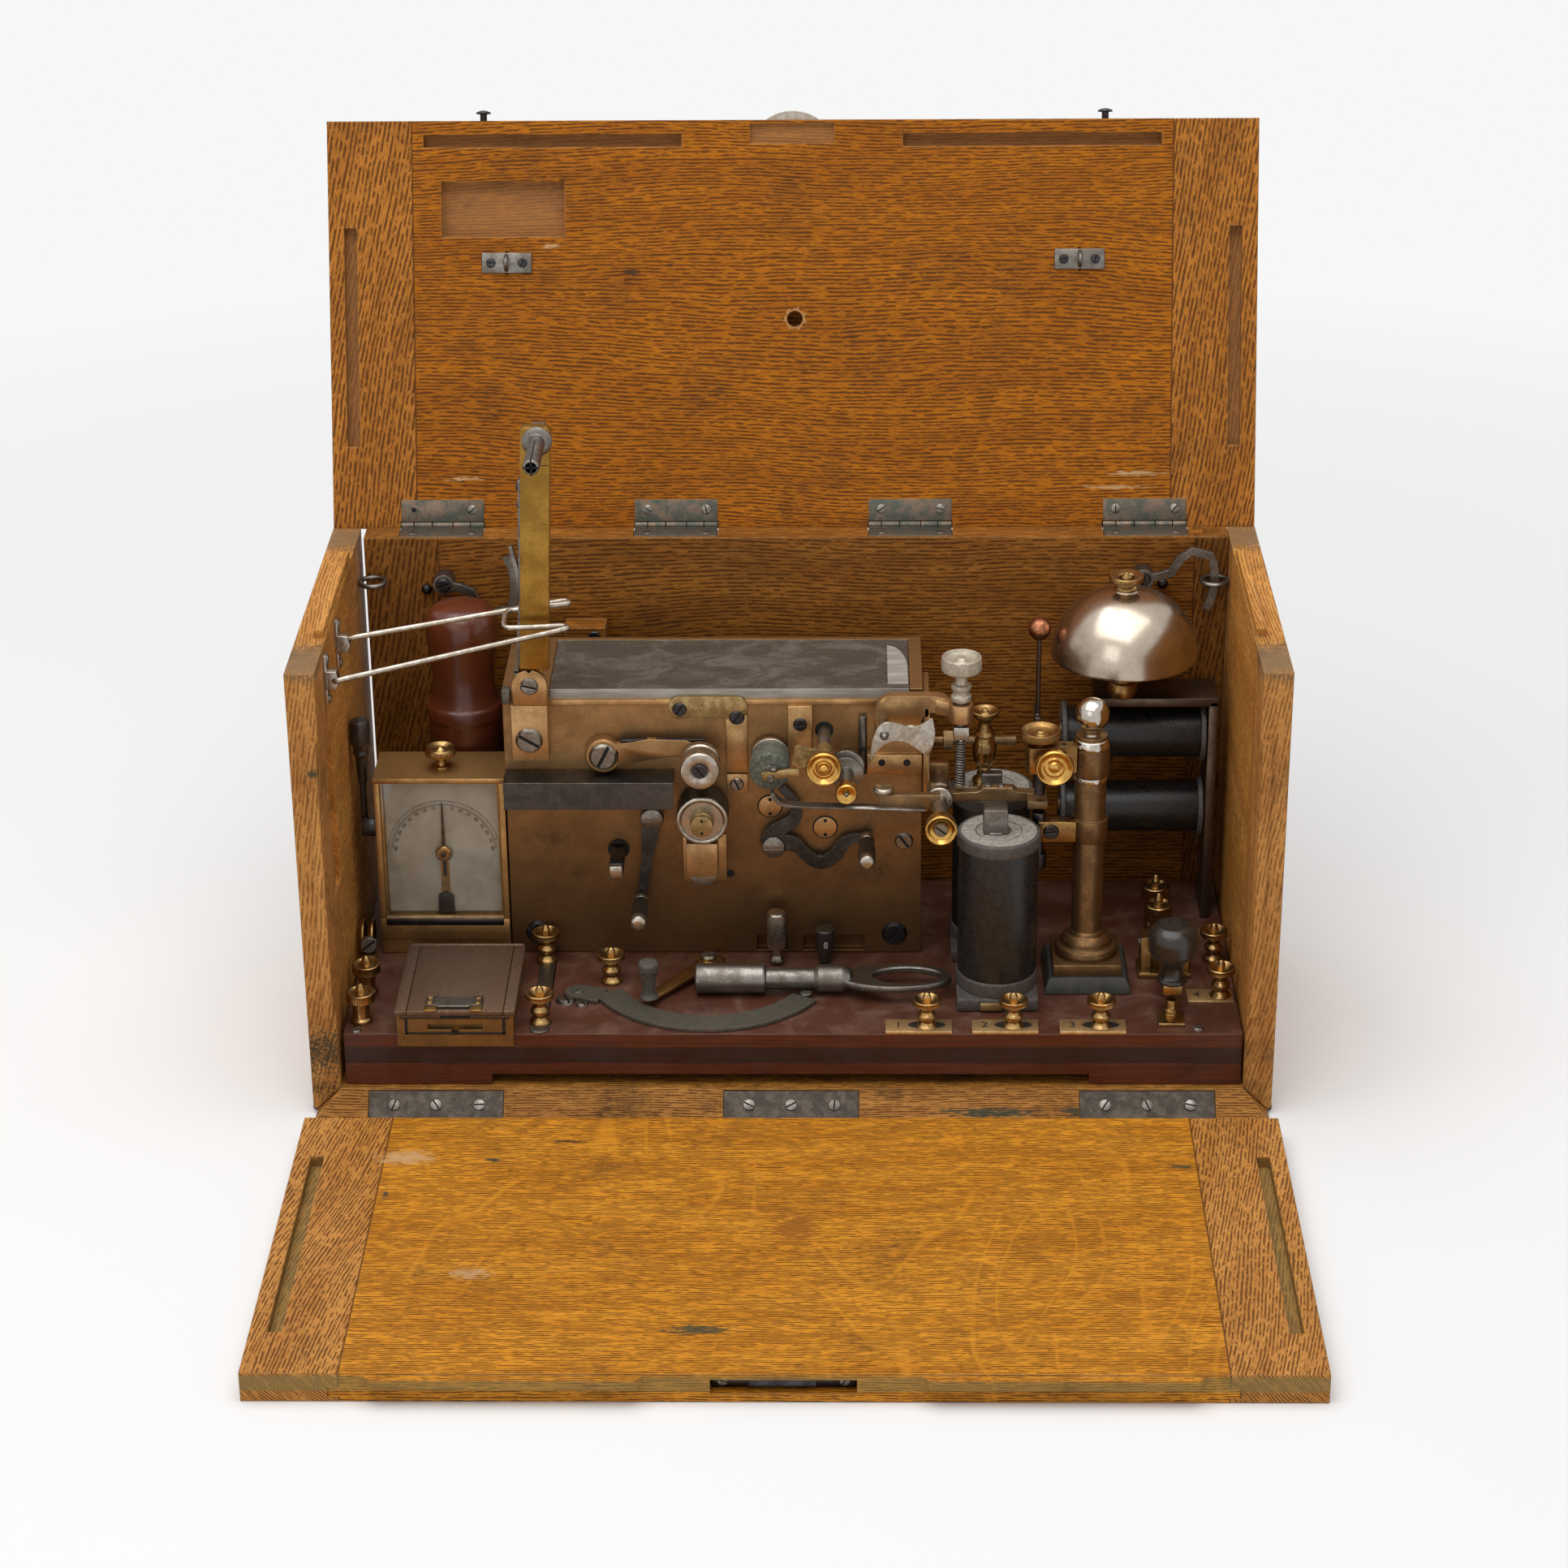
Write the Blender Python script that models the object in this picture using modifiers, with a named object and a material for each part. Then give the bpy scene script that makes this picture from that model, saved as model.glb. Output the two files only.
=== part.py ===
"""A portable ink-writing field telegraph in a fold-out oak case, at rest with the lid and the front flap open.

Lengths are metres, +Z is up, +X is right and -Y is the front. The origin is the middle of the case's underside.
"""

import math

import bpy
from mathutils import Matrix, Vector

# Driving sizes of the case
WIDTH = 0.400
CASE_HEIGHT = 0.200
WALL_DEPTH = 0.160
BOARD = 0.012
LID_ANGLE = math.radians(108)

# Clearances
GAP = 0.0003
SLACK = 0.0008
OVERRUN = 0.004
SINK = 0.0004

# Driving sizes of the instrument
PLINTH_TOP = 0.036
PLINTH_FRONT = -0.071
LEFT_BAY = 0.0648
RIGHT_BAY = 0.132
MOVEMENT_FRONT = 0.002
MOVEMENT_DEPTH = 0.056
MOVEMENT_TOP = 0.154
GLASS = 0.004

# Roundness of turned pieces and of bends
FACETS = 24
FINE_FACETS = 36
BEND_STEPS = 8

DEPTH = WALL_DEPTH + BOARD
FRONT = -DEPTH / 2
BACK = DEPTH / 2
WALL_FRONT = FRONT + BOARD
SIDE = WIDTH / 2
INSIDE = SIDE - BOARD
CORNER = 0.001
DIAGONAL = math.sqrt(0.5)
PLINTH_PLAY = (0.002, 0.001)
PLINTH_LEFT = -INSIDE + PLINTH_PLAY[0]
PLINTH_RIGHT = INSIDE - PLINTH_PLAY[1]
PLINTH_FOOT = 0.017
MOVEMENT_LEFT = PLINTH_LEFT + LEFT_BAY
MOVEMENT_RIGHT = PLINTH_RIGHT - RIGHT_BAY

PART = bpy.data.collections.new("field_telegraph")
TOOLS = bpy.data.collections.new("tools")


def clear_scene():
    for old in list(bpy.data.objects):
        bpy.data.objects.remove(old)
    bpy.context.scene.collection.children.link(PART)
    bpy.context.scene.collection.children.link(TOOLS)
    TOOLS.hide_render = True


def material(name):
    """One Principled material of each kind."""
    if name in bpy.data.materials:
        return bpy.data.materials[name]
    looks = {
        "oak": ((0.45, 0.24, 0.07, 1), 0, 0.5),
        "mahogany": ((0.16, 0.04, 0.02, 1), 0, 0.45),
        "brass": ((0.55, 0.38, 0.14, 1), 1, 0.35),
        "nickel": ((0.66, 0.64, 0.60, 1), 1, 0.25),
        "steel": ((0.36, 0.35, 0.33, 1), 1, 0.4),
        "bronze": ((0.17, 0.13, 0.08, 1), 1, 0.5),
        "black": ((0.02, 0.02, 0.02, 1), 0, 0.4),
        "glass": ((0.9, 0.95, 0.93, 1), 0, 0.05),
        "copper": ((0.40, 0.15, 0.07, 1), 1, 0.4),
    }
    colour, metallic, roughness = looks[name]
    made = bpy.data.materials.new(name)
    made.use_nodes = True
    shader = made.node_tree.nodes["Principled BSDF"]
    shader.inputs["Base Color"].default_value = colour
    shader.inputs["Metallic"].default_value = metallic
    shader.inputs["Roughness"].default_value = roughness
    return made


def tool(name, mesh):
    """A new object among the hidden tools, which node() later moves into the part."""
    made = bpy.data.objects.new(name, mesh)
    TOOLS.objects.link(made)
    made.hide_render = True
    made.display_type = "WIRE"
    return made


def node(made, name, kind, pivot=None):
    """Makes a tool into a named piece of the part, with its origin on its joint's axis."""
    TOOLS.objects.unlink(made)
    PART.objects.link(made)
    made.hide_render = False
    made.display_type = "TEXTURED"
    made.name = name
    made.data.materials.append(material(kind))
    if pivot is not None:
        made.data.transform(Matrix.Translation(-Vector(pivot)))
        made.location = pivot
    return made


def solid(points, faces, name="solid"):
    mesh = bpy.data.meshes.new(name)
    mesh.from_pydata(points, [], faces)
    return tool(name, mesh)


def slab(xs, ys, zs):
    """A box between two values on each axis."""
    points = [(x, y, z) for x in xs for y in ys for z in zs]
    faces = [(0, 1, 3, 2), (4, 6, 7, 5), (0, 4, 5, 1), (2, 3, 7, 6), (0, 2, 6, 4), (1, 5, 7, 3)]
    return solid(points, faces)


def about(middle, half):
    """The two ends of a span from its middle and half its length."""
    return (middle - half, middle + half)


def prism(outline, axis, span):
    """An outline in the plane across an axis, pushed along that axis. Its points are (y, z), (x, z) or (x, y)."""
    turned_area = sum(a[0] * b[1] - b[0] * a[1] for a, b in zip(outline, outline[1:] + outline[:1]))
    if (turned_area > 0) == (axis == "y"):
        outline = outline[::-1]
    low, high = sorted(span)
    place = {"x": lambda p, s: (s, p[0], p[1]), "y": lambda p, s: (p[0], s, p[1]), "z": lambda p, s: (p[0], p[1], s)}
    points = [place[axis](p, low) for p in outline] + [place[axis](p, high) for p in outline]
    count = len(outline)
    sides = [(i, (i + 1) % count, (i + 1) % count + count, i + count) for i in range(count)]
    return solid(points, [tuple(reversed(range(count))), tuple(range(count, 2 * count))] + sides)


TURNS = {
    "z": (0, 0, 0),
    "front": (math.pi / 2, 0, 0),
    "back": (-math.pi / 2, 0, 0),
    "right": (0, math.pi / 2, 0),
    "left": (0, -math.pi / 2, 0),
    "down": (math.pi, 0, 0),
}


def turned(profile, place, axis="z", steps=FACETS):
    """A profile of (radius, height) points from its foot to its top, turned about an axis from a place."""
    mesh = bpy.data.meshes.new("turned")
    points = [(radius, 0, height) for radius, height in reversed(profile)]
    mesh.from_pydata(points, [(i, i + 1) for i in range(len(points) - 1)], [])
    made = tool("turned", mesh)
    made.location = place
    made.rotation_euler = TURNS[axis]
    screw = made.modifiers.new("turn", "SCREW")
    screw.steps = steps
    screw.render_steps = steps
    screw.use_merge_vertices = True
    screw.merge_threshold = 1e-5
    screw.use_smooth_shade = False
    return made


def disc(radius, height, foot=0):
    """The profile of a plain round bar."""
    return [(0, foot), (radius, foot), (radius, foot + height), (0, foot + height)]


def stack(*steps):
    """The profile of round bars one on another, each given as (radius, height)."""
    profile = [(0, 0)]
    level = 0
    for radius, height in steps:
        profile += [(radius, level), (radius, level + height)]
        level += height
    return profile + [(0, level)]


def bar(start, end, radius, steps=FACETS):
    """A plain round bar between two places."""
    along = Vector(end) - Vector(start)
    made = turned(disc(radius, along.length), start, steps=steps)
    made.rotation_euler = along.to_track_quat("Z", "Y").to_euler()
    return made


def wire(points, radius, closed=False, resolution=2):
    """A round wire through the given places, as a mesh."""
    curve = bpy.data.curves.new("wire", "CURVE")
    curve.dimensions = "3D"
    curve.bevel_depth = radius
    curve.bevel_resolution = resolution
    curve.use_fill_caps = not closed
    spline = curve.splines.new("POLY")
    spline.points.add(len(points) - 1)
    for point, place in zip(spline.points, points):
        point.co = (*place, 1)
    spline.use_cyclic_u = closed
    guide = tool("wire_guide", curve)
    bpy.context.view_layer.update()
    graph = bpy.context.evaluated_depsgraph_get()
    mesh = bpy.data.meshes.new_from_object(guide.evaluated_get(graph))
    bpy.data.objects.remove(guide)
    made = tool("wire", mesh)
    weld = made.modifiers.new("weld", "WELD")
    weld.merge_threshold = 1e-6
    return made


def arc(centre, radius, start, end, steps=BEND_STEPS):
    """Points of a circle's arc in a plane, from one angle in degrees to another."""
    angles = [math.radians(start + (end - start) * i / steps) for i in range(steps + 1)]
    return [(centre[0] + radius * math.cos(a), centre[1] + radius * math.sin(a)) for a in angles]


def ring(centre, radius, thickness, normal="z", steps=FACETS):
    """A closed ring of round wire."""
    flat = arc((0, 0), radius, 0, 360 * (steps - 1) / steps, steps - 1)
    spread = {"z": lambda a, b: (a, b, 0), "x": lambda a, b: (0, a, b), "y": lambda a, b: (a, 0, b)}[normal]
    return wire([Vector(centre) + Vector(spread(a, b)) for a, b in flat], thickness, closed=True)


def combine(target, operation, others):
    for other in others:
        step = target.modifiers.new(operation.lower(), "BOOLEAN")
        step.operation = operation
        step.solver = "EXACT"
        step.object = other
    return target


def fuse(target, *others):
    return combine(target, "UNION", others)


def cut(target, *others):
    return combine(target, "DIFFERENCE", others)


def ribbon(centreline, half_width):
    """The outline of a flat strip of even width about a centreline, with square ends."""
    left = []
    right = []
    for i, point in enumerate(centreline):
        before = centreline[max(i - 1, 0)]
        after = centreline[min(i + 1, len(centreline) - 1)]
        along = Vector((after[0] - before[0], after[1] - before[1])).normalized()
        side = Vector((-along.y, along.x)) * half_width
        left.append((point[0] + side.x, point[1] + side.y))
        right.append((point[0] - side.x, point[1] - side.y))
    return left + right[::-1]


# Hinges of the boards: pins along the lower corners and along the back wall's top
PIN = 0.0011
PIN_INSET = 0.0004
PIN_LEVEL = PIN + 0.0001
LEAF = 0.001
LEAF_HALF_WIDTH = 0.028
LEAF_HALF_LENGTH = 0.0073
LEAF_SUNK = 0.0002
LID_PIN = 0.0016
LID_RISE = 0.0006
LID_HINGE_HALF_WIDTH = 0.018
HINGE_PLACES = (-0.1524, -0.0508, 0.0508, 0.1524)
FLAP_HINGE_PLACES = (-0.148, 0, 0.148)
LID_AXIS = (0, BACK + LID_PIN, CASE_HEIGHT + LID_RISE)
FLAP_AXIS = (0, FRONT + PIN_INSET, PIN_LEVEL)

# Tongues that run in slots when the case is closed
TONGUE = 0.0035
TONGUE_INSET = 0.0006
TONGUE_WIDTH = 0.004
TONGUE_SIDE = INSIDE + TONGUE_INSET
SLOT_PLAY = 0.0007
SLOT_DEPTH = TONGUE + 0.0015
WALL_TOP_TONGUE = (-0.037, 0.050)
WALL_FRONT_TONGUE = (0.0470, CASE_HEIGHT - 0.0290)
FLAP_TONGUE = (0.051, 0.155)
FLAP_TONGUE_LEVEL = (BOARD - TONGUE_INSET - TONGUE_WIDTH, BOARD - TONGUE_INSET)
MITRE_GAP = 0.0006


def side_span(side, low, high):
    """A span on the left (-1) or the right (1) of the middle."""
    return tuple(sorted((side * low, side * high)))


def widened(span, play):
    return (min(span) - play, max(span) + play)


def sloped(made, place, angle, axis="X"):
    made.location = place
    made.rotation_euler = Matrix.Rotation(math.radians(angle), 3, axis).to_euler()
    return made


def corner_groove(x=None):
    """Room for a hinge pin along a lower corner: the front one, or the side one at x."""
    room = PIN + GAP
    if x is None:
        return bar((-WIDTH, FLAP_AXIS[1], PIN_LEVEL), (WIDTH, FLAP_AXIS[1], PIN_LEVEL), room)
    return bar((x, FRONT - OVERRUN, PIN_LEVEL), (x, BACK + OVERRUN, PIN_LEVEL), room)


def slope_plate(along, thickness, half_width, half_length, side=None):
    """A plate on the base board's 45 degree edge: on the front at a place along X, or on one side."""
    low, high = thickness
    if side is None:
        plate = slab(about(0, half_width), about(0, half_length), (low, high))
        return sloped(plate, (along, FRONT + BOARD / 2, BOARD / 2), 45)
    plate = slab(about(0, half_length), about(0, half_width), (low, high))
    return sloped(plate, (side * (SIDE - BOARD / 2), along, BOARD / 2), side * 45, "Y")


SIDE_HINGE_HALF_WIDTH = WALL_DEPTH / 2 - 0.003
SIDE_HINGE_MIDDLE = (WALL_FRONT + BACK) / 2


def base_board():
    bottom = ((-SIDE, FRONT), (-SIDE, BACK), (SIDE, FRONT), (SIDE, BACK))
    top = ((-INSIDE, WALL_FRONT), (-INSIDE, BACK), (INSIDE, WALL_FRONT), (INSIDE, BACK))
    points = []
    for low, high in zip(bottom, top):
        points += [(*low, 0), (*high, BOARD)]
    faces = [(0, 1, 3, 2), (4, 6, 7, 5), (0, 4, 5, 1), (2, 3, 7, 6), (0, 2, 6, 4), (1, 5, 7, 3)]
    board = solid(points, faces)
    sunk = (-LEAF_SUNK - LEAF - GAP, OVERRUN)
    for x in FLAP_HINGE_PLACES:
        cut(board, slope_plate(x, sunk, LEAF_HALF_WIDTH + GAP, LEAF_HALF_LENGTH + GAP))
    for side in (-1, 1):
        pocket = slope_plate(SIDE_HINGE_MIDDLE, sunk, SIDE_HINGE_HALF_WIDTH + GAP, LEAF_HALF_LENGTH + GAP, side)
        cut(board, pocket, corner_groove(side * (SIDE - PIN_INSET)))
    cut(board, corner_groove())
    node(board, "base_board", "oak")


def corner_hinges():
    """Steel leaves let into the base board's sloping edges, each with the pin that its board turns on."""
    plate = (-LEAF_SUNK - LEAF, -LEAF_SUNK)
    for count, x in enumerate(FLAP_HINGE_PLACES, 1):
        leaf = slope_plate(x, plate, LEAF_HALF_WIDTH, LEAF_HALF_LENGTH)
        ends = about(x, LEAF_HALF_WIDTH)
        fuse(leaf, bar((ends[0], *FLAP_AXIS[1:]), (ends[1], *FLAP_AXIS[1:]), PIN, steps=BEND_STEPS * 2))
        node(leaf, f"flap_hinge_{count}", "steel")
    for side, name in ((-1, "left"), (1, "right")):
        x = side * (SIDE - PIN_INSET)
        ends = about(SIDE_HINGE_MIDDLE, SIDE_HINGE_HALF_WIDTH)
        leaf = slope_plate(SIDE_HINGE_MIDDLE, plate, SIDE_HINGE_HALF_WIDTH, LEAF_HALF_LENGTH, side)
        fuse(leaf, bar((x, ends[0], PIN_LEVEL), (x, ends[1], PIN_LEVEL), PIN, steps=BEND_STEPS * 2))
        node(leaf, f"{name}_wall_hinge", "steel")


EYELET_RADIUS = 0.0055
EYELET_WIRE = 0.001
EYELET_DROP = 0.0175
EYELET_LEVEL = CASE_HEIGHT - EYELET_DROP
HOOK_PLANE = 0.067
BAIL_AXIS_INSET = 0.004
BAIL_DROP = 0.0140
BAIL_LEVEL = CASE_HEIGHT - BAIL_DROP
BAIL_PLACES = (-0.009, -0.046)
BAIL_WIRE = 0.0011


def side_wall(side):
    """One end board, with tongues on its top and front edges and the screw eye for its hook."""
    outer = side * SIDE
    inner = side * INSIDE
    outline = [(outer, MITRE_GAP), (inner, BOARD + MITRE_GAP), (inner, CASE_HEIGHT), (outer, CASE_HEIGHT)]
    wall = prism(outline, "y", (WALL_FRONT, BACK))
    across = side_span(side, TONGUE_SIDE, TONGUE_SIDE + TONGUE_WIDTH)
    fuse(wall, slab(across, WALL_TOP_TONGUE, (CASE_HEIGHT - OVERRUN, CASE_HEIGHT + TONGUE)))
    fuse(wall, slab(across, (WALL_FRONT - TONGUE, WALL_FRONT + OVERRUN), WALL_FRONT_TONGUE))
    cut(wall, corner_groove(side * (SIDE - PIN_INSET)))
    eye = (side * (INSIDE - EYELET_RADIUS - EYELET_WIRE + LEAF_SUNK), HOOK_PLANE, EYELET_LEVEL)
    fuse(wall, ring(eye, EYELET_RADIUS, EYELET_WIRE))
    return wall


def left_wall():
    wall = side_wall(-1)
    pocket_depth = 0.003
    pocket_drop = 0.044
    pocket_top = CASE_HEIGHT - pocket_drop
    pocket_height = 0.064
    pocket = ((-0.055, -0.036), (pocket_top - pocket_height, pocket_top))
    cut(wall, slab((-INSIDE - pocket_depth, -INSIDE + OVERRUN), *pocket))
    bracket_half_width = 0.0025
    bracket_half_height = 0.011
    plate = 0.0015
    jaw = 0.0042
    for y in BAIL_PLACES:
        spread = about(y, bracket_half_width)
        fuse(wall, slab((-INSIDE - SINK, -INSIDE + plate), spread, about(BAIL_LEVEL, bracket_half_height)))
        fuse(wall, slab((-INSIDE + plate / 2, -INSIDE + BAIL_AXIS_INSET + jaw / 2), spread, about(BAIL_LEVEL, jaw)))
        reach = about(y, bracket_half_width + OVERRUN)
        axis = -INSIDE + BAIL_AXIS_INSET
        cut(wall, bar((axis, reach[0], BAIL_LEVEL), (axis, reach[1], BAIL_LEVEL), BAIL_WIRE + GAP))
    node(wall, "left_wall", "oak", (-SIDE + PIN_INSET, SIDE_HINGE_MIDDLE, PIN_LEVEL))


def right_wall():
    node(side_wall(1), "right_wall", "oak")


BACK_WALL_SLIT = 0.0025


def back_wall():
    block_drop = 0.038
    block_top = CASE_HEIGHT - block_drop
    block_height = 0.008
    block = ((-0.099, -0.0815), (block_top - block_height, block_top))
    block_reach = 0.010
    wall = slab((-INSIDE + BACK_WALL_SLIT, INSIDE - GAP), (BACK - BOARD, BACK), (BOARD + GAP, CASE_HEIGHT))
    fuse(wall, slab(block[0], (BACK - BOARD - block_reach, BACK - BOARD + SINK), block[1]))
    for x in HINGE_PLACES:
        ends = about(x, LID_HINGE_HALF_WIDTH + GAP)
        leaf_room = (BACK - BOARD + LID_PIN, BACK + OVERRUN)
        cut(wall, slab(ends, leaf_room, (CASE_HEIGHT - LEAF - GAP, CASE_HEIGHT + OVERRUN)))
        cut(wall, bar((ends[0], *LID_AXIS[1:]), (ends[1], *LID_AXIS[1:]), LID_PIN + GAP))
    node(wall, "back_wall", "oak")


def lid_hinges():
    for count, x in enumerate(HINGE_PLACES, 1):
        ends = about(x, LID_HINGE_HALF_WIDTH)
        leaf = slab(ends, (BACK - BOARD + LID_PIN + GAP, LID_AXIS[1]), (CASE_HEIGHT - LEAF, CASE_HEIGHT))
        fuse(leaf, bar((ends[0], *LID_AXIS[1:]), (ends[1], *LID_AXIS[1:]), LID_PIN, steps=BEND_STEPS * 2))
        node(leaf, f"lid_hinge_{count}", "bronze")


# The lid's own frame has its hinge axis at zero and its inner face at zero height, as if it were shut
LID_FRONT = -DEPTH - LID_PIN
LID_OVERHANG = 0.0014
LID_STAPLES = ((-0.1232, -0.0255), (0.1235, -0.0265))
LID_STUDS = (-0.133, 0.1345)


def from_axis(span):
    """A span along Y of the shut case, in the lid's own frame."""
    return tuple(y - LID_AXIS[1] for y in span)


def lid():
    pocket = ((-0.151, -0.098), (-0.060, -0.0366), 0.005)
    strike = ((-0.018, 0.018), (-0.0843, -0.076), 0.002)
    hole = ((0.001, -0.0013), 0.0035, 0.009)
    staple_plate = (0.0108, 0.0044, 0.0012)
    staple_radius = 0.0045
    staple_wire = 0.0008
    stud = [(0, 0), (0.0015, 0), (0.0015, 0.0038), (0.0033, 0.0032), (0.0028, 0.0045), (0, 0.0052)]
    leaf_length = 0.0085
    leaf_proud = 0.0003
    board = slab((-SIDE, SIDE), (LID_FRONT, LID_OVERHANG), (0, BOARD))
    tools = []
    flap_tongue_place = tuple(FLAP_AXIS[1] + z - PIN_LEVEL for z in FLAP_TONGUE_LEVEL)
    for side in (-1, 1):
        across = widened(side_span(side, TONGUE_SIDE, TONGUE_SIDE + TONGUE_WIDTH), SLOT_PLAY)
        tools.append(slab(across, widened(from_axis(WALL_TOP_TONGUE), TONGUE), (-OVERRUN, SLOT_DEPTH)))
        along = widened(side_span(side, *FLAP_TONGUE), TONGUE)
        tools.append(slab(along, widened(from_axis(flap_tongue_place), SLOT_PLAY), (-OVERRUN, SLOT_DEPTH)))
    for xs, ys, deep in (pocket, strike):
        tools.append(slab(xs, from_axis(ys), (-OVERRUN, deep)))
    (x, y), radius, deep = hole
    tools.append(turned(disc(radius, deep + OVERRUN, -OVERRUN), (x, *from_axis((y,)), 0)))
    for x in HINGE_PLACES:
        ends = about(x, LID_HINGE_HALF_WIDTH + GAP)
        tools.append(bar((ends[0], 0, 0), (ends[1], 0, 0), LID_PIN + GAP))
    cut(board, *tools)
    added = []
    for x in HINGE_PLACES:
        reach = (-LID_PIN - LEAF - leaf_length, -LID_PIN - LEAF)
        added.append(slab(about(x, LID_HINGE_HALF_WIDTH), reach, (-leaf_proud, LEAF)))
    half_width, half_height, thick = staple_plate
    for x, y in LID_STAPLES:
        place = from_axis((y,))[0]
        added.append(slab(about(x, half_width), about(place, half_height), (-thick, SINK)))
        added.append(ring((x, place, -thick), staple_radius, staple_wire, "x"))
    for x in LID_STUDS:
        added.append(turned([(r, h - SINK) for r, h in stud], (x, LID_FRONT, BOARD / 2), "front"))
    fuse(board, *added)
    for piece in tools + added:
        piece.parent = board
    node(board, "lid", "oak")
    board.location = LID_AXIS
    board.rotation_euler = (-LID_ANGLE, 0, 0)


def lid_disc():
    """A round plate on the lid's outer face that stands out past its front edge."""
    radius = 0.0195
    thickness = 0.0015
    overhang = 0.0045
    plate = turned(disc(radius, thickness), (0, 0, 0), steps=FINE_FACETS)
    own_place = Vector((0, LID_FRONT - overhang + radius, BOARD + GAP))
    node(plate, "lid_disc", "nickel")
    plate.location = Vector(LID_AXIS) + Matrix.Rotation(-LID_ANGLE, 3, "X") @ own_place
    plate.rotation_euler = (-LID_ANGLE, 0, 0)


FLAP_END = FLAP_AXIS[1] - (CASE_HEIGHT - PIN_LEVEL) - LEAF_SUNK


def front_flap():
    lock = ((-0.027, 0.027), (0.0035, 0.0095), 0.010)
    chamfer = 0.003
    near = FRONT - MITRE_GAP
    outline = [(near, 0), (near - BOARD, BOARD), (FLAP_END, BOARD), (FLAP_END, 0)]
    board = prism(outline, "x", (-SIDE, SIDE))
    for side in (-1, 1):
        near_x, far_x = (side * x for x in FLAP_TONGUE)
        tongue_end = FLAP_END - TONGUE
        tongue = [
            (near_x, FLAP_END + OVERRUN),
            (near_x, FLAP_END),
            (near_x + side * chamfer, tongue_end),
            (far_x - side * chamfer, tongue_end),
            (far_x, FLAP_END),
            (far_x, FLAP_END + OVERRUN),
        ]
        fuse(board, prism(tongue, "z", FLAP_TONGUE_LEVEL))
        across = widened(side_span(side, TONGUE_SIDE, TONGUE_SIDE + TONGUE_WIDTH), SLOT_PLAY)
        along = widened([FLAP_AXIS[1] - z + PIN_LEVEL for z in WALL_FRONT_TONGUE], TONGUE / 2)
        cut(board, slab(across, along, (BOARD - SLOT_DEPTH, BOARD + OVERRUN)))
    xs, zs, deep = lock
    cut(board, slab(xs, (FLAP_END - OVERRUN, FLAP_END + deep), zs), corner_groove())
    node(board, "front_flap", "oak", FLAP_AXIS)


# A hook swings on the back wall, and its end is an arc about its own pivot so that it slips through the eye
HOOK_INSET = 0.0370
HOOK_PIVOT_X = INSIDE - HOOK_INSET
HOOK_ARC = INSIDE - EYELET_RADIUS - EYELET_WIRE + LEAF_SUNK - HOOK_PIVOT_X
HOOK_THICK = 0.0024
HOOK_BOSS = 0.0045
HOOK_PLAY = (-0.0011, 0.0010)
HOOK_LEVELS = (EYELET_LEVEL + HOOK_PLAY[0], EYELET_LEVEL + HOOK_PLAY[1])
HOOK_REST_TURN = math.radians(2)


def hook(flip):
    """A latched hook in its own plane, or one that lies the other way up."""
    half_width = 0.0018
    neck = [(0, 0), (0.007, 0.0012), (0.012, 0.0030), (0.0152, 0.0088), (0.0205, 0.0128)]
    line = neck + arc((0, 0), HOOK_ARC, 20, -27)
    shape = prism([(x, flip * z) for x, z in ribbon(line, half_width)], "y", about(0, HOOK_THICK / 2))
    boss_length = BACK - BOARD - GAP - HOOK_PLANE + HOOK_THICK / 2
    boss = turned(disc(HOOK_BOSS, boss_length), (0, -HOOK_THICK / 2, 0), "back")
    boss.parent = shape
    return fuse(shape, boss)


def hooks():
    left = node(hook(-1), "left_hook", "steel")
    left.location = (-HOOK_PIVOT_X, HOOK_PLANE, HOOK_LEVELS[0])
    left.rotation_euler = (0, HOOK_REST_TURN, 0)
    right = node(hook(1), "right_hook", "steel")
    right.location = (HOOK_PIVOT_X, HOOK_PLANE, HOOK_LEVELS[1])


def wire_bail():
    """One bent wire on the left wall with a finger before and a finger behind the reel arm."""
    axis = -INSIDE + BAIL_AXIS_INSET
    rear_y, front_y = BAIL_PLACES
    half = 0.0038
    rear_reach, rear_depth, rear_rise = 0.0900, 0.0095, 0.0425
    front_reach, front_depth, front_rise = 0.0905, -0.0105, 0.0395
    crossing_reach = 0.0655
    rear_tip = (axis + rear_reach, rear_depth, MOVEMENT_TOP + rear_rise)
    front_tip = (axis + front_reach, front_depth, MOVEMENT_TOP + front_rise)
    crossing = axis + crossing_reach
    drop = 0.0012
    finger = 0.0022
    points = [
        (axis, rear_y - half, BAIL_LEVEL),
        (axis, rear_y + half, BAIL_LEVEL),
        (axis + half, rear_y + half, BAIL_LEVEL + drop),
        (rear_tip[0], rear_tip[1] + finger, rear_tip[2]),
        (rear_tip[0] + finger, rear_tip[1], rear_tip[2]),
        (rear_tip[0], rear_tip[1] - finger, rear_tip[2]),
        (crossing + finger, rear_tip[1] - finger - drop, rear_tip[2] - finger),
        (crossing, rear_tip[1] - 2 * finger - drop, rear_tip[2] - finger),
        (crossing, front_tip[1] + 2 * finger, front_tip[2] - drop),
        (crossing + finger, front_tip[1] + finger, front_tip[2] - drop),
        (front_tip[0], front_tip[1] + finger, front_tip[2]),
        (front_tip[0] + finger, front_tip[1], front_tip[2]),
        (front_tip[0], front_tip[1] - finger, front_tip[2]),
        (axis + half, front_y - half, BAIL_LEVEL + drop),
        (axis, front_y - half, BAIL_LEVEL),
        (axis, front_y + half, BAIL_LEVEL),
    ]
    node(wire(points, BAIL_WIRE), "wire_bail", "nickel", (axis, (rear_y + front_y) / 2, BAIL_LEVEL))


FLOOR = PLINTH_TOP + GAP


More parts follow.
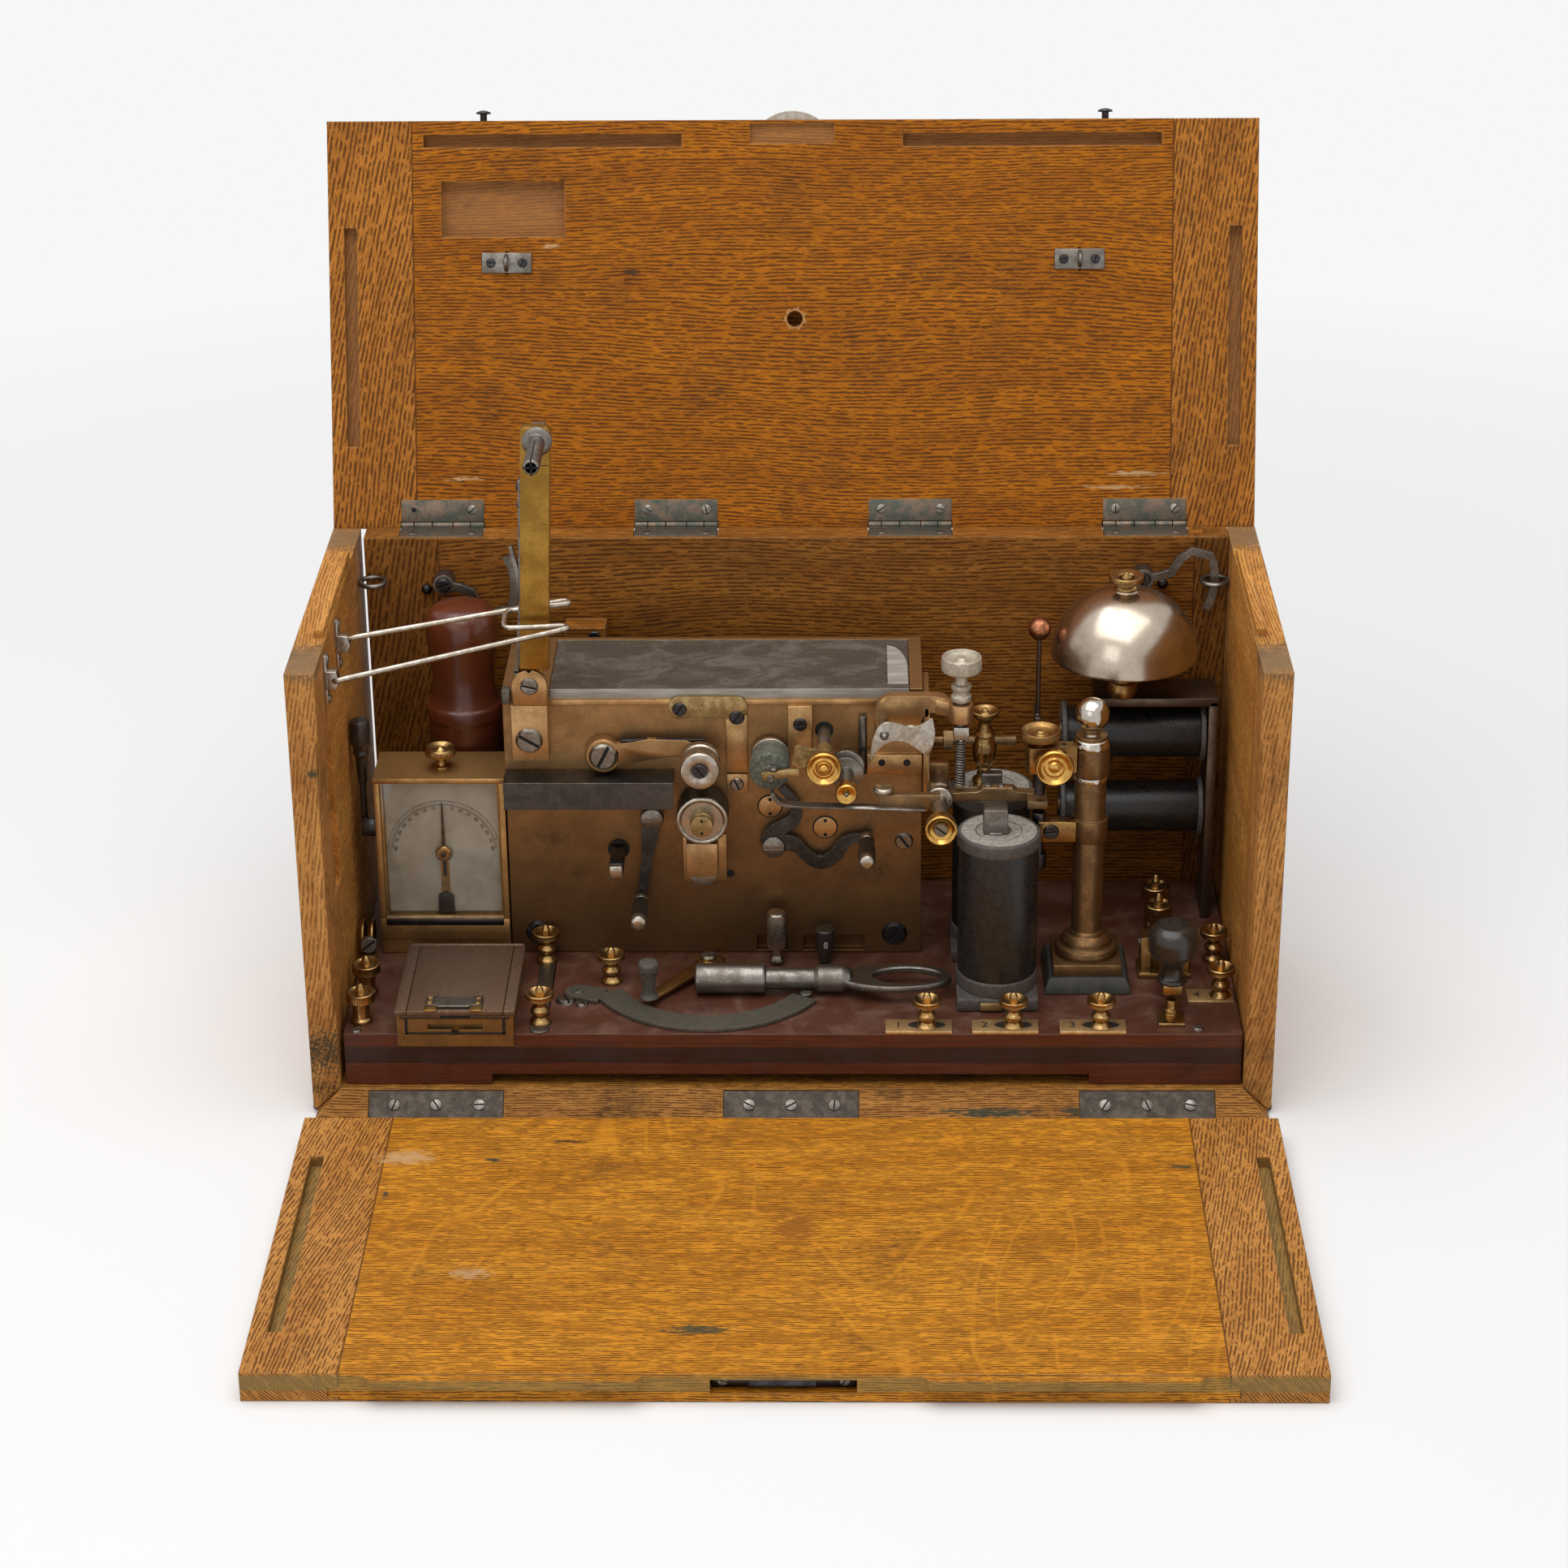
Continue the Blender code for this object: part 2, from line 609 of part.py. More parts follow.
def shifted(place, offset):
    """A place moved by an offset, both with the same axes."""
    return tuple(a + b for a, b in zip(place, offset))


def spread_from(start, ends):
    """A span given as two distances from a start."""
    return (start + ends[0], start + ends[1])


def outline_from(place, offsets):
    return [shifted(place, offset) for offset in offsets]


# Binding posts on the plinth, each as its distance from the plinth's left or right end, its depth and its height
LEFT_POSTS = (
    (0.0060, -0.0350, 0.018),
    (0.0065, -0.0600, 0.018),
    (0.0800, -0.0060, 0.018),
    (0.0814, -0.0615, 0.018),
    (0.1091, -0.0249, 0.017),
)
RIGHT_POSTS = (
    (-0.0065, -0.0386, 0.018),
    (-0.0065, -0.0048, 0.018),
    (-0.0295, 0.0260, 0.026),
    (-0.0295, 0.0080, 0.026),
    (-0.1306, -0.0655, 0.017),
    (-0.0947, -0.0655, 0.017),
    (-0.0584, -0.0655, 0.017),
)
POST_HEAD = 0.0060
POST_FOOT = 0.0046
POST_STEM = 0.0027


def post_profile(height):
    """A binding post: a foot, a waisted stem, a knurled head and a small pointed nut, sunk a little at the foot."""
    foot_share, waist_share, head_share, top_share = 0.14, 0.55, 0.80, 1.0
    tip = POST_STEM / 2
    return [
        (0, -SINK),
        (POST_FOOT, -SINK),
        (POST_FOOT, height * foot_share),
        (POST_STEM, height * foot_share),
        (POST_STEM, height * waist_share),
        (POST_HEAD, height * waist_share),
        (POST_HEAD, height * head_share),
        (tip, height * head_share),
        (tip, height * top_share),
        (0, height * top_share),
    ]


KEY_INSET = 0.0285
KEY_MIDDLE = PLINTH_RIGHT - KEY_INSET
KEY_PIVOT = (KEY_MIDDLE, -0.0150, 0.0500)
KEY_CHEEK = (0.0060, 0.0105)
KEY_CONTACT_TOP = 0.0440


def plinth():
    """The mahogany base with its feet, its binding posts, and the cheeks and the anvil of the Morse key."""
    runner_left, runner_right = 0.061, 0.063
    back_play = 0.003
    depth = (PLINTH_FRONT, BACK - BOARD - back_play)
    cheek_depth = (-0.021, -0.009)
    cheek_top = 0.0545
    anvil = ((-0.0059, 0.0053), (-0.0652, -0.0540))
    strap = ((0.0774, 0.0844), (-0.0640, -0.0040), 0.0012)
    block = slab((PLINTH_LEFT, PLINTH_RIGHT), depth, (PLINTH_FOOT, PLINTH_TOP))
    for ends in ((PLINTH_LEFT, PLINTH_LEFT + runner_left), (PLINTH_RIGHT - runner_right, PLINTH_RIGHT)):
        fuse(block, slab(ends, depth, (BOARD + GAP, PLINTH_FOOT + SINK)))
    for end, posts in ((PLINTH_LEFT, LEFT_POSTS), (PLINTH_RIGHT, RIGHT_POSTS)):
        for x, y, height in posts:
            fuse(block, turned(post_profile(height), (end + x, y, PLINTH_TOP), steps=12))
    for side in (-1, 1):
        cheek = spread_from(KEY_MIDDLE, side_span(side, *KEY_CHEEK))
        fuse(block, slab(cheek, cheek_depth, (PLINTH_TOP - SINK, cheek_top)))
    fuse(block, slab(spread_from(KEY_MIDDLE, anvil[0]), anvil[1], (PLINTH_TOP - SINK, KEY_CONTACT_TOP)))
    xs, ys, thick = strap
    fuse(block, slab(spread_from(PLINTH_LEFT, xs), ys, (PLINTH_TOP - SINK, PLINTH_TOP + thick)))
    node(block, "plinth", "mahogany")


def key_lever():
    """The sprung lever of the Morse key, with its turned knob."""
    half_width = 0.004
    levels = (0.0475, 0.0525)
    reach = (-0.0590, -0.0045)
    pin = 0.0018
    knob_y = -0.0550
    knob = [
        (0, 0),
        (0.0046, 0),
        (0.0046, 0.0085),
        (0.0064, 0.0095),
        (0.0062, 0.0130),
        (0.0105, 0.0170),
        (0.0107, 0.0230),
        (0.0088, 0.0275),
        (0, 0.0285),
    ]
    lever = slab(about(KEY_MIDDLE, half_width), reach, levels)
    fuse(lever, turned([(r, h - SINK) for r, h in knob], (KEY_MIDDLE, knob_y, levels[1])))
    ends = about(KEY_MIDDLE, KEY_CHEEK[0] - GAP)
    fuse(lever, bar((ends[0], *KEY_PIVOT[1:]), (ends[1], *KEY_PIVOT[1:]), pin, steps=16))
    node(lever, "key_lever", "black", KEY_PIVOT)


GALVANOMETER_INSET = 0.0083
GALVANOMETER_WIDTH = 0.0558
GALVANOMETER_DEPTH = 0.0272
GALVANOMETER_HEIGHT = 0.0830
GALVANOMETER_FRONT = 0.0018
GALVANOMETER_X = (PLINTH_LEFT + GALVANOMETER_INSET, PLINTH_LEFT + GALVANOMETER_INSET + GALVANOMETER_WIDTH)
GALVANOMETER_TOP = FLOOR + GALVANOMETER_HEIGHT
DIAL_MARGIN_X = 0.0025
DIAL_MARGINS_Z = (0.0162, 0.0021)
DIAL_X = (GALVANOMETER_X[0] + DIAL_MARGIN_X, GALVANOMETER_X[1] - DIAL_MARGIN_X)
DIAL_Z = (FLOOR + DIAL_MARGINS_Z[0], GALVANOMETER_TOP - DIAL_MARGINS_Z[1])
PANE = 0.0012
DIAL_DEPTH = 0.0062
NEEDLE_INSET = (0.0283, 0.0461)
NEEDLE_PIVOT = shifted((GALVANOMETER_X[0], FLOOR), NEEDLE_INSET)
SHUNT_PIVOT = (0.0100, 0.0928)


def galvanometer():
    pane_in = 0.0004
    pane_lip = 0.0010
    cock = (0.0018, 0.0016)
    knob = [(0, -SINK), (0.0038, -SINK), (0.0022, 0.0030), (0.0022, 0.0050), (0.0067, 0.0065), (0.0067, 0.0090),
            (0.0030, 0.0100), (0, 0.0105)]
    knob_inset = (0.0280, 0.0122)
    depth = (GALVANOMETER_FRONT, GALVANOMETER_FRONT + GALVANOMETER_DEPTH)
    case = slab(GALVANOMETER_X, depth, (FLOOR, GALVANOMETER_TOP))
    pane_back = GALVANOMETER_FRONT + pane_in + PANE
    dial = GALVANOMETER_FRONT + DIAL_DEPTH
    cut(case, slab(DIAL_X, (GALVANOMETER_FRONT - OVERRUN, pane_back + GAP), DIAL_Z))
    inner = (widened(DIAL_X, -pane_lip), widened(DIAL_Z, -pane_lip))
    cut(case, slab(inner[0], (GALVANOMETER_FRONT, dial), inner[1]))
    half, thick = cock
    pivot_x, pivot_z = NEEDLE_PIVOT
    fuse(case, slab(about(pivot_x, half), (dial - thick, dial + SINK), (inner[1][0] - SINK, pivot_z + half)))
    knob_place = shifted((GALVANOMETER_X[0], GALVANOMETER_FRONT), knob_inset)
    fuse(case, turned(knob, (*knob_place, GALVANOMETER_TOP)))
    node(case, "galvanometer_case", "brass")
    pane = slab(widened(DIAL_X, -GAP), (GALVANOMETER_FRONT + pane_in, pane_back), widened(DIAL_Z, -GAP))
    node(pane, "galvanometer_glass", "glass")
    hub_radius, hub_thick = 0.0030, 0.0014
    hub_back = dial - thick - GAP
    hub = turned(disc(hub_radius, hub_thick), (pivot_x, hub_back, pivot_z), "front", steps=16)
    root, tip, tail, length, tail_length, blade = 0.0009, 0.0003, 0.0006, 0.0235, 0.0110, 0.0006
    outline = [
        (pivot_x - root, pivot_z),
        (pivot_x - tail, pivot_z - tail_length),
        (pivot_x + tail, pivot_z - tail_length),
        (pivot_x + root, pivot_z),
        (pivot_x + tip, pivot_z + length),
        (pivot_x - tip, pivot_z + length),
    ]
    fuse(hub, prism(outline, "y", (hub_back - blade, hub_back)))
    node(hub, "galvanometer_needle", "black")


def shunt_lever():
    """The switch lever at the galvanometer's left side, which turns about the X axis."""
    hub_radius = 0.0042
    hub_reach = 0.0062
    lean = 0.0052
    stem = [(0, 0), (0.0015, 0), (0.0015, 0.020), (0.0024, 0.021), (0.0040, 0.038), (0.0030, 0.0385),
            (0.0030, 0.0410), (0.0042, 0.0415), (0.0042, 0.0500), (0, 0.0505)]
    y, z = SHUNT_PIVOT
    hub_x = GALVANOMETER_X[0] - GAP
    hub = turned(disc(hub_radius, hub_reach), (hub_x, y, z), "left")
    lever = turned(stem, (hub_x - lean, y, z))
    node(fuse(lever, hub), "shunt_lever", "black")


ARRESTER_INSET = 0.0227
ARRESTER_WIDTH = 0.0483
ARRESTER_X = (PLINTH_LEFT + ARRESTER_INSET, PLINTH_LEFT + ARRESTER_INSET + ARRESTER_WIDTH)
ARRESTER_HEIGHT = 0.0092
ARRESTER_TOP = FLOOR + ARRESTER_HEIGHT
ARRESTER_BACK = -0.0140
ARRESTER_PLATE = 0.0015
ARRESTER_FRONT = PLINTH_FRONT - ARRESTER_PLATE
ARRESTER_PIN_OFFSET = (0.0012, 0.0015)
ARRESTER_PIN = shifted((ARRESTER_BACK, ARRESTER_TOP), ARRESTER_PIN_OFFSET)


def arrester():
    """The lightning arrester: a box whose front plate hangs over the plinth's edge, and its hinged lid."""
    plate_foot = 0.0310
    plate_back = PLINTH_FRONT - GAP
    slot_deep = 0.0030
    slot = (0.0115, (0.0388, 0.0414))
    stem = (0.0016, (0.0360, 0.0414))
    box = slab(ARRESTER_X, (ARRESTER_FRONT, ARRESTER_BACK), (FLOOR, ARRESTER_TOP))
    fuse(box, slab(ARRESTER_X, (ARRESTER_FRONT, plate_back), (plate_foot, ARRESTER_TOP)))
    middle = sum(ARRESTER_X) / 2
    for half, zs in (slot, stem):
        cut(box, slab(about(middle, half), (ARRESTER_FRONT - OVERRUN, ARRESTER_FRONT + slot_deep), zs))
    node(box, "arrester_box", "brass")
    thick = 0.0022
    lip = 0.0008
    clip = ((0.0118, 0.0353), (-0.0680, -0.0615), 0.0015)
    pin = 0.0011
    top = ARRESTER_TOP + GAP + thick
    cover = slab(widened(ARRESTER_X, lip), (ARRESTER_FRONT - lip, ARRESTER_PIN[0] - pin / 2), (ARRESTER_TOP + GAP, top))
    xs, ys, high = clip
    fuse(cover, slab(spread_from(ARRESTER_X[0], xs), ys, (top - SINK, top + high)))
    fuse(cover, bar((ARRESTER_X[0], *ARRESTER_PIN), (ARRESTER_X[1], *ARRESTER_PIN), pin, steps=16))
    node(cover, "arrester_lid", "brass", (middle, *ARRESTER_PIN))


SWITCH_OFFSET = 0.0862
SWITCH_CENTRE = (MOVEMENT_LEFT + SWITCH_OFFSET, -0.0170)
SWITCH_RADII = (0.0410, 0.0530)
ARC_THICK = 0.0015
SWITCH_PIVOT_OFFSET = (-0.0010, 0.0040)
SWITCH_PIVOT = shifted(SWITCH_CENTRE, SWITCH_PIVOT_OFFSET)


def line_switch():
    """The curved contact plate and the arm that sweeps over it."""
    turn_from, turn_to = 205, 329
    inner, outer = SWITCH_RADII
    steps = 3 * BEND_STEPS
    outline = arc(SWITCH_CENTRE, outer, turn_from, turn_to, steps) + arc(SWITCH_CENTRE, inner, turn_to, turn_from, steps)
    plate = prism(outline, "z", (FLOOR, FLOOR + ARC_THICK))
    tail_offsets = ((-0.0555, -0.0195), (-0.0450, -0.0230))
    tail_radius = 0.0055
    tail_line = outline_from(SWITCH_CENTRE, tail_offsets)
    fuse(plate, prism(ribbon(tail_line, tail_radius), "z", (FLOOR, FLOOR + ARC_THICK)))
    fuse(plate, turned(disc(tail_radius, ARC_THICK), (*tail_line[0], FLOOR)))
    node(plate, "switch_arc", "steel")
    boss_radius = 0.0055
    arm_half = 0.0034
    arm_thick = 0.0018
    end_offset = (-0.0240, -0.0325)
    end = shifted(SWITCH_PIVOT, end_offset)
    knob = [(0, -SINK), (0.0034, -SINK), (0.0026, 0.0060), (0.0032, 0.0110), (0.0044, 0.0125), (0.0044, 0.0160),
            (0, 0.0170)]
    arm_foot = FLOOR + ARC_THICK + GAP
    arm = prism(ribbon([SWITCH_PIVOT, end], arm_half), "z", (arm_foot, arm_foot + arm_thick))
    fuse(arm, turned(disc(boss_radius, arm_foot + arm_thick + arm_thick - FLOOR), (*SWITCH_PIVOT, FLOOR)))
    fuse(arm, turned(knob, (*end, arm_foot + arm_thick)))
    node(arm, "switch_arm", "steel", (*SWITCH_PIVOT, arm_foot))


KEY_BARREL = 0.0065


def winding_key():
    """The loose key for the clockwork, lying on the plinth with its bow flat."""
    start_offset = -0.0058
    start = SWITCH_CENTRE[0] + start_offset
    y = -0.0345
    level = FLOOR + KEY_BARREL
    shank = stack((KEY_BARREL, 0.0296), (0.0046, 0.0223), (0.0060, 0.0150))
    bow_offset, bow_half_length, bow_half_width, bow_thick = 0.0843, 0.0240, 0.0110, 0.0030
    eye_offset, eye_half_length, eye_half_width = 0.0893, 0.0145, 0.0072
    socket_half, socket_depth = 0.0028, 0.015
    key = turned(shank, (start, y, level), "right")

    def oval(offset, half_length, half_width):
        return [(start + offset + half_length * c, y + half_width * s) for c, s in arc((0, 0), 1, 0, 345, 23)]

    spread = about(level, bow_thick / 2)
    fuse(key, prism(oval(bow_offset, bow_half_length, bow_half_width), "z", spread))
    cut(key, prism(oval(eye_offset, eye_half_length, eye_half_width), "z", widened(spread, OVERRUN)))
    cut(key, slab((start - OVERRUN, start + socket_depth), about(y, socket_half), about(level, socket_half)))
    node(key, "winding_key", "nickel")


CAVITY_DEPTH = 0.0540
CAVITY_FLOOR = MOVEMENT_TOP - CAVITY_DEPTH
CASE_WALL = 0.003
RIM_HEIGHT = 0.0063
CASE_LIP = 0.0020
RIM_TOP = MOVEMENT_TOP + RIM_HEIGHT
CASE_TOP = MOVEMENT_TOP + CASE_LIP
CHEEK_WIDTH = 0.0197
STEEL_WIDTH = 0.0053
RAIL_WIDTH = 0.003
CHEEK_RIGHT = MOVEMENT_LEFT + CHEEK_WIDTH
STEEL_LEFT = MOVEMENT_RIGHT - STEEL_WIDTH
MOVEMENT_BACK = MOVEMENT_FRONT + MOVEMENT_DEPTH
RAIL_FRONT = MOVEMENT_BACK - RAIL_WIDTH
SLOT_OFFSETS = ((-0.0705, -0.0575), (-0.0505, -0.0243))
SLOT_HEIGHTS = (0.0009, 0.0081)
SLOTS = tuple(spread_from(MOVEMENT_RIGHT, ends) for ends in SLOT_OFFSETS)
SLOT_LEVELS = spread_from(FLOOR, SLOT_HEIGHTS)
SLOT_IN = 0.004
# Wheels in the case: the share of the way along it, height over the cavity's floor, radius and depth from its front
WHEELS = (
    (0.162, 0.0270, 0.0200, 0.016),
    (0.417, 0.0330, 0.0150, 0.034),
    (0.610, 0.0290, 0.0110, 0.012),
    (0.761, 0.0420, 0.0090, 0.026),
    (0.906, 0.0310, 0.0120, 0.038),
)


def movement():
    """The clockwork's brass case, open at the top under a thick pane, with its wheels and governor inside."""
    case = slab((MOVEMENT_LEFT, MOVEMENT_RIGHT), (MOVEMENT_FRONT, MOVEMENT_BACK), (FLOOR, CASE_TOP))
    full_depth = (MOVEMENT_FRONT, MOVEMENT_BACK)
    fuse(case, slab((MOVEMENT_LEFT, CHEEK_RIGHT), full_depth, (CASE_TOP - OVERRUN, RIM_TOP)))
    fuse(case, slab((STEEL_LEFT, MOVEMENT_RIGHT), full_depth, (CASE_TOP - OVERRUN, RIM_TOP)))
    fuse(case, slab((MOVEMENT_LEFT, MOVEMENT_RIGHT), (RAIL_FRONT, MOVEMENT_BACK), (CASE_TOP - OVERRUN, RIM_TOP)))
    inside_x = (CHEEK_RIGHT + CASE_WALL, STEEL_LEFT - CASE_WALL)
    inside_y = (MOVEMENT_FRONT + CASE_WALL, RAIL_FRONT - CASE_WALL)
    cut(case, slab(inside_x, inside_y, (CAVITY_FLOOR, RIM_TOP + OVERRUN)))
    for ends in SLOTS:
        cut(case, slab(ends, (MOVEMENT_FRONT - OVERRUN, MOVEMENT_FRONT + SLOT_IN), SLOT_LEVELS))
    spindle = 0.0018
    wheel_thick = 0.0024
    for share, height, radius, inward in WHEELS:
        x = inside_x[0] + share * (inside_x[1] - inside_x[0])
        z = CAVITY_FLOOR + height
        ends = widened(inside_y, SINK)
        fuse(case, bar((x, ends[0], z), (x, ends[1], z), spindle, steps=12))
        fuse(case, turned(disc(radius, wheel_thick), (x, MOVEMENT_FRONT + inward, z), "back"))
    node(case, "movement_case", "brass")
    ends = (CHEEK_RIGHT + GAP, STEEL_LEFT - GAP)
    pane = slab(ends, (MOVEMENT_FRONT + GAP, RAIL_FRONT - GAP), (CASE_TOP + GAP, CASE_TOP + GAP + GLASS))
    node(pane, "movement_glass", "glass")


# Places on the movement's front as offsets across and up from its two upper corners
UPPER_LEFT = (MOVEMENT_LEFT, MOVEMENT_TOP)
UPPER_RIGHT = (MOVEMENT_RIGHT, MOVEMENT_TOP)
PLATE = MOVEMENT_FRONT - GAP
REEL_OFFSET = (0.0121, 0.0101)
REEL_PIVOT = shifted(UPPER_LEFT, REEL_OFFSET)
REEL_HEAD = 0.0073
REEL_LAP = -0.0011


def reel_carrier():
    """The bracket on the movement's front and the arm that folds on it, with the spindle for the tape reel."""
    bracket_ends = (0.0038, 0.0193)
    foot_drop, shoulder_rise = 0.0242, 0.0010
    shoulder = MOVEMENT_TOP + shoulder_rise
    front = -0.0040
    x, z = REEL_PIVOT
    head = arc(REEL_PIVOT, REEL_HEAD, 0, 180)
    outline = [(x + REEL_HEAD, shoulder)] + head + [(x - REEL_HEAD, shoulder)]
    bracket = prism(outline, "y", (front, REEL_LAP - GAP))
    bracket_x = spread_from(MOVEMENT_LEFT, bracket_ends)
    fuse(bracket, slab(bracket_x, (front, PLATE), (MOVEMENT_TOP - foot_drop, shoulder)))
    node(bracket, "reel_bracket", "brass")
    tongue_half = 0.0058
    back = MOVEMENT_FRONT - 2 * GAP
    bottom = 0.0076
    strip_half, latch_end = 0.0061, 0.0909
    line_offsets = ((0.0024, bottom), (0.0065, 0.1139))
    spindle_offset = (0.0071, 0.1084)
    start, end = outline_from(REEL_PIVOT, line_offsets)
    arm = prism(ribbon([start, end], strip_half), "y", (front, back))
    fuse(arm, turned(disc(tongue_half, back - REEL_LAP), (x, REEL_LAP, z), "back"))
    fuse(arm, slab(about(x, tongue_half), (REEL_LAP, back), (z, z + bottom + OVERRUN)))
    spindle_x, spindle_z = shifted(REEL_PIVOT, spindle_offset)
    spindle = stack((0.0062, 0.0018), (0.0033, 0.0302))
    fuse(arm, turned([(r, h - SINK) for r, h in spindle], (spindle_x, front, spindle_z), "front"))
    nut = stack((0.0055, 0.0080))
    fuse(arm, turned([(r, h - SINK) for r, h in nut], (spindle_x, back, spindle_z), "back", steps=6))
    latch_line = [(start[0] - strip_half - LEAF / 4, z + bottom), (end[0] - strip_half - LEAF, z + latch_end)]
    fuse(arm, prism(ribbon(latch_line, LEAF / 2), "y", (front, back)))
    node(arm, "reel_arm", "brass", (x, (front + back) / 2, z))




FEED_OFFSET = (0.0836, -0.0474)
FEED_ROLLER = shifted(UPPER_LEFT, FEED_OFFSET)
FEED_RADIUS = 0.0110
TABLE_DROP = 0.0305
TABLE_PLAY = 0.0009


def tape_table():
    """The bent sheet that the paper tape slides over."""
    reach, lip, thick = 0.0125, 0.0122, 0.0012
    top = MOVEMENT_TOP - TABLE_DROP
    front = -reach
    right = FEED_ROLLER[0] - FEED_RADIUS - TABLE_PLAY
    outline = [(PLATE, top), (front, top), (front, top - lip), (front + thick, top - lip),
               (front + thick, top - thick), (PLATE, top - thick)]
    node(prism(outline, "x", (MOVEMENT_LEFT + LEAF_SUNK, right)), "tape_table", "black")


PRESSURE_OFFSET = (0.0832, -0.0222)
PRESSURE_PIVOT_OFFSET = (0.0420, -0.0219)
PRESSURE_ROLLER = shifted(UPPER_LEFT, PRESSURE_OFFSET)
PRESSURE_PIVOT = shifted(UPPER_LEFT, PRESSURE_PIVOT_OFFSET)
ARM_FRONT = -0.0045
# The pressure arm's outline, from its pivot
PRESSURE_ARM = (
    (0.0052, -0.0046), (0.0192, -0.0016), (0.0312, 0.0009), (0.0382, -0.0039), (0.0442, -0.0039),
    (0.0462, 0.0019), (0.0352, 0.0074), (0.0192, 0.0079), (0.0052, 0.0057),
)


def tape_drive():
    """The driven feed roller with its bracket, and the pressure roller on its swinging arm."""
    feed = stack((0.0035, 0.0020), (FEED_RADIUS, 0.0137), (0.0050, 0.0060))
    x, z = FEED_ROLLER
    node(turned(feed, (x, PLATE, z), "front"), "feed_roller", "nickel")
    back_plate = ((-0.0090, 0.0096), (-0.0352, -0.0132), 0.0015)
    block = ((-0.0078, 0.0067), (-0.0276, -0.0116), -0.0120)
    xs, zs, thick = back_plate
    plate = slab(spread_from(x, xs), (PLATE - thick, PLATE), spread_from(z, zs))
    xs, zs, front = block
    fuse(plate, slab(spread_from(x, xs), (front, PLATE - SINK), spread_from(z, zs)))
    node(plate, "roller_bracket", "brass")
    boss, boss_length = 0.0077, 0.0075
    arm_standoff = 0.0030
    arm = prism(outline_from(PRESSURE_PIVOT, PRESSURE_ARM), "y", (ARM_FRONT, PLATE - arm_standoff))
    fuse(arm, turned(disc(boss, boss_length), (PRESSURE_PIVOT[0], PLATE, PRESSURE_PIVOT[1]), "front"))
    node(arm, "pressure_arm", "steel", (PRESSURE_PIVOT[0], ARM_FRONT, PRESSURE_PIVOT[1]))
    roller = stack((0.0035, 0.0010), (0.0083, 0.0135), (0.0026, 0.0010))
    place = (PRESSURE_ROLLER[0], ARM_FRONT - GAP, PRESSURE_ROLLER[1])
    node(turned(roller, place, "front"), "pressure_roller", "nickel")


def top_bracket():
    """The stepped brass plate above the rollers, with its strip down to a small tab."""
    wide = ((0.0697, 0.1029), (-0.0065, 0.0035), 0.0020)
    strip = ((0.0937, 0.1027), (-0.0410, -0.0040), 0.0015)
    (plate_x, plate_z, thick), (strip_x, strip_z, strip_thick) = wide, strip
    plate = slab(spread_from(MOVEMENT_LEFT, plate_x), (PLATE - thick, PLATE), spread_from(MOVEMENT_TOP, plate_z))
    fuse(plate, slab(spread_from(MOVEMENT_LEFT, strip_x), (PLATE - strip_thick, PLATE),
                     spread_from(MOVEMENT_TOP, strip_z)))
    node(plate, "top_bracket", "brass")


BRAKE_OFFSET = (0.0618, -0.0516)
CURVED_OFFSET = (-0.0630, -0.0650)
WINDING_OFFSET = (0.0471, -0.0680)
BRAKE_PIVOT = shifted(UPPER_LEFT, BRAKE_OFFSET)
CURVED_PIVOT = shifted(UPPER_RIGHT, CURVED_OFFSET)
WINDING_AXIS = shifted(UPPER_LEFT, WINDING_OFFSET)
# The middle lines of the brake lever and of the curved lever's two arms, each from its pivot
BRAKE_LINE = ((0, 0), (-0.0021, -0.0174), (-0.0055, -0.0379))
UPPER_LINE = ((0, 0), (0.0040, 0.0095), (0.0095, 0.0145), (0.0115, 0.0200), (0.0085, 0.0255), (0.0030, 0.0282))
LOWER_START = ((0, 0), (0.0060, -0.0040))
LOWER_BEND = ((0.0185, 0.0040), 0.0125)
LOWER_END = (0.0397, 0.0040)


def front_levers():
    """The brake lever, the curved lever and the square arbor that the loose key winds."""
    boss, boss_length = 0.0050, 0.0060
    thick = 0.0020
    brake_half, curved_half = 0.0024, 0.0022
    arm_back = PLATE - thick
    arm = (arm_back - thick, arm_back)
    grip = stack((0.0030, 0.0035), (0.0037, 0.0220))
    sunk_grip = [(r, h - SINK) for r, h in grip]
    x, z = BRAKE_PIVOT
    brake = turned(disc(boss, boss_length), (x, PLATE, z), "front")
    brake_line = outline_from(BRAKE_PIVOT, BRAKE_LINE)
    fuse(brake, prism(ribbon(brake_line, brake_half), "y", arm))
    fuse(brake, turned(sunk_grip, (brake_line[-1][0], arm[0], brake_line[-1][1]), "front"))
    node(brake, "brake_lever", "black")
    x, z = CURVED_PIVOT
    curved = turned(disc(boss, boss_length), (x, PLATE, z), "front")
    bend_offset, bend = LOWER_BEND
    end = shifted(CURVED_PIVOT, LOWER_END)
    upper = outline_from(CURVED_PIVOT, UPPER_LINE)
    lower = outline_from(CURVED_PIVOT, LOWER_START) + arc(shifted(CURVED_PIVOT, bend_offset), bend, 215, 350) + [end]
    for line in (upper, lower):
        fuse(curved, prism(ribbon(line, curved_half), "y", arm))
    fuse(curved, turned(sunk_grip, (end[0], arm[0], end[1]), "front"))
    node(curved, "curved_lever", "black")
    x, z = WINDING_AXIS
    collar, sleeve = 0.0030, 0.0200
    arbor = turned(stack((0.0062, collar), (0.0046, sleeve)), (x, PLATE, z), "front")
    half, depth = 0.0024, 0.0080
    end = PLATE - collar - sleeve
    cut(arbor, slab(about(x, half), (end - OVERRUN, end + depth), about(z, half)))
    node(arbor, "winding_arbor", "steel")


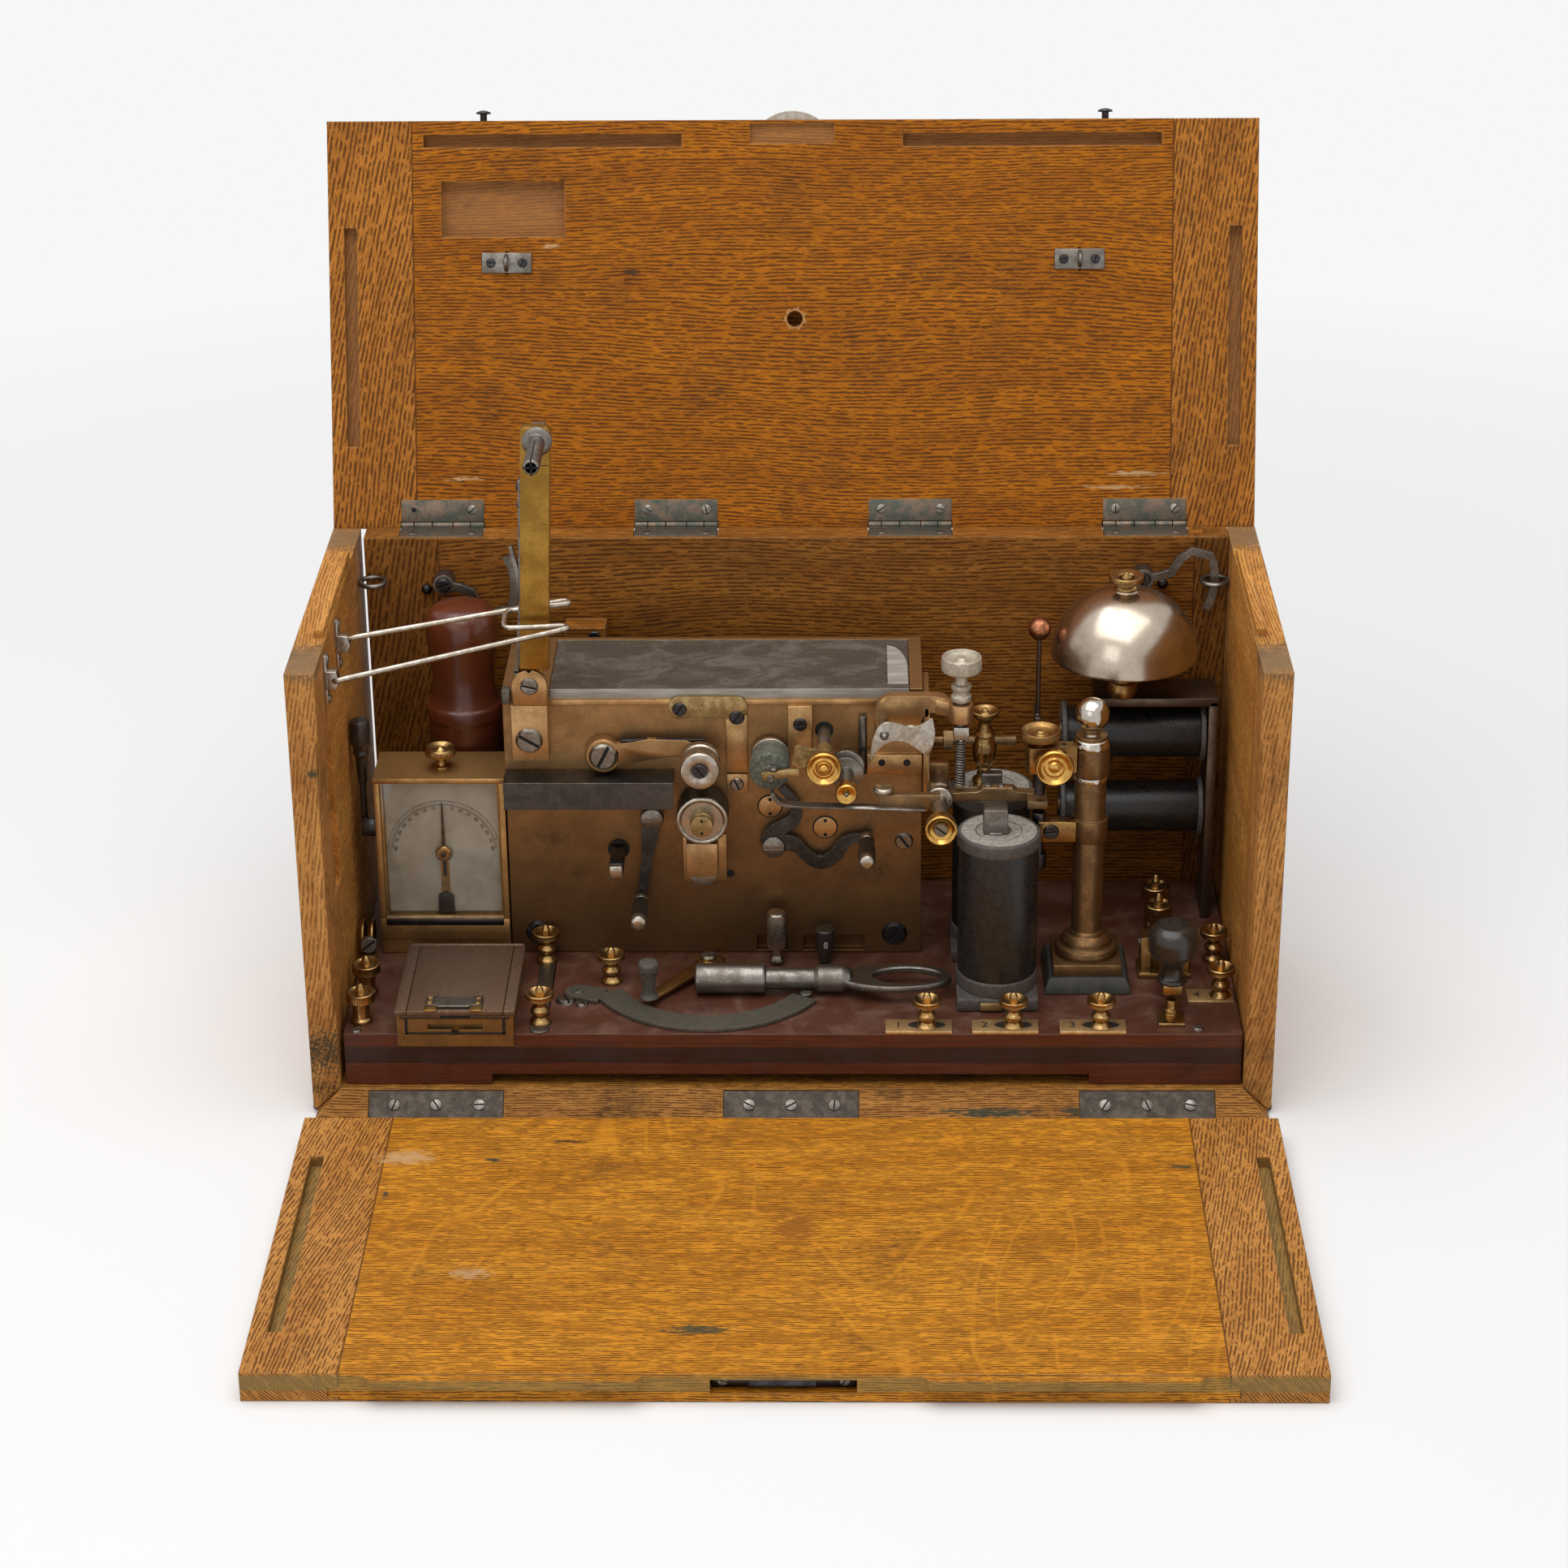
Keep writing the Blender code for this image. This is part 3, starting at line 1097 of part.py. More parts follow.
INK_ROLLER_OFFSET = (-0.0639, -0.0227)
INK_WHEEL_OFFSET = (-0.0319, -0.0234)
FEED_SHAFT_OFFSET = (-0.0412, -0.0125)


def inker():
    """The ink roller, the inking wheel's shaft and the feed shaft beside it."""
    for name, kind, offset, profile in (
        ("ink_roller", "steel", INK_ROLLER_OFFSET, stack((0.0035, 0.0017), (0.0084, 0.0185), (0.0030, 0.0020))),
        ("ink_wheel", "brass", INK_WHEEL_OFFSET,
         stack((0.0025, 0.0120), (0.0076, 0.0080), (0.0030, 0.0140), (0.0047, 0.0090))),
        ("feed_shaft", "brass", FEED_SHAFT_OFFSET, stack((0.0027, 0.0365), (0.0074, 0.0040))),
    ):
        x, z = shifted(UPPER_RIGHT, offset)
        node(turned(profile, (x, PLATE, z), "front"), name, kind)


SCREW_OFFSET = 0.0157
SCREW_AXIS = (MOVEMENT_RIGHT + SCREW_OFFSET, -0.0120)
SCREW_BORE = 0.0026
LEVER_OFFSET = (0.0070, -0.0355)
LEVER_PIVOT = shifted(UPPER_RIGHT, LEVER_OFFSET)
LEVER_SHAFT = 0.0023
LEVER_HALF = 0.0020
LEVER_LEVELS = about(LEVER_PIVOT[1], LEVER_HALF)
SIDE_PLATE_THICK = 0.0030
SIDE_PLATE = (MOVEMENT_RIGHT + GAP, MOVEMENT_RIGHT + SIDE_PLATE_THICK)
COLUMN_INSET = 0.0622
COLUMN = (PLINTH_RIGHT - COLUMN_INSET, -0.0188)
STOP_OFFSET = (-0.0213, -0.0027)
STOP_AXIS = shifted(COLUMN, STOP_OFFSET)
# The curved plate over the bracket, from the movement's upper right corner
CRESCENT = (
    (-0.0200, -0.0030), (-0.0150, 0.0040), (-0.0070, 0.0072), (0.0020, 0.0060), (0.0090, 0.0035),
    (0.0210, 0.0065), (0.0210, -0.0015), (0.0050, -0.0060), (-0.0070, -0.0050), (-0.0130, -0.0100),
)


def screw_bracket():
    """The bracket on the movement's right end that carries the adjusting screw and the printing lever's shaft."""
    x, y = SCREW_AXIS
    boss, boss_length = 0.0050, 0.0080
    boss_drop = 0.0020
    plate_depth, plate_levels = (-0.0080, 0.0300), (-0.0460, 0.0020)
    crescent_depth = (-0.0080, -0.0050)
    tab_width, tab_front, tab_levels = 0.0200, -0.0060, (-0.0250, -0.0060)
    lug_y, lug_half, lug_reach = (0.0060, 0.0100), 0.0055, 0.0045
    boss_foot = MOVEMENT_TOP - boss_drop
    boss_levels = (boss_foot, boss_foot + boss_length)
    plate = slab(SIDE_PLATE, plate_depth, spread_from(MOVEMENT_TOP, plate_levels))
    fuse(plate, prism(outline_from(UPPER_RIGHT, CRESCENT), "y", crescent_depth))
    fuse(plate, slab((MOVEMENT_RIGHT - tab_width, MOVEMENT_RIGHT), (tab_front, PLATE),
                     spread_from(MOVEMENT_TOP, tab_levels)))
    fuse(plate, turned(disc(boss, boss_length), (x, y, boss_foot)))
    fuse(plate, slab(about(x, boss - SINK), (y, tab_front), widened(boss_levels, -SINK)))
    fuse(plate, slab((SIDE_PLATE[1] - SINK, LEVER_PIVOT[0] + lug_reach), lug_y, about(LEVER_PIVOT[1], lug_half)))
    cut(plate, turned(disc(SCREW_BORE, boss_length + 2 * OVERRUN, -OVERRUN), (x, y, boss_foot)))
    bore = LEVER_SHAFT + GAP
    ends = widened(lug_y, OVERRUN)
    cut(plate, bar((LEVER_PIVOT[0], ends[0], LEVER_PIVOT[1]), (LEVER_PIVOT[0], ends[1], LEVER_PIVOT[1]), bore))
    node(plate, "screw_bracket", "brass")
    screw_drop = 0.0100
    screw = stack((SCREW_BORE - GAP, 0.0175), (0.0043, 0.0030), (0.0034, 0.0020), (0.0043, 0.0030), (0.0026, 0.0050),
                  (0.0084, 0.0070))
    node(turned(screw, (x, y, MOVEMENT_TOP - screw_drop)), "adjusting_screw", "nickel")


def printing_lever():
    """The lever that the magnets pull, on its own cross shaft, with its armature bar and the blade that prints."""
    x, z = LEVER_PIVOT
    reach = 0.0100
    shaft = stack((LEVER_SHAFT, 0.0260), (0.0058, 0.0030), (LEVER_SHAFT, 0.0260), (0.0067, 0.0040))
    stop_x, stop_y = STOP_AXIS
    arm_past, arm_depth = 0.0019, (-0.0155, -0.0115)
    pad, pad_front, pad_back = (-0.0045, 0.0040), 0.0025, -0.0125
    blade_arm_end, blade_arm_depth = -0.0185, (-0.0240, -0.0200)
    blade, blade_depth, blade_levels = (-0.0630, -0.0150), (-0.0265, -0.0215), (-0.0010, 0.0002)
    lever = turned(shaft, (x, reach, z), "front")
    fuse(lever, slab((x - SINK, stop_x + arm_past), arm_depth, LEVER_LEVELS))
    fuse(lever, slab(spread_from(stop_x, pad), (stop_y - pad_front, pad_back), widened(LEVER_LEVELS, -SINK)))
    fuse(lever, slab((MOVEMENT_RIGHT + blade_arm_end, x + SINK), blade_arm_depth, LEVER_LEVELS))
    fuse(lever, slab(spread_from(MOVEMENT_RIGHT, blade), blade_depth, spread_from(z, blade_levels)))
    node(lever, "printing_lever", "steel")


COIL_INSETS = (0.1007, 0.1020)
FRONT_COIL = (PLINTH_RIGHT - COIL_INSETS[0], -0.0350)
REAR_COIL = (PLINTH_RIGHT - COIL_INSETS[1], 0.0095)
COIL_BASE = 0.0060
COIL_DROP = 0.0061
COIL_TOP = LEVER_PIVOT[1] - COIL_DROP


def coils():
    """The two upright magnet coils, each on a square base."""
    flange, body, flange_thick = 0.0174, 0.0166, 0.0060
    half = 0.0170
    pole_inset, pole_half_width, pole_half_depth, pole_height = 0.0010, 0.0052, 0.0045, 0.0111
    for name, (x, y) in (("coil_front", FRONT_COIL), ("coil_rear", REAR_COIL)):
        base = slab(about(x, half), about(y, half), (FLOOR, FLOOR + COIL_BASE))
        foot = FLOOR + COIL_BASE - SINK
        height = COIL_TOP - foot - 2 * flange_thick
        winding = stack((flange, flange_thick), (body, height), (flange, flange_thick))
        fuse(base, turned(winding, (x, y, foot), steps=FINE_FACETS))
        if name == "coil_front":
            fuse(base, slab(about(x - pole_inset, pole_half_width), about(y, pole_half_depth),
                            (COIL_TOP - SINK, COIL_TOP + pole_height)))
        node(base, name, "black")


def baluster_post():
    """The turned post on the rear coil, with the rod that ties it to the movement."""
    post_offset, rod_height, rod_past, rod = (-0.0035, -0.0005), 0.0211, 0.0135, 0.0021
    x, y = shifted(REAR_COIL, post_offset)
    level = COIL_TOP + rod_height
    foot = COIL_TOP + GAP
    profile = [(0, 0), (0.0050, 0), (0.0050, 0.0040), (0.0028, 0.0060), (0.0052, 0.0140), (0.0052, 0.0200),
               (0.0026, 0.0270), (0.0026, 0.0300), (0.0061, 0.0320), (0.0061, 0.0345), (0.0030, 0.0355),
               (0, 0.0360)]
    post = turned(profile, (x, y, foot))
    fuse(post, bar((SIDE_PLATE[1] + GAP, y, level), (x + rod_past, y, level), rod, steps=16))
    node(post, "baluster_post", "brass")


def contact_column():
    """The brass column whose two arms hold the stops of the printing lever, and the upper stop screw."""
    x, y = COLUMN
    foot_half, foot_height = 0.0180, 0.0067
    block_half, block_height = 0.0145, 0.0050
    shaft = 0.0066
    foot_top = FLOOR + foot_height
    block_top = foot_top + block_height
    column = slab(about(x, foot_half), about(y, foot_half), (FLOOR, foot_top))
    fuse(column, slab(about(x, block_half), about(y, block_half), (foot_top - SINK, block_top)))
    profile = [(0, 0), (0.0135, 0), (0.0135, 0.0042), (0.0090, 0.0060), (0.0075, 0.0100), (shaft, 0.0110),
               (shaft, 0.0495), (0.0077, 0.0500), (0.0077, 0.0635), (shaft, 0.0640), (shaft, 0.0805),
               (0.0077, 0.0810), (0.0077, 0.0965), (shaft, 0.0970), (0.0060, 0.1000), (0.0035, 0.1010),
               (0.0035, 0.1030)]
    ball_middle, ball = 0.1098, 0.0072
    sphere = [(ball * math.sin(math.radians(a)), ball_middle - ball * math.cos(math.radians(a)))
              for a in range(30, 180, 15)]
    fuse(column, turned(profile + sphere + [(0, ball_middle + ball)], (x, y, block_top - SINK)))
    arm_half = 0.0036
    arm_depth = about(STOP_AXIS[1], arm_half)
    upper_arm, lower_arm = (-0.0060, (0.0160, 0.0270)), (-0.0019, (-0.0170, -0.0075))
    level = LEVER_PIVOT[1]
    for end, zs in (upper_arm, lower_arm):
        fuse(column, slab((STOP_AXIS[0] + end, x - shaft / 2), arm_depth, spread_from(level, zs)))
    lower_stop = stack((0.0037, 0.0070), (0.0020, 0.0188))
    stop_drop = 0.0295
    fuse(column, turned(lower_stop, (*STOP_AXIS, level - stop_drop)))
    lock_knob = stack((0.0030, 0.0060), (0.0080, 0.0050))
    knob_offset = (0.0046, 0.0220)
    knob_x, knob_z = shifted((STOP_AXIS[0], level), knob_offset)
    fuse(column, turned(lock_knob, (knob_x, arm_depth[0] + SINK, knob_z), "front"))
    stop_shank, stop_rise = 0.0020, 0.0040
    arm_foot, arm_top = spread_from(level, upper_arm[1])
    cut(column, turned(disc(stop_shank + GAP, arm_top - arm_foot + 2 * OVERRUN, -OVERRUN), (*STOP_AXIS, arm_foot)))
    node(column, "contact_column", "brass")
    screw = stack((stop_shank, 0.0240), (0.0085, 0.0060))
    node(turned(screw, (*STOP_AXIS, level + stop_rise)), "upper_stop_screw", "brass")


GONG_INSET = 0.0453
GONG_DROP = 0.0400
GONG = (PLINTH_RIGHT - GONG_INSET, 0.0400)
GONG_RIM = CASE_HEIGHT - GONG_DROP
GONG_RADIUS = 0.0313
GONG_STUD = 0.0030
BELL_DEPTH = (0.0340, 0.0560)
BELL_COIL_Y = 0.0450


def bell():
    """The electric bell: a steel frame with two level coils, a gong on its post, and a hammer."""
    x, y = GONG
    bar_drops = (-0.0225, -0.0185)
    bar_ends, upright = (-0.0127, 0.0407), 0.0358
    coil_drops = (0.0160, 0.0515)
    coil_start, pole_start = -0.0257, -0.0237
    coil = stack((0.0132, 0.0020), (0.0112, 0.0580), (0.0132, 0.0020))
    pole = stack((0.0050, 0.0600))
    top = spread_from(GONG_RIM, bar_drops)
    frame = slab(spread_from(x, bar_ends), BELL_DEPTH, top)
    fuse(frame, slab((x + upright, x + bar_ends[1]), BELL_DEPTH, (FLOOR, top[1])))
    for start, profile in ((coil_start, coil), (pole_start, pole)):
        for drop in coil_drops:
            fuse(frame, turned(profile, (x + start, BELL_COIL_Y, top[0] - drop), "right"))
    shell = 0.0016
    crown = 0.0290
    collar, collar_height, neck, stud_length = 0.0066, 0.0170, 0.0044, 0.0085
    shoulder = GONG_RIM + crown - shell - 2 * GAP - (top[1] - SINK)
    post = stack((collar, collar_height), (neck, shoulder - collar_height), (GONG_STUD, stud_length))
    fuse(frame, turned(post, (x, y, top[1] - SINK)))
    node(frame, "bell_frame", "black")
    steps = range(0, 91, 15)
    outer = [(GONG_RADIUS * math.cos(math.radians(a)), crown * math.sin(math.radians(a))) for a in steps]
    inner = [((GONG_RADIUS - shell) * math.cos(math.radians(a)), (crown - shell) * math.sin(math.radians(a)))
             for a in steps]
    bore = GONG_STUD + GAP
    profile = [p for p in reversed(inner) if p[0] > bore] + [p for p in outer if p[0] > bore]
    nut = [(0.0074, crown), (0.0074, 0.0345), (0.0035, 0.0350), (0.0035, 0.0375), (bore, 0.0375)]
    closed = [(bore, crown - shell)] + profile + nut + [(bore, crown - shell)]
    node(turned(closed, (x, y, GONG_RIM), steps=FINE_FACETS), "gong", "nickel")
    bell_hammer()


def bell_hammer():
    """The armature on its flat spring, with the wire that carries the copper ball."""
    armature_offset = -0.0363
    x, y = GONG[0] + armature_offset, GONG[1]
    half, depth, levels = 0.0012, (-0.0050, 0.0120), (0.0417, 0.0957)
    spring_half, spring_half_depth, spring_top = 0.0008, 0.0030, 0.0437
    wire_levels, wire_radius = (0.0937, 0.1327), 0.0010
    ball, ball_level = 0.0052, 0.1352
    armature = slab(about(x, half), spread_from(y, depth), spread_from(FLOOR, levels))
    fuse(armature, slab(about(x, spring_half), about(y, spring_half_depth), (FLOOR, FLOOR + spring_top)))
    wire_foot, wire_top = spread_from(FLOOR, wire_levels)
    fuse(armature, bar((x, y, wire_foot), (x, y, wire_top), wire_radius, steps=12))
    sphere = [(0, -ball)] + [(ball * math.sin(math.radians(a)), -ball * math.cos(math.radians(a)))
                             for a in range(20, 180, 20)] + [(0, ball)]
    fuse(armature, turned(sphere, (x, y, FLOOR + ball_level)))
    node(armature, "bell_hammer", "copper", (x, y, FLOOR))


SLOT_PLAY_UP = 0.0023


def slot_levers():
    """The two knobs whose stems slide in the slots at the foot of the movement."""
    stem_front, stem_in = -0.0080, 0.0025
    stem_y = (stem_front, MOVEMENT_FRONT + stem_in)
    stem_half = 0.0020
    stem_levels = (SLOT_LEVELS[0] + GAP, SLOT_LEVELS[1] - SLOT_PLAY_UP)
    for name, ends, along, kind, profile in (
        ("start_lever", SLOTS[0], 0.0086, "nickel", stack((0.0026, 0.0065), (0.0042, 0.0170))),
        ("setting_lever", SLOTS[1], 0.0092, "black", stack((0.0032, 0.0050), (0.0044, 0.0100))),
    ):
        x = ends[0] + along
        lever = slab(about(x, stem_half), stem_y, stem_levels)
        fuse(lever, turned(profile, (x, stem_y[0], stem_levels[0])))
        node(lever, name, kind, (x, stem_y[0], stem_levels[0]))


WOODEN_CASE_INSET = 0.0440


def wooden_case():
    """The turned mahogany case that stands behind the galvanometer."""
    y = 0.0470
    profile = [(0, 0), (0.0160, 0), (0.0160, 0.0930), (0.0166, 0.0940), (0.0166, 0.0990), (0.0150, 0.1000),
               (0.0138, 0.1040), (0.0128, 0.1110), (0.0136, 0.1190), (0.0153, 0.1270), (0.0157, 0.1330),
               (0.0150, 0.1385), (0.0120, 0.1425), (0.0070, 0.1445), (0, 0.1450)]
    node(turned(profile, (PLINTH_LEFT + WOODEN_CASE_INSET, y, FLOOR), steps=FINE_FACETS), "wooden_case", "mahogany")


def build():
    clear_scene()
    for make in (
        base_board, corner_hinges, left_wall, right_wall, back_wall, lid_hinges, lid, lid_disc, front_flap, hooks,
        wire_bail, plinth, key_lever, galvanometer, shunt_lever, arrester, line_switch, winding_key, movement,
        reel_carrier, tape_table, tape_drive, top_bracket, front_levers, inker, screw_bracket, printing_lever,
        coils, baluster_post, contact_column, bell, slot_levers, wooden_case,
    ):
        make()


build()
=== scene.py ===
"""The looks of a portable ink-writing field telegraph in its fold-out oak case, piece by piece.

Lengths are metres, +Z is up, +X is right and -Y is the front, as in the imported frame.
"""

import math

import bmesh
import bpy
from mathutils import Matrix, Vector


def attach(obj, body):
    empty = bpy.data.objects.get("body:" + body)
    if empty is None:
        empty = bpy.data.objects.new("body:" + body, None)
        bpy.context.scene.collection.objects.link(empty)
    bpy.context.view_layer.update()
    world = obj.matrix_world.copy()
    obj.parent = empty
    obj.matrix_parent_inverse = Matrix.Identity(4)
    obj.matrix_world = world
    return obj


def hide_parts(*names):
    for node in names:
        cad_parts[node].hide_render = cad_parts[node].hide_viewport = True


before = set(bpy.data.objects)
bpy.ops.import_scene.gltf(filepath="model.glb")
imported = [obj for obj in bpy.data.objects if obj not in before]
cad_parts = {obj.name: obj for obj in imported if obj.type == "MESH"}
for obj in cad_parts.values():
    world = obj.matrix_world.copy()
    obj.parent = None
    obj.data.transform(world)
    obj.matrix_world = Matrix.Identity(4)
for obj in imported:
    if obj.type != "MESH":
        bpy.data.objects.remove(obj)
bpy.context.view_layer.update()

# Camera: a long lens that looks down at the open case from the front, a little left of square.
# Its place and length follow from where the case's corners stand in the picture.
camera = bpy.data.objects.new("camera", bpy.data.cameras.new("camera"))
camera.data.lens = 86.03
camera.data.sensor_width = 36
camera.data.clip_end = 20
view_right = Vector((0.9998464, 0.0154906, -0.0082001))
view_back = Vector((0.017506, -0.905623, 0.423722))
view_up = view_back.cross(view_right)
camera.matrix_world = Matrix(((view_right.x, view_up.x, view_back.x, 0.024444),
    (view_right.y, view_up.y, view_back.y, -1.434481), (view_right.z, view_up.z, view_back.z, 0.788478),
    (0, 0, 0, 1)))
bpy.context.scene.collection.objects.link(camera)
bpy.context.scene.camera = camera
bpy.context.scene.view_settings.view_transform = "Standard"


# Backdrop: a wide sheet of white paper on the table, and an even white room round it.
# The room is lit softly, and its own white shows to the eye, to polished metal and through glass.
def put(tree, kind, *inputs, **settings):
    """One node with its settings, and with each input given as (place, value or socket)."""
    made = tree.nodes.new(kind)
    for name, value in settings.items():
        setattr(made, name, value)
    for place, value in inputs:
        if isinstance(value, bpy.types.NodeSocket):
            tree.links.new(value, made.inputs[place])
        else:
            made.inputs[place].default_value = value
    return made


def finish_of(name):
    """A new material with its node tree and its Principled shader."""
    made = bpy.data.materials.new(name)
    made.use_nodes = True
    return made, made.node_tree, made.node_tree.nodes["Principled BSDF"]


paper, tree, shader = finish_of("white_paper")
paper_white = (0.93, 0.93, 0.93, 1)
shader.inputs["Base Color"].default_value = paper_white
shader.inputs["Roughness"].default_value = 0.9
shader.inputs["Specular IOR Level"].default_value = 0.1
spot = put(tree, "ShaderNodeTexCoord").outputs["Object"]
away = put(tree, "ShaderNodeVectorMath", (0, spot), operation="LENGTH").outputs["Value"]
far = put(tree, "ShaderNodeMapRange", ("Value", away), ("From Min", 0.5), ("From Max", 1.1)).outputs[0]
glow = put(tree, "ShaderNodeEmission", ("Color", paper_white))
blend = put(tree, "ShaderNodeMixShader", (0, far), (1, shader.outputs[0]), (2, glow.outputs[0]))
tree.links.new(blend.outputs[0], tree.nodes["Material Output"].inputs["Surface"])
sheet_half, sheet_drop = 8.0, 0.0003
mesh = bpy.data.meshes.new("floor")
mesh.from_pydata([(x * sheet_half, y * sheet_half, -sheet_drop)
    for x, y in ((-1, -1), (1, -1), (1, 1), (-1, 1))], [], [(0, 1, 2, 3)])
mesh.materials.append(paper)
floor = bpy.data.objects.new("floor", mesh)
bpy.context.scene.collection.objects.link(floor)

room = bpy.data.worlds.new("white_room")
room.use_nodes = True
bpy.context.scene.world = room
tree = room.node_tree
room_light, room_white = 0.34, 0.93
seen = put(tree, "ShaderNodeLightPath")
direct = put(tree, "ShaderNodeMath", (0, seen.outputs["Is Camera Ray"]), (1, seen.outputs["Is Glossy Ray"]),
    operation="MAXIMUM")
direct = put(tree, "ShaderNodeMath", (0, direct.outputs[0]), (1, seen.outputs["Is Transmission Ray"]),
    operation="MAXIMUM")
level = put(tree, "ShaderNodeMapRange", ("Value", direct.outputs[0]), ("To Min", room_light),
    ("To Max", room_white))
tree.links.new(level.outputs[0], tree.nodes["Background"].inputs["Strength"])
tree.nodes["Background"].inputs["Color"].default_value = (1, 1, 1, 1)

for name, size, place, aim, power in (("overhead_softbox", 2.6, (-0.2, -0.35, 2.4), (0, 0, 0.05), 54),
        ("front_softbox", 1.0, (-0.8, -1.9, 1.1), (0, 0, 0.15), 3)):
    lamp = bpy.data.lights.new(name, "AREA")
    lamp.size = size
    lamp.energy = power
    made = bpy.data.objects.new(name, lamp)
    made.location = place
    made.rotation_euler = (Vector(aim) - Vector(place)).to_track_quat("-Z", "Y").to_euler()
    bpy.context.scene.collection.objects.link(made)


# Case boards: six boards of plain-sawn oak, 12 mm thick, with cleated ends and rounded edges.
# The oak is varnished and a century old: honey brown, its open pores filled dark, rubbed at the corners.
def home_of(*values):
    """The node tree that the first socket among the values is in."""
    return next(value.id_data for value in values if isinstance(value, bpy.types.NodeSocket))


def maths(operation, *values):
    """The result of one Math node on sockets or numbers."""
    return put(home_of(*values), "ShaderNodeMath", *enumerate(values), operation=operation).outputs[0]


def fade(value, low, high, start=0.0, end=1.0):
    """A smooth change from one value to another as the input goes from low to high."""
    made = put(value.id_data, "ShaderNodeMapRange", ("Value", value), ("From Min", low), ("From Max", high),
        ("To Min", start), ("To Max", end), interpolation_type="SMOOTHSTEP")
    return made.outputs[0]


def tint(share, first, second):
    """Two colours mixed by a share."""
    made = put(home_of(share, first, second), "ShaderNodeMix", (0, share), (6, first), (7, second),
        data_type="RGBA")
    return made.outputs[2]


def stretched(vector, along, across, through=None):
    """A vector scaled by its own amount on each axis."""
    scale = (along, across, across if through is None else through)
    return put(vector.id_data, "ShaderNodeVectorMath", (0, vector), (1, scale),
        operation="MULTIPLY").outputs[0]


def noise(vector, scale=1.0, detail=2.0, rough=0.5, warp=0.0):
    """The grey value of a noise."""
    made = put(vector.id_data, "ShaderNodeTexNoise", ("Vector", vector), ("Scale", scale), ("Detail", detail),
        ("Roughness", rough), ("Distortion", warp))
    return made.outputs["Fac"]


def shader_group(name, takes, gives):
    """An empty shader group with named sockets, its inner input node and its output node."""
    group = bpy.data.node_groups.new(name, "ShaderNodeTree")
    for label, kind, value in takes:
        socket = group.interface.new_socket(label, in_out="INPUT", socket_type=kind)
        if value is not None:
            socket.default_value = value
    for label, kind in gives:
        group.interface.new_socket(label, in_out="OUTPUT", socket_type=kind)
    return group, group.nodes.new("NodeGroupInput").outputs, group.nodes.new("NodeGroupOutput").inputs


def join(source, target):
    """A link from one socket to another."""
    source.id_data.links.new(source, target)


FLOAT, COLOUR, VECTOR = "NodeSocketFloat", "NodeSocketColor", "NodeSocketVector"

oak_grain, given, out = shader_group("oak_grain",
    [("Vector", VECTOR, None), ("Light", COLOUR, (0.55, 0.22, 0.04, 1)),
    ("Middle", COLOUR, (0.42, 0.15, 0.02, 1)), ("Dark", COLOUR, (0.1, 0.035, 0.008, 1)), ("Row", FLOAT, 1.5),
    ("Dash", FLOAT, 8.0), ("Sway", FLOAT, 18.0), ("Pores", FLOAT, 0.7), ("Figure", FLOAT, 0.0)],
    [("Color", COLOUR), ("Height", FLOAT), ("Roughness", FLOAT)])
tree = oak_grain
millimetres = stretched(given["Vector"], 1000, 1000)
split = put(tree, "ShaderNodeSeparateXYZ", (0, millimetres)).outputs
slow = maths("SUBTRACT", noise(stretched(millimetres, 0.0045, 0.008), 1, 1), 0.5)
quick = maths("SUBTRACT", noise(stretched(millimetres, 0.022, 0.1), 1, 2), 0.5)
across = maths("ADD", maths("ADD", split[1], split[2]),
    maths("ADD", maths("MULTIPLY", slow, given["Sway"]), maths("MULTIPLY", quick, 3.2)))
row = maths("DIVIDE", across, given["Row"])
off_middle = maths("ABSOLUTE", maths("SUBTRACT", maths("FRACT", row), 0.5))
band = fade(off_middle, 0.1, 0.36, 1.0, 0.0)
gate_spot = put(tree, "ShaderNodeCombineXYZ", (0, maths("DIVIDE", split[0], given["Dash"])),
    (1, maths("MULTIPLY", row, 0.9)), (2, maths("MULTIPLY", split[2], 0.2))).outputs[0]
gate = fade(noise(gate_spot, 1, 2, 0.6), 0.4, 0.52)
flow = put(tree, "ShaderNodeCombineXYZ", (0, split[0]), (1, across), (2, split[2])).outputs[0]
hairs = fade(noise(stretched(flow, 0.3, 2.6), 1, 1, 0.5), 0.5, 0.66, 0.0, 0.55)
pores = maths("MINIMUM", maths("ADD", maths("MULTIPLY", band, gate), hairs), 1.0)
flame = noise(stretched(millimetres, 0.016, 0.006), 1, 1, 0.4, 0.3)
ribbons = maths("ABSOLUTE", maths("SUBTRACT", maths("FRACT", maths("MULTIPLY", flame, 8.0)), 0.5))
patches = fade(noise(stretched(millimetres, 0.016, 0.03), 1, 2), 0.44, 0.58)
flakes = maths("MULTIPLY", fade(ribbons, 0.02, 0.09, 1.0, 0.0), patches)
flakes = maths("MULTIPLY", flakes, given["Figure"])
pores = maths("MULTIPLY", pores, maths("SUBTRACT", 1.0, flakes))
tone = noise(stretched(flow, 0.012, 0.09), 1, 5, 0.65)
base = tint(fade(tone, 0.34, 0.66), given["Middle"], given["Light"])
base = tint(maths("MULTIPLY", flakes, 0.8), base, given["Light"])
join(tint(maths("MULTIPLY", pores, given["Pores"]), base, given["Dark"]), out["Color"])
join(maths("SUBTRACT", 1.0, pores), out["Height"])
join(maths("ADD", 0.46, maths("MULTIPLY", pores, 0.22)), out["Roughness"])

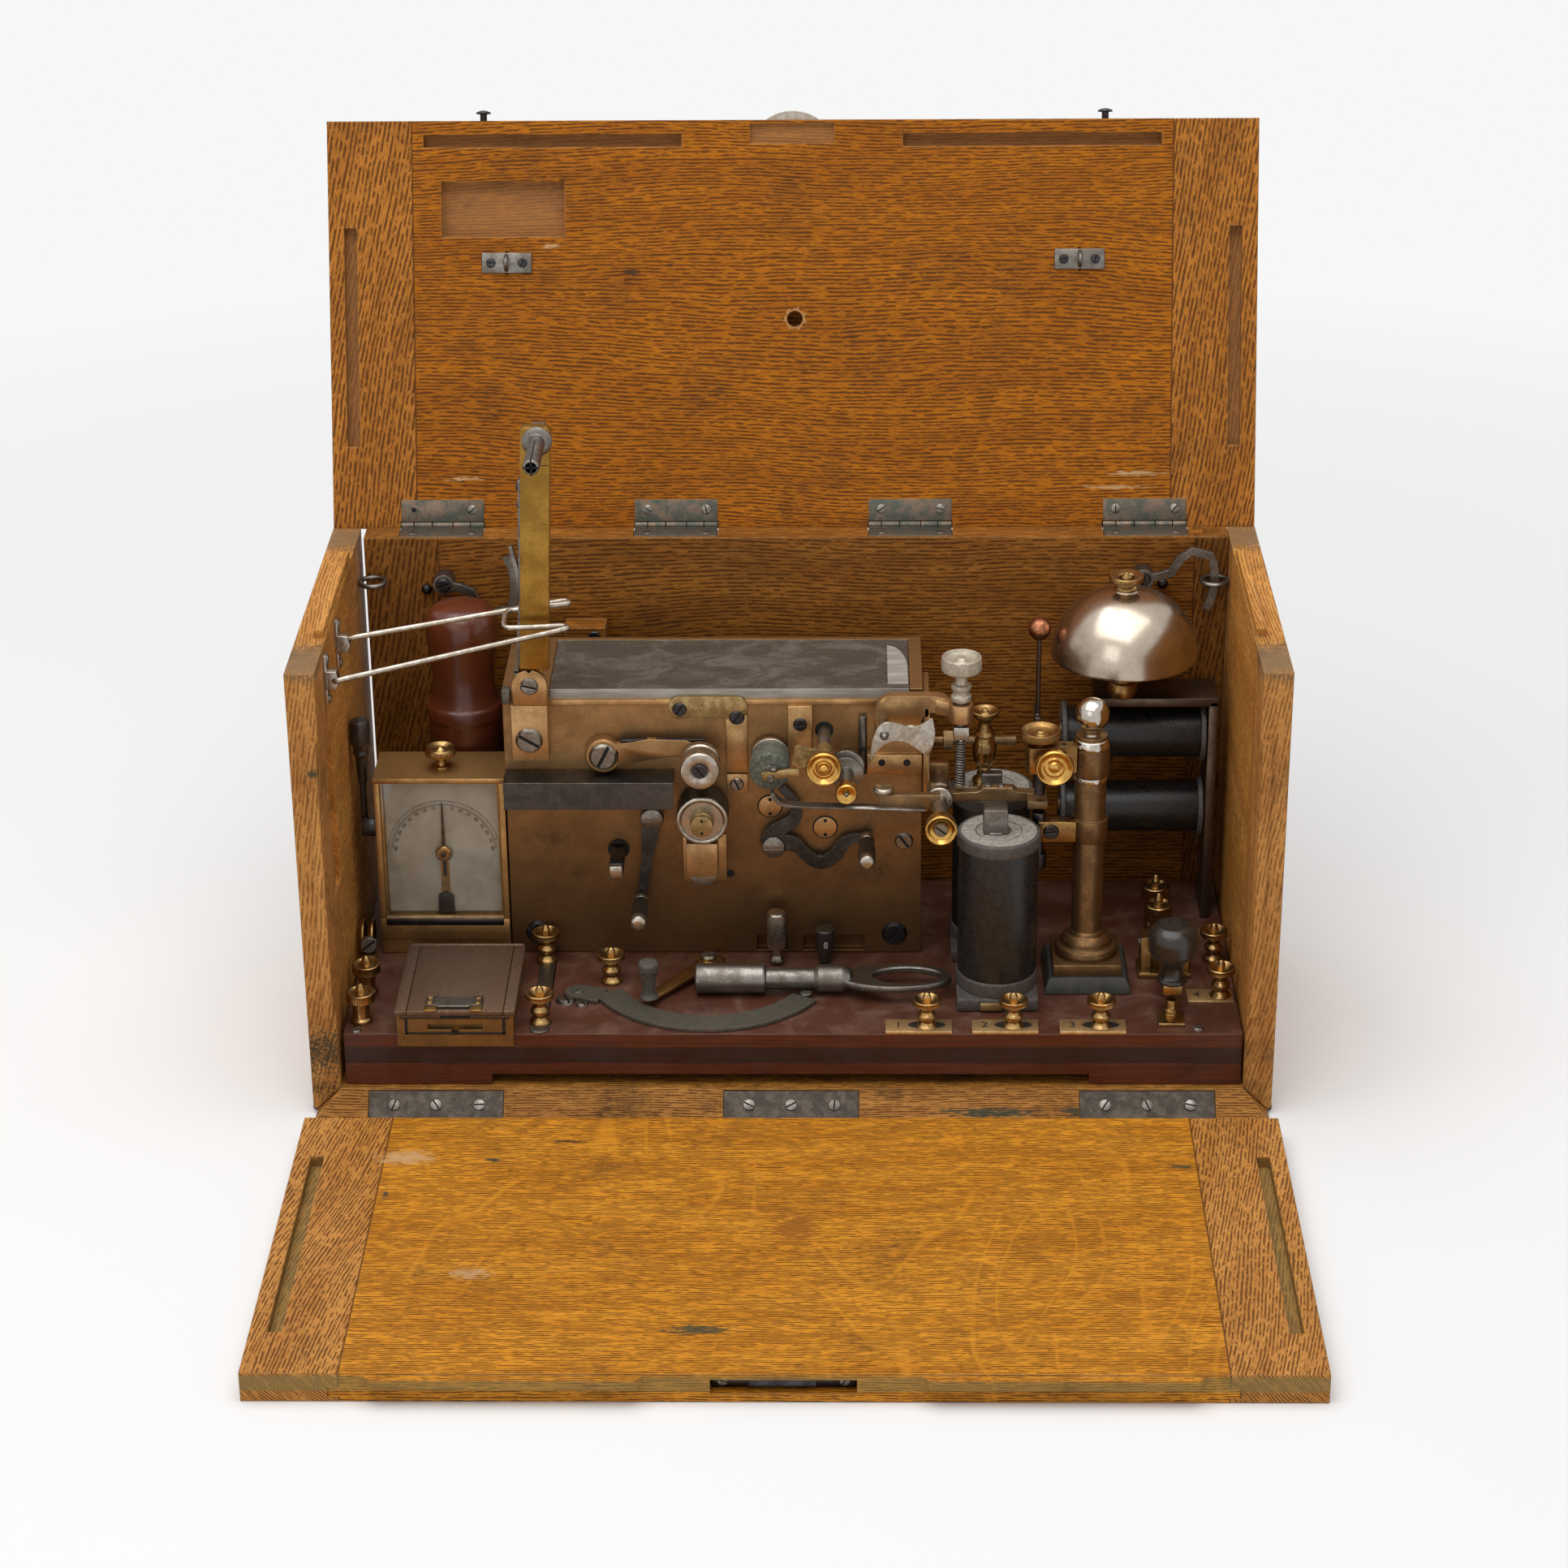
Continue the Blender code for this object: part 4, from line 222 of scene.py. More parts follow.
# Handling marks, shared by every finish: rubbed edges, grime in patches and fine scratches.
# An edge shows where the softened normal leaves the face's own, and loses its finish first.
wear, given, out = shader_group("wear", [("Vector", VECTOR, None), ("Color", COLOUR, (0.5, 0.5, 0.5, 1)),
    ("Edge Color", COLOUR, (0.6, 0.6, 0.6, 1)), ("Grime", COLOUR, (0.03, 0.02, 0.012, 1)),
    ("Edge", FLOAT, 0.5), ("Dirt", FLOAT, 0.3), ("Scratches", FLOAT, 0.3), ("Edge Radius", FLOAT, 0.0008)],
    [("Color", COLOUR), ("Marks", FLOAT), ("Normal", VECTOR)])
tree = wear
soft = put(tree, "ShaderNodeBevel", ("Radius", given["Edge Radius"]), samples=4)
flat = put(tree, "ShaderNodeNewGeometry")
meet = put(tree, "ShaderNodeVectorMath", (0, soft.outputs[0]), (1, flat.outputs["Normal"]),
    operation="DOT_PRODUCT")
edge = fade(meet.outputs["Value"], 0.8, 0.995, 1.0, 0.0)
millimetres = stretched(given["Vector"], 1000, 1000)
patchy = fade(noise(millimetres, 0.09, 4, 0.65), 0.38, 0.62)
grime_patches = fade(noise(millimetres, 0.035, 5, 0.7), 0.52, 0.74)
specks = fade(noise(millimetres, 0.55, 2, 0.6), 0.68, 0.78)
turned_about = put(tree, "ShaderNodeVectorRotate", ("Vector", millimetres), ("Angle", 0.7),
    ("Axis", (0.3, 0.5, 1)))
scratch_lines = noise(stretched(turned_about.outputs[0], 0.05, 2.2), 1, 1, 0.4)
scratches = maths("MULTIPLY", fade(scratch_lines, 0.7, 0.76), fade(noise(millimetres, 0.04), 0.5, 0.6))
scratches = maths("MULTIPLY", scratches, given["Scratches"])
dirt = maths("MULTIPLY", maths("MAXIMUM", grime_patches, specks), given["Dirt"])
coloured = tint(dirt, given["Color"], given["Grime"])
coloured = tint(scratches, coloured, given["Edge Color"])
rubbed = maths("MULTIPLY", maths("MULTIPLY", edge, fade(patchy, 0, 1, 0.35, 1.0)), given["Edge"])
join(tint(rubbed, coloured, given["Edge Color"]), out["Color"])
join(maths("ADD", scratches, dirt), out["Marks"])
join(soft.outputs[0], out["Normal"])


def wear_in(vector, colour, **values):
    """The wear group in a material, with its values set."""
    made = put(vector.id_data, "ShaderNodeGroup", node_tree=wear)
    join(vector, made.inputs["Vector"])
    join(colour, made.inputs["Color"])
    for label, value in values.items():
        made.inputs[label.replace("_", " ")].default_value = value
    return made.outputs


def grain_in(vector, **values):
    """The oak group in a material, with its values set."""
    made = put(vector.id_data, "ShaderNodeGroup", node_tree=oak_grain)
    join(vector, made.inputs["Vector"])
    for label, value in values.items():
        made.inputs[label.replace("_", " ")].default_value = value
    return made.outputs


cleat_joint = 0.1635
cleat_slant = 0.2
joint_line = 0.00035


def spot_mark(own, colour, place, half, tone):
    """A stain or a pale scuff on a board: an oval in the board's own X and Y with a broken outline."""
    tree = own.id_data
    from_middle = put(tree, "ShaderNodeVectorMath", (0, own), (1, (*place, 0)),
        operation="SUBTRACT").outputs[0]
    scaled = stretched(from_middle, 1 / half[0], 1 / half[1], 0)
    reach = put(tree, "ShaderNodeVectorMath", (0, scaled), operation="LENGTH").outputs["Value"]
    broken = noise(stretched(own, 260, 900), 1, 4, 0.7)
    reach = maths("ADD", reach, maths("MULTIPLY", maths("SUBTRACT", broken, 0.5), 4.0))
    return tint(fade(reach, 0.5, 1.2, 0.85, 0.0), colour, tone)


def oak_board(name, place=(0, 0, 0), turn=(0, 0, 0), cleats=(-cleat_joint, cleat_joint),
        light=(0.56, 0.225, 0.035, 1), middle=(0.4, 0.145, 0.016, 1), dark=(0.085, 0.026, 0.004, 1),
        edge=(0.62, 0.33, 0.11, 1), cleat_light=(0.52, 0.195, 0.028, 1), cleat_middle=(0.41, 0.145, 0.018, 1),
        figure=0.0, sway=16.0, row=1.5, dirt=0.35, pores=0.88, scratches=0.25, bare=None,
        bare_tone=(0.38, 0.19, 0.075, 1), marks=()):
    """Oak whose grain runs along the board's own X, with end cleats whose grain runs across it.

    Below the level bare, the board's sunk places have no varnish. The marks are place, half size and tone.
    """
    made, tree, shader = finish_of(name)
    spot = put(tree, "ShaderNodeTexCoord").outputs["Object"]
    own = put(tree, "ShaderNodeMapping", ("Vector", spot), ("Location", place), ("Rotation", turn),
        vector_type="TEXTURE").outputs[0]
    panel = grain_in(own, Light=light, Middle=middle, Dark=dark, Figure=figure, Sway=sway, Row=row,
        Pores=pores)
    colour, height, rough = panel["Color"], panel["Height"], panel["Roughness"]
    if cleats:
        swapped = put(tree, "ShaderNodeMapping", ("Vector", own),
            ("Rotation", (0, 0, math.pi / 2 + cleat_slant)), ("Location", (0.02, 0.31, 0.05))).outputs[0]
        end = grain_in(swapped, Light=cleat_light, Middle=cleat_middle, Dark=dark, Sway=30.0, Row=row * 1.25,
            Dash=5.0, Pores=pores)
        split = put(tree, "ShaderNodeSeparateXYZ", (0, own)).outputs
        tongue = maths("MULTIPLY", maths("LESS_THAN", maths("ABSOLUTE", split[2]), 0.0022), 0.004)
        along = maths("ABSOLUTE", maths("SUBTRACT", split[0], (cleats[0] + cleats[1]) / 2))
        past_joint = maths("SUBTRACT", maths("SUBTRACT", along, tongue), (cleats[1] - cleats[0]) / 2)
        in_cleat = maths("GREATER_THAN", past_joint, 0.0)
        off_joint = maths("ABSOLUTE", past_joint)
        gap = fade(off_joint, joint_line * 0.4, joint_line * 1.6, 1.0, 0.0)
        colour = tint(in_cleat, colour, end["Color"])
        colour = tint(maths("MULTIPLY", gap, 0.8), colour, dark)
        height = tint(in_cleat, height, end["Height"])
        height = maths("SUBTRACT", height, gap)
        rough = tint(in_cleat, rough, end["Roughness"])
    if bare is not None:
        level = put(tree, "ShaderNodeSeparateXYZ", (0, own)).outputs[2]
        sunk = maths("MULTIPLY", fade(level, bare - 0.002, bare - 0.001, 1.0, 0.0),
            maths("GREATER_THAN", level, bare - 0.008))
        colour = tint(maths("MULTIPLY", sunk, 0.55), colour, bare_tone)
    for at, half, tone in marks:
        colour = spot_mark(own, colour, at, half, tone)
    worn = wear_in(own, colour, Edge_Color=edge, Edge=0.75, Dirt=dirt, Scratches=scratches,
        Edge_Radius=0.0011)
    join(worn["Color"], shader.inputs["Base Color"])
    join(maths("ADD", rough, maths("MULTIPLY", worn["Marks"], 0.3)), shader.inputs["Roughness"])
    dented = put(tree, "ShaderNodeBump", ("Strength", 0.3), ("Distance", 0.0003), ("Height", height),
        ("Normal", worn["Normal"]))
    join(dented.outputs[0], shader.inputs["Normal"])
    shader.inputs["Specular IOR Level"].default_value = 0.16
    return made


lid_axis = (0.0, 0.0876, 0.2006)
lid_lean = math.radians(108)
ink_stain, pale_scuff, dark_spot = (0.02, 0.045, 0.03, 1), (0.6, 0.36, 0.17, 1), (0.035, 0.02, 0.012, 1)
lid_marks = (((-0.1428, -0.0808), (0.0092, 0.0008), pale_scuff),
    ((-0.1036, 0.0193), (0.0042, 0.0008), pale_scuff), ((0.1487, -0.079), (0.0123, 0.001), pale_scuff),
    ((0.1382, -0.0849), (0.014, 0.0008), pale_scuff), ((-0.0687, 0.0081), (0.0042, 0.0012), dark_spot),
    ((-0.053, 0.0108), (0.0018, 0.0007), dark_spot), ((-0.121, -0.0227), (0.0007, 0.0007), dark_spot))
flap_marks = (((-0.1548, 0.0595), (0.0105, 0.005), pale_scuff),
    ((-0.1213, -0.0269), (0.0071, 0.0036), pale_scuff), ((-0.1196, 0.0576), (0.003, 0.0019), ink_stain),
    ((-0.0323, -0.0652), (0.0121, 0.003), ink_stain), ((-0.0425, -0.1077), (0.0088, 0.003), ink_stain),
    ((-0.1599, 0.0312), (0.001, 0.0049), ink_stain), ((0.157, 0.053), (0.0046, 0.0016), ink_stain),
    ((0.0605, -0.1047), (0.0059, 0.002), dark_spot), ((-0.0901, 0.0724), (0.0066, 0.0012), dark_spot),
    ((0.0025, 0.0073), (0.009, 0.01), (0.3, 0.1, 0.012, 1)))
lid_oak = oak_board("lid_oak", (0, lid_axis[1] + 0.05, lid_axis[2] + 0.09), (math.radians(72), 0, 0),
    light=(0.48, 0.151, 0.003, 1), middle=(0.37, 0.11, 0.0015, 1), sway=26.0, bare=0.0197, marks=lid_marks)
flap_oak = oak_board("flap_oak", (0, -0.19, 0.004), light=(0.74, 0.3, 0.022, 1),
    middle=(0.58, 0.213, 0.012, 1), cleat_light=(0.62, 0.275, 0.062, 1), cleat_middle=(0.5, 0.205, 0.04, 1),
    figure=0.4, sway=7.0, row=1.2, pores=0.85, dirt=0.35, scratches=0.5, bare=0.0085,
    bare_tone=(0.22, 0.18, 0.065, 1), marks=flap_marks)
base_marks = (((0.083, -0.0815), (0.018, 0.0016), ink_stain), ((0.1197, -0.081), (0.006, 0.0015), ink_stain),
    ((-0.0056, -0.0795), (0.003, 0.002), ink_stain))
base_oak = oak_board("base_oak", (0, 0, 0.3), cleats=None, marks=base_marks, light=(0.52, 0.23, 0.044, 1),
    middle=(0.37, 0.152, 0.024, 1), dirt=0.75)
back_oak = oak_board("back_oak", (0.01, 0.08, 0.11), (math.radians(90), 0, 0), light=(0.4, 0.152, 0.022, 1),
    middle=(0.27, 0.096, 0.012, 1), cleat_light=(0.33, 0.13, 0.022, 1), cleat_middle=(0.22, 0.085, 0.013, 1),
    sway=26.0, row=1.8)
end_grey = (0.21, 0.13, 0.065, 1)
end_marks = (((0.075, 0.1), (0.016, 0.004), end_grey), ((-0.061, 0.1), (0.018, 0.004), end_grey))
left_stains = (((-0.077, -0.07), (0.004, 0.013), ink_stain), ((-0.077, -0.088), (0.003, 0.005), dark_spot),
    ((-0.077, 0.058), (0.002, 0.0016), ink_stain))
left_oak, right_oak = [oak_board(name, (x, 0, 0.1), (math.radians(90), 0, math.radians(90)),
    (-0.0457, 0.0616), sway=26.0, dirt=0.55, pores=0.6, light=(0.74, 0.34, 0.076, 1),
    middle=(0.56, 0.23, 0.042, 1), cleat_light=(0.66, 0.31, 0.082, 1), cleat_middle=(0.49, 0.205, 0.048, 1),
    marks=end_marks + stains) for name, x, stains in (("left_wall_oak", -0.194, left_stains),
    ("right_wall_oak", 0.194, ()))]


def clad(name, finish):
    """Gives a piece of the frame its finish."""
    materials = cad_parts[name].data.materials
    materials.clear()
    materials.append(finish)


for name, oak in (("base_board", base_oak), ("back_wall", back_oak), ("left_wall", left_oak),
        ("right_wall", right_oak), ("lid", lid_oak), ("front_flap", flap_oak)):
    clad(name, oak)


# Hinges and screws: bronze and steel leaves with their pins in rolled knuckles, and slotted wood screws.
# All the metals share one tarnish: cloudy tone, darker round the edges of wear, and fine hairline marks.
tarnish, given, out = shader_group("tarnish", [("Vector", VECTOR, None),
    ("Bright", COLOUR, (0.6, 0.4, 0.15, 1)), ("Dull", COLOUR, (0.2, 0.12, 0.05, 1)), ("Amount", FLOAT, 0.5),
    ("Cloud Size", FLOAT, 0.12), ("Smooth", FLOAT, 0.25), ("Rough", FLOAT, 0.5)],
    [("Color", COLOUR), ("Roughness", FLOAT), ("Height", FLOAT)])
millimetres = stretched(given["Vector"], 1000, 1000)
clouds = noise(millimetres, given["Cloud Size"], 5, 0.65, 0.3)
blotches = noise(millimetres, 0.9, 3, 0.6)
mixed = maths("ADD", maths("MULTIPLY", clouds, 0.75), maths("MULTIPLY", blotches, 0.25))
dull = maths("MULTIPLY", fade(mixed, 0.36, 0.6), given["Amount"])
hairlines = noise(stretched(millimetres, 0.5, 14), 1, 1, 0.5)
join(tint(dull, given["Bright"], given["Dull"]), out["Color"])
spread = maths("SUBTRACT", given["Rough"], given["Smooth"])
rough = maths("ADD", given["Smooth"], maths("MULTIPLY", dull, spread))
join(maths("ADD", rough, maths("MULTIPLY", maths("SUBTRACT", hairlines, 0.5), 0.12)), out["Roughness"])
join(maths("ADD", maths("MULTIPLY", hairlines, 0.25), maths("MULTIPLY", blotches, 0.75)), out["Height"])


def metal(name, bright, dull, amount=0.6, smooth=0.25, rough=0.5, edge=None, edge_amount=0.5, dirt=0.25,
        cloud=0.12, metallic=1.0, relief=0.1, scratches=0.2, radius=0.0003, grime=(0.03, 0.02, 0.012, 1),
        turn=(0, 0, 0)):
    """A worn metal, or a lacquer over metal where metallic is low."""
    made, tree, shader = finish_of(name)
    spot = put(tree, "ShaderNodeTexCoord").outputs["Object"]
    own = put(tree, "ShaderNodeMapping", ("Vector", spot), ("Rotation", turn)).outputs[0]
    aged = put(tree, "ShaderNodeGroup", node_tree=tarnish)
    join(own, aged.inputs["Vector"])
    for label, value in (("Bright", bright), ("Dull", dull), ("Amount", amount), ("Cloud Size", cloud),
            ("Smooth", smooth), ("Rough", rough)):
        aged.inputs[label].default_value = value
    worn = wear_in(own, aged.outputs["Color"], Edge_Color=edge or bright, Edge=edge_amount, Dirt=dirt,
        Scratches=scratches, Edge_Radius=radius, Grime=grime)
    join(worn["Color"], shader.inputs["Base Color"])
    join(maths("ADD", aged.outputs["Roughness"], maths("MULTIPLY", worn["Marks"], 0.25)),
        shader.inputs["Roughness"])
    bumped = put(tree, "ShaderNodeBump", ("Strength", relief), ("Distance", 0.0002),
        ("Height", aged.outputs["Height"]), ("Normal", worn["Normal"]))
    join(bumped.outputs[0], shader.inputs["Normal"])
    shader.inputs["Metallic"].default_value = metallic
    return made


bronze = metal("patinated_bronze", (0.19, 0.128, 0.088, 1), (0.072, 0.086, 0.07, 1), 0.9, 0.38, 0.6,
    cloud=0.16, edge=(0.3, 0.25, 0.17, 1), dirt=0.4, metallic=0.75)
steel = metal("bare_steel", (0.25, 0.232, 0.208, 1), (0.12, 0.1, 0.08, 1), 0.8, 0.32, 0.5,
    edge=(0.42, 0.4, 0.36, 1))
leaf_steel = metal("browned_leaf", (0.075, 0.059, 0.044, 1), (0.04, 0.031, 0.025, 1), 0.8, 0.42, 0.6,
    cloud=0.2, edge=(0.24, 0.21, 0.17, 1), metallic=0.7)
dark_steel = metal("blued_steel", (0.07, 0.065, 0.07, 1), (0.03, 0.026, 0.024, 1), 0.7, 0.3, 0.5,
    edge=(0.25, 0.24, 0.23, 1))
nickel = metal("dulled_nickel", (0.5, 0.455, 0.39, 1), (0.27, 0.225, 0.175, 1), 0.7, 0.22, 0.42, cloud=0.3,
    edge=(0.64, 0.6, 0.53, 1), dirt=0.2)
bright_nickel = metal("bright_nickel", (0.6, 0.555, 0.49, 1), (0.33, 0.285, 0.23, 1), 0.5, 0.1, 0.26,
    edge=(0.72, 0.68, 0.61, 1), dirt=0.15)
brass = metal("old_brass", (0.4, 0.235, 0.08, 1), (0.17, 0.09, 0.032, 1), 0.8, 0.26, 0.46,
    edge=(0.56, 0.37, 0.16, 1), dirt=0.35)
bright_brass = metal("turned_brass", (0.48, 0.3, 0.115, 1), (0.2, 0.115, 0.045, 1), 0.75, 0.2, 0.42,
    edge=(0.6, 0.42, 0.2, 1), dirt=0.3, cloud=0.35)
screw_steel = metal("screw_steel", (0.27, 0.24, 0.205, 1), (0.13, 0.105, 0.082, 1), 0.7, 0.28, 0.48,
    cloud=0.5, edge=(0.42, 0.38, 0.33, 1))
hole_dark = metal("hole_shadow", (0.01, 0.008, 0.006, 1), (0.005, 0.004, 0.003, 1), metallic=0, smooth=0.9,
    rough=0.95)


def meshed(name, points, faces, material, sharp=35):
    """A new object from points and faces, smooth but for its sharp edges."""
    mesh = bpy.data.meshes.new(name)
    mesh.from_pydata([tuple(p) for p in points], [], faces)
    return kept(name, mesh, material, sharp)


def kept(name, mesh, material, sharp=35):
    """An object in the scene for a finished mesh, with its normals outwards."""
    work = bmesh.new()
    work.from_mesh(mesh)
    bmesh.ops.remove_doubles(work, verts=work.verts, dist=1e-6)
    bmesh.ops.recalc_face_normals(work, faces=work.faces)
    work.to_mesh(mesh)
    work.free()
    mesh.shade_smooth()
    mesh.set_sharp_from_angle(angle=math.radians(sharp))
    if material:
        mesh.materials.clear()
        mesh.materials.append(material)
    made = bpy.data.objects.new(name, mesh)
    bpy.context.scene.collection.objects.link(made)
    return made


TURNS = {"up": Matrix.Identity(4), "down": Matrix.Rotation(math.pi, 4, "X"),
    "front": Matrix.Rotation(math.pi / 2, 4, "X"), "back": Matrix.Rotation(-math.pi / 2, 4, "X"),
    "right": Matrix.Rotation(math.pi / 2, 4, "Y"), "left": Matrix.Rotation(-math.pi / 2, 4, "Y")}


def mm(outline):
    """An outline's points in metres, given in millimetres."""
    return [tuple(round(value / 1000, 7) for value in point) for point in outline]


def eased(profile, ease):
    """The profile with each corner cut by a small round of three points."""
    soft = [profile[0]]
    for before, corner, after in zip(profile, profile[1:], profile[2:]):
        corner = Vector(corner)
        into, onward = Vector(before) - corner, Vector(after) - corner
        cut = min(ease, into.length * 0.45, onward.length * 0.45)
        if cut < 1e-6 or abs(into.normalized().dot(onward.normalized())) > 0.995:
            soft.append(tuple(corner))
            continue
        first, last = corner + into.normalized() * cut, corner + onward.normalized() * cut
        soft += [tuple(first), tuple((first + last) / 4 + corner / 2), tuple(last)]
    return soft + [profile[-1]]


def turned(profile, place, facing="up", steps=48, ease=0.00025, knurl=None):
    """Points and faces of a (radius, height) profile turned on a lathe.

    A knurl is (low, high, ribs, depth, least radius).
    """
    outline = eased(profile, ease)
    if knurl:
        steps = knurl[2] * 2
    frame_at = Matrix.Translation(place) @ (TURNS[facing] if isinstance(facing, str) else facing)
    points, faces = [], []
    for radius, height in outline:
        for i in range(steps):
            angle = 2 * math.pi * i / steps
            own = radius
            if knurl and knurl[0] <= height <= knurl[1] and radius > knurl[4]:
                own -= knurl[3] * (i % 2)
            points.append(frame_at @ Vector((own * math.cos(angle), own * math.sin(angle), height)))
    for row in range(len(outline) - 1):
        for i in range(steps):
            a, b = row * steps + i, row * steps + (i + 1) % steps
            faces.append((a, b, b + steps, a + steps))
    last = (len(outline) - 1) * steps
    faces += [tuple(reversed(range(steps))), tuple(range(last, last + steps))]
    return points, faces


def solid_bar(radius, height, *more):
    """The profile of round bars one on another, each as (radius, height)."""
    profile, level = [(0, 0)], 0
    for own, rise in ((radius, height), *more):
        profile += [(own, level), (own, level + rise)]
        level += rise
    return profile + [(0, level)]


def block(xs, ys, zs, ease=0.0004, steps=2):
    """Points and faces of a block with rounded edges."""
    work = bmesh.new()
    bmesh.ops.create_cube(work, size=1)
    spans = [(min(s), max(s)) for s in (xs, ys, zs)]
    for vert in work.verts:
        vert.co = [low + (high - low) * (c + 0.5) for c, (low, high) in zip(vert.co, spans)]
    smallest = min(high - low for low, high in spans)
    bmesh.ops.bevel(work, geom=work.edges[:], offset=min(ease, smallest * 0.4), segments=steps,
        affect="EDGES", profile=0.5)
    return drained(work)


def drained(work):
    """The points and faces of a working mesh, which is then freed."""
    work.verts.index_update()
    parts = [v.co.copy() for v in work.verts], [tuple(v.index for v in f.verts) for f in work.faces]
    work.free()
    return parts


def cut_plate(outline, axis, span, ease=0.0003, steps=2):
    """A flat shape in the plane across an axis, given its thickness and rounded edges."""
    low, high = sorted(span)
    place = {"x": lambda p, s: (s, p[0], p[1]), "y": lambda p, s: (p[0], s, p[1]),
        "z": lambda p, s: (p[0], p[1], s)}
    work = bmesh.new()
    rings = [[work.verts.new(place[axis](p, s)) for p in outline] for s in (low, high)]
    count = len(outline)
    work.faces.new(rings[0])
    work.faces.new(rings[1][::-1])
    for i in range(count):
        work.faces.new((rings[0][i], rings[1][i], rings[1][(i + 1) % count], rings[0][(i + 1) % count]))
    if ease:
        rims = [e for e in work.edges if e.verts[0] in rings[0] and e.verts[1] in rings[0]
            or e.verts[0] in rings[1] and e.verts[1] in rings[1]]
        bmesh.ops.bevel(work, geom=rims, offset=min(ease, (high - low) * 0.4), segments=steps, affect="EDGES",
            profile=0.5)
    return drained(work)


def moved(part, matrix):
    """The points and faces of a part at its place."""
    return [matrix @ Vector(p) for p in part[0]], part[1]


def gathered(*parts):
    """Several lists of points and faces as one."""
    points, faces = [], []
    for own_points, own_faces in parts:
        start = len(points)
        points += list(own_points)
        faces += [tuple(i + start for i in face) for face in own_faces]
    return points, faces


def make(name, material, *parts, body="case", slot="brass", sharp=35, replaces=()):
    """A finished piece from its parts, riding on its body."""
    points, faces = gathered(*parts)
    made = meshed(name, points, faces, material, sharp)
    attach(made, body)
    if replaces:
        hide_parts(*replaces)
    return made


def geometry_tree(name, takes):
    """An empty geometry tree with its named inputs."""
    tree = bpy.data.node_groups.new(name, "GeometryNodeTree")
    tree.interface.new_socket("Geometry", in_out="INPUT", socket_type="NodeSocketGeometry")
    for label, kind, value in takes:
        socket = tree.interface.new_socket(label, in_out="INPUT", socket_type=kind)
        if value is not None:
            socket.default_value = value
    tree.interface.new_socket("Geometry", in_out="OUTPUT", socket_type="NodeSocketGeometry")
    return tree, tree.nodes.new("NodeGroupInput").outputs, tree.nodes.new("NodeGroupOutput").inputs


def grown(name, tree, start, material, body="case", slot=None, **inputs):
    """The tree's result on a starting mesh, as a plain mesh that rides on its body."""
    seed = bpy.data.objects.new(name + "_seed", start)
    bpy.context.scene.collection.objects.link(seed)
    step = seed.modifiers.new("grow", "NODES")
    step.node_group = tree
    for item in tree.interface.items_tree:
        label = item.name.replace(" ", "_")
        if item.in_out == "INPUT" and label in inputs:
            step[item.identifier] = inputs[label]
        if item.in_out == "INPUT" and item.socket_type == "NodeSocketMaterial":
            step[item.identifier] = material
    bpy.context.view_layer.update()
    graph = bpy.context.evaluated_depsgraph_get()
    mesh = bpy.data.meshes.new_from_object(seed.evaluated_get(graph))
    bpy.data.objects.remove(seed)
    made = kept(name, mesh, None)
    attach(made, body)
    return made


screw_tree, given, out = geometry_tree("slotted_screws",
    [("Head Rise", "NodeSocketFloat", 0.3), ("Slot Width", "NodeSocketFloat", 0.24),
    ("Material", "NodeSocketMaterial", None)])
tree = screw_tree
head = put(tree, "GeometryNodeMeshCone", ("Vertices", 24), ("Radius Top", 0.82), ("Radius Bottom", 1.0))
join(given["Head Rise"], head.inputs["Depth"])
slot_size = put(tree, "ShaderNodeCombineXYZ", (0, 3.0), (1, given["Slot Width"]),
    (2, maths("MULTIPLY", given["Head Rise"], 1.5)))
saw = put(tree, "GeometryNodeMeshCube", ("Size", slot_size.outputs[0]))
saw_up = put(tree, "ShaderNodeCombineXYZ", (2, given["Head Rise"]))
saw_at = put(tree, "GeometryNodeTransform", ("Geometry", saw.outputs["Mesh"]),
    ("Translation", saw_up.outputs[0]))
sawn = put(tree, "GeometryNodeMeshBoolean", ("Mesh 1", head.outputs["Mesh"]), ("Mesh 2", saw_at.outputs[0]),
    operation="DIFFERENCE", solver="EXACT")
floor_size = put(tree, "ShaderNodeCombineXYZ", (0, 1.72), (1, maths("MULTIPLY", given["Slot Width"], 0.96)),
    (2, maths("MULTIPLY", given["Head Rise"], 0.3)))
slot_floor = put(tree, "GeometryNodeMeshCube", ("Size", floor_size.outputs[0]))
floor_up = put(tree, "ShaderNodeCombineXYZ", (2, maths("MULTIPLY", given["Head Rise"], 0.35)))
floor_at = put(tree, "GeometryNodeTransform", ("Geometry", slot_floor.outputs["Mesh"]),
    ("Translation", floor_up.outputs[0]))
shade = put(tree, "GeometryNodeSetMaterial", ("Geometry", floor_at.outputs[0]), ("Material", hole_dark))
metal_head = put(tree, "GeometryNodeSetMaterial", ("Geometry", sawn.outputs[0]),
    ("Material", given["Material"]))
whole = put(tree, "GeometryNodeJoinGeometry", (0, metal_head.outputs[0]))
join(shade.outputs[0], whole.inputs[0])
facing = put(tree, "GeometryNodeInputNamedAttribute", ("Name", "facing"), data_type="FLOAT_VECTOR")
size = put(tree, "GeometryNodeInputNamedAttribute", ("Name", "size"), data_type="FLOAT")
turn = put(tree, "GeometryNodeInputNamedAttribute", ("Name", "turn"), data_type="FLOAT")
aimed = put(tree, "FunctionNodeAlignRotationToVector", ("Vector", facing.outputs["Attribute"]), axis="Z")
spun = put(tree, "ShaderNodeCombineXYZ", (2, turn.outputs["Attribute"]))
twist = put(tree, "FunctionNodeEulerToRotation", (0, spun.outputs[0]))
posed = put(tree, "FunctionNodeRotateRotation", (0, aimed.outputs[0]), (1, twist.outputs[0]),
    rotation_space="LOCAL")
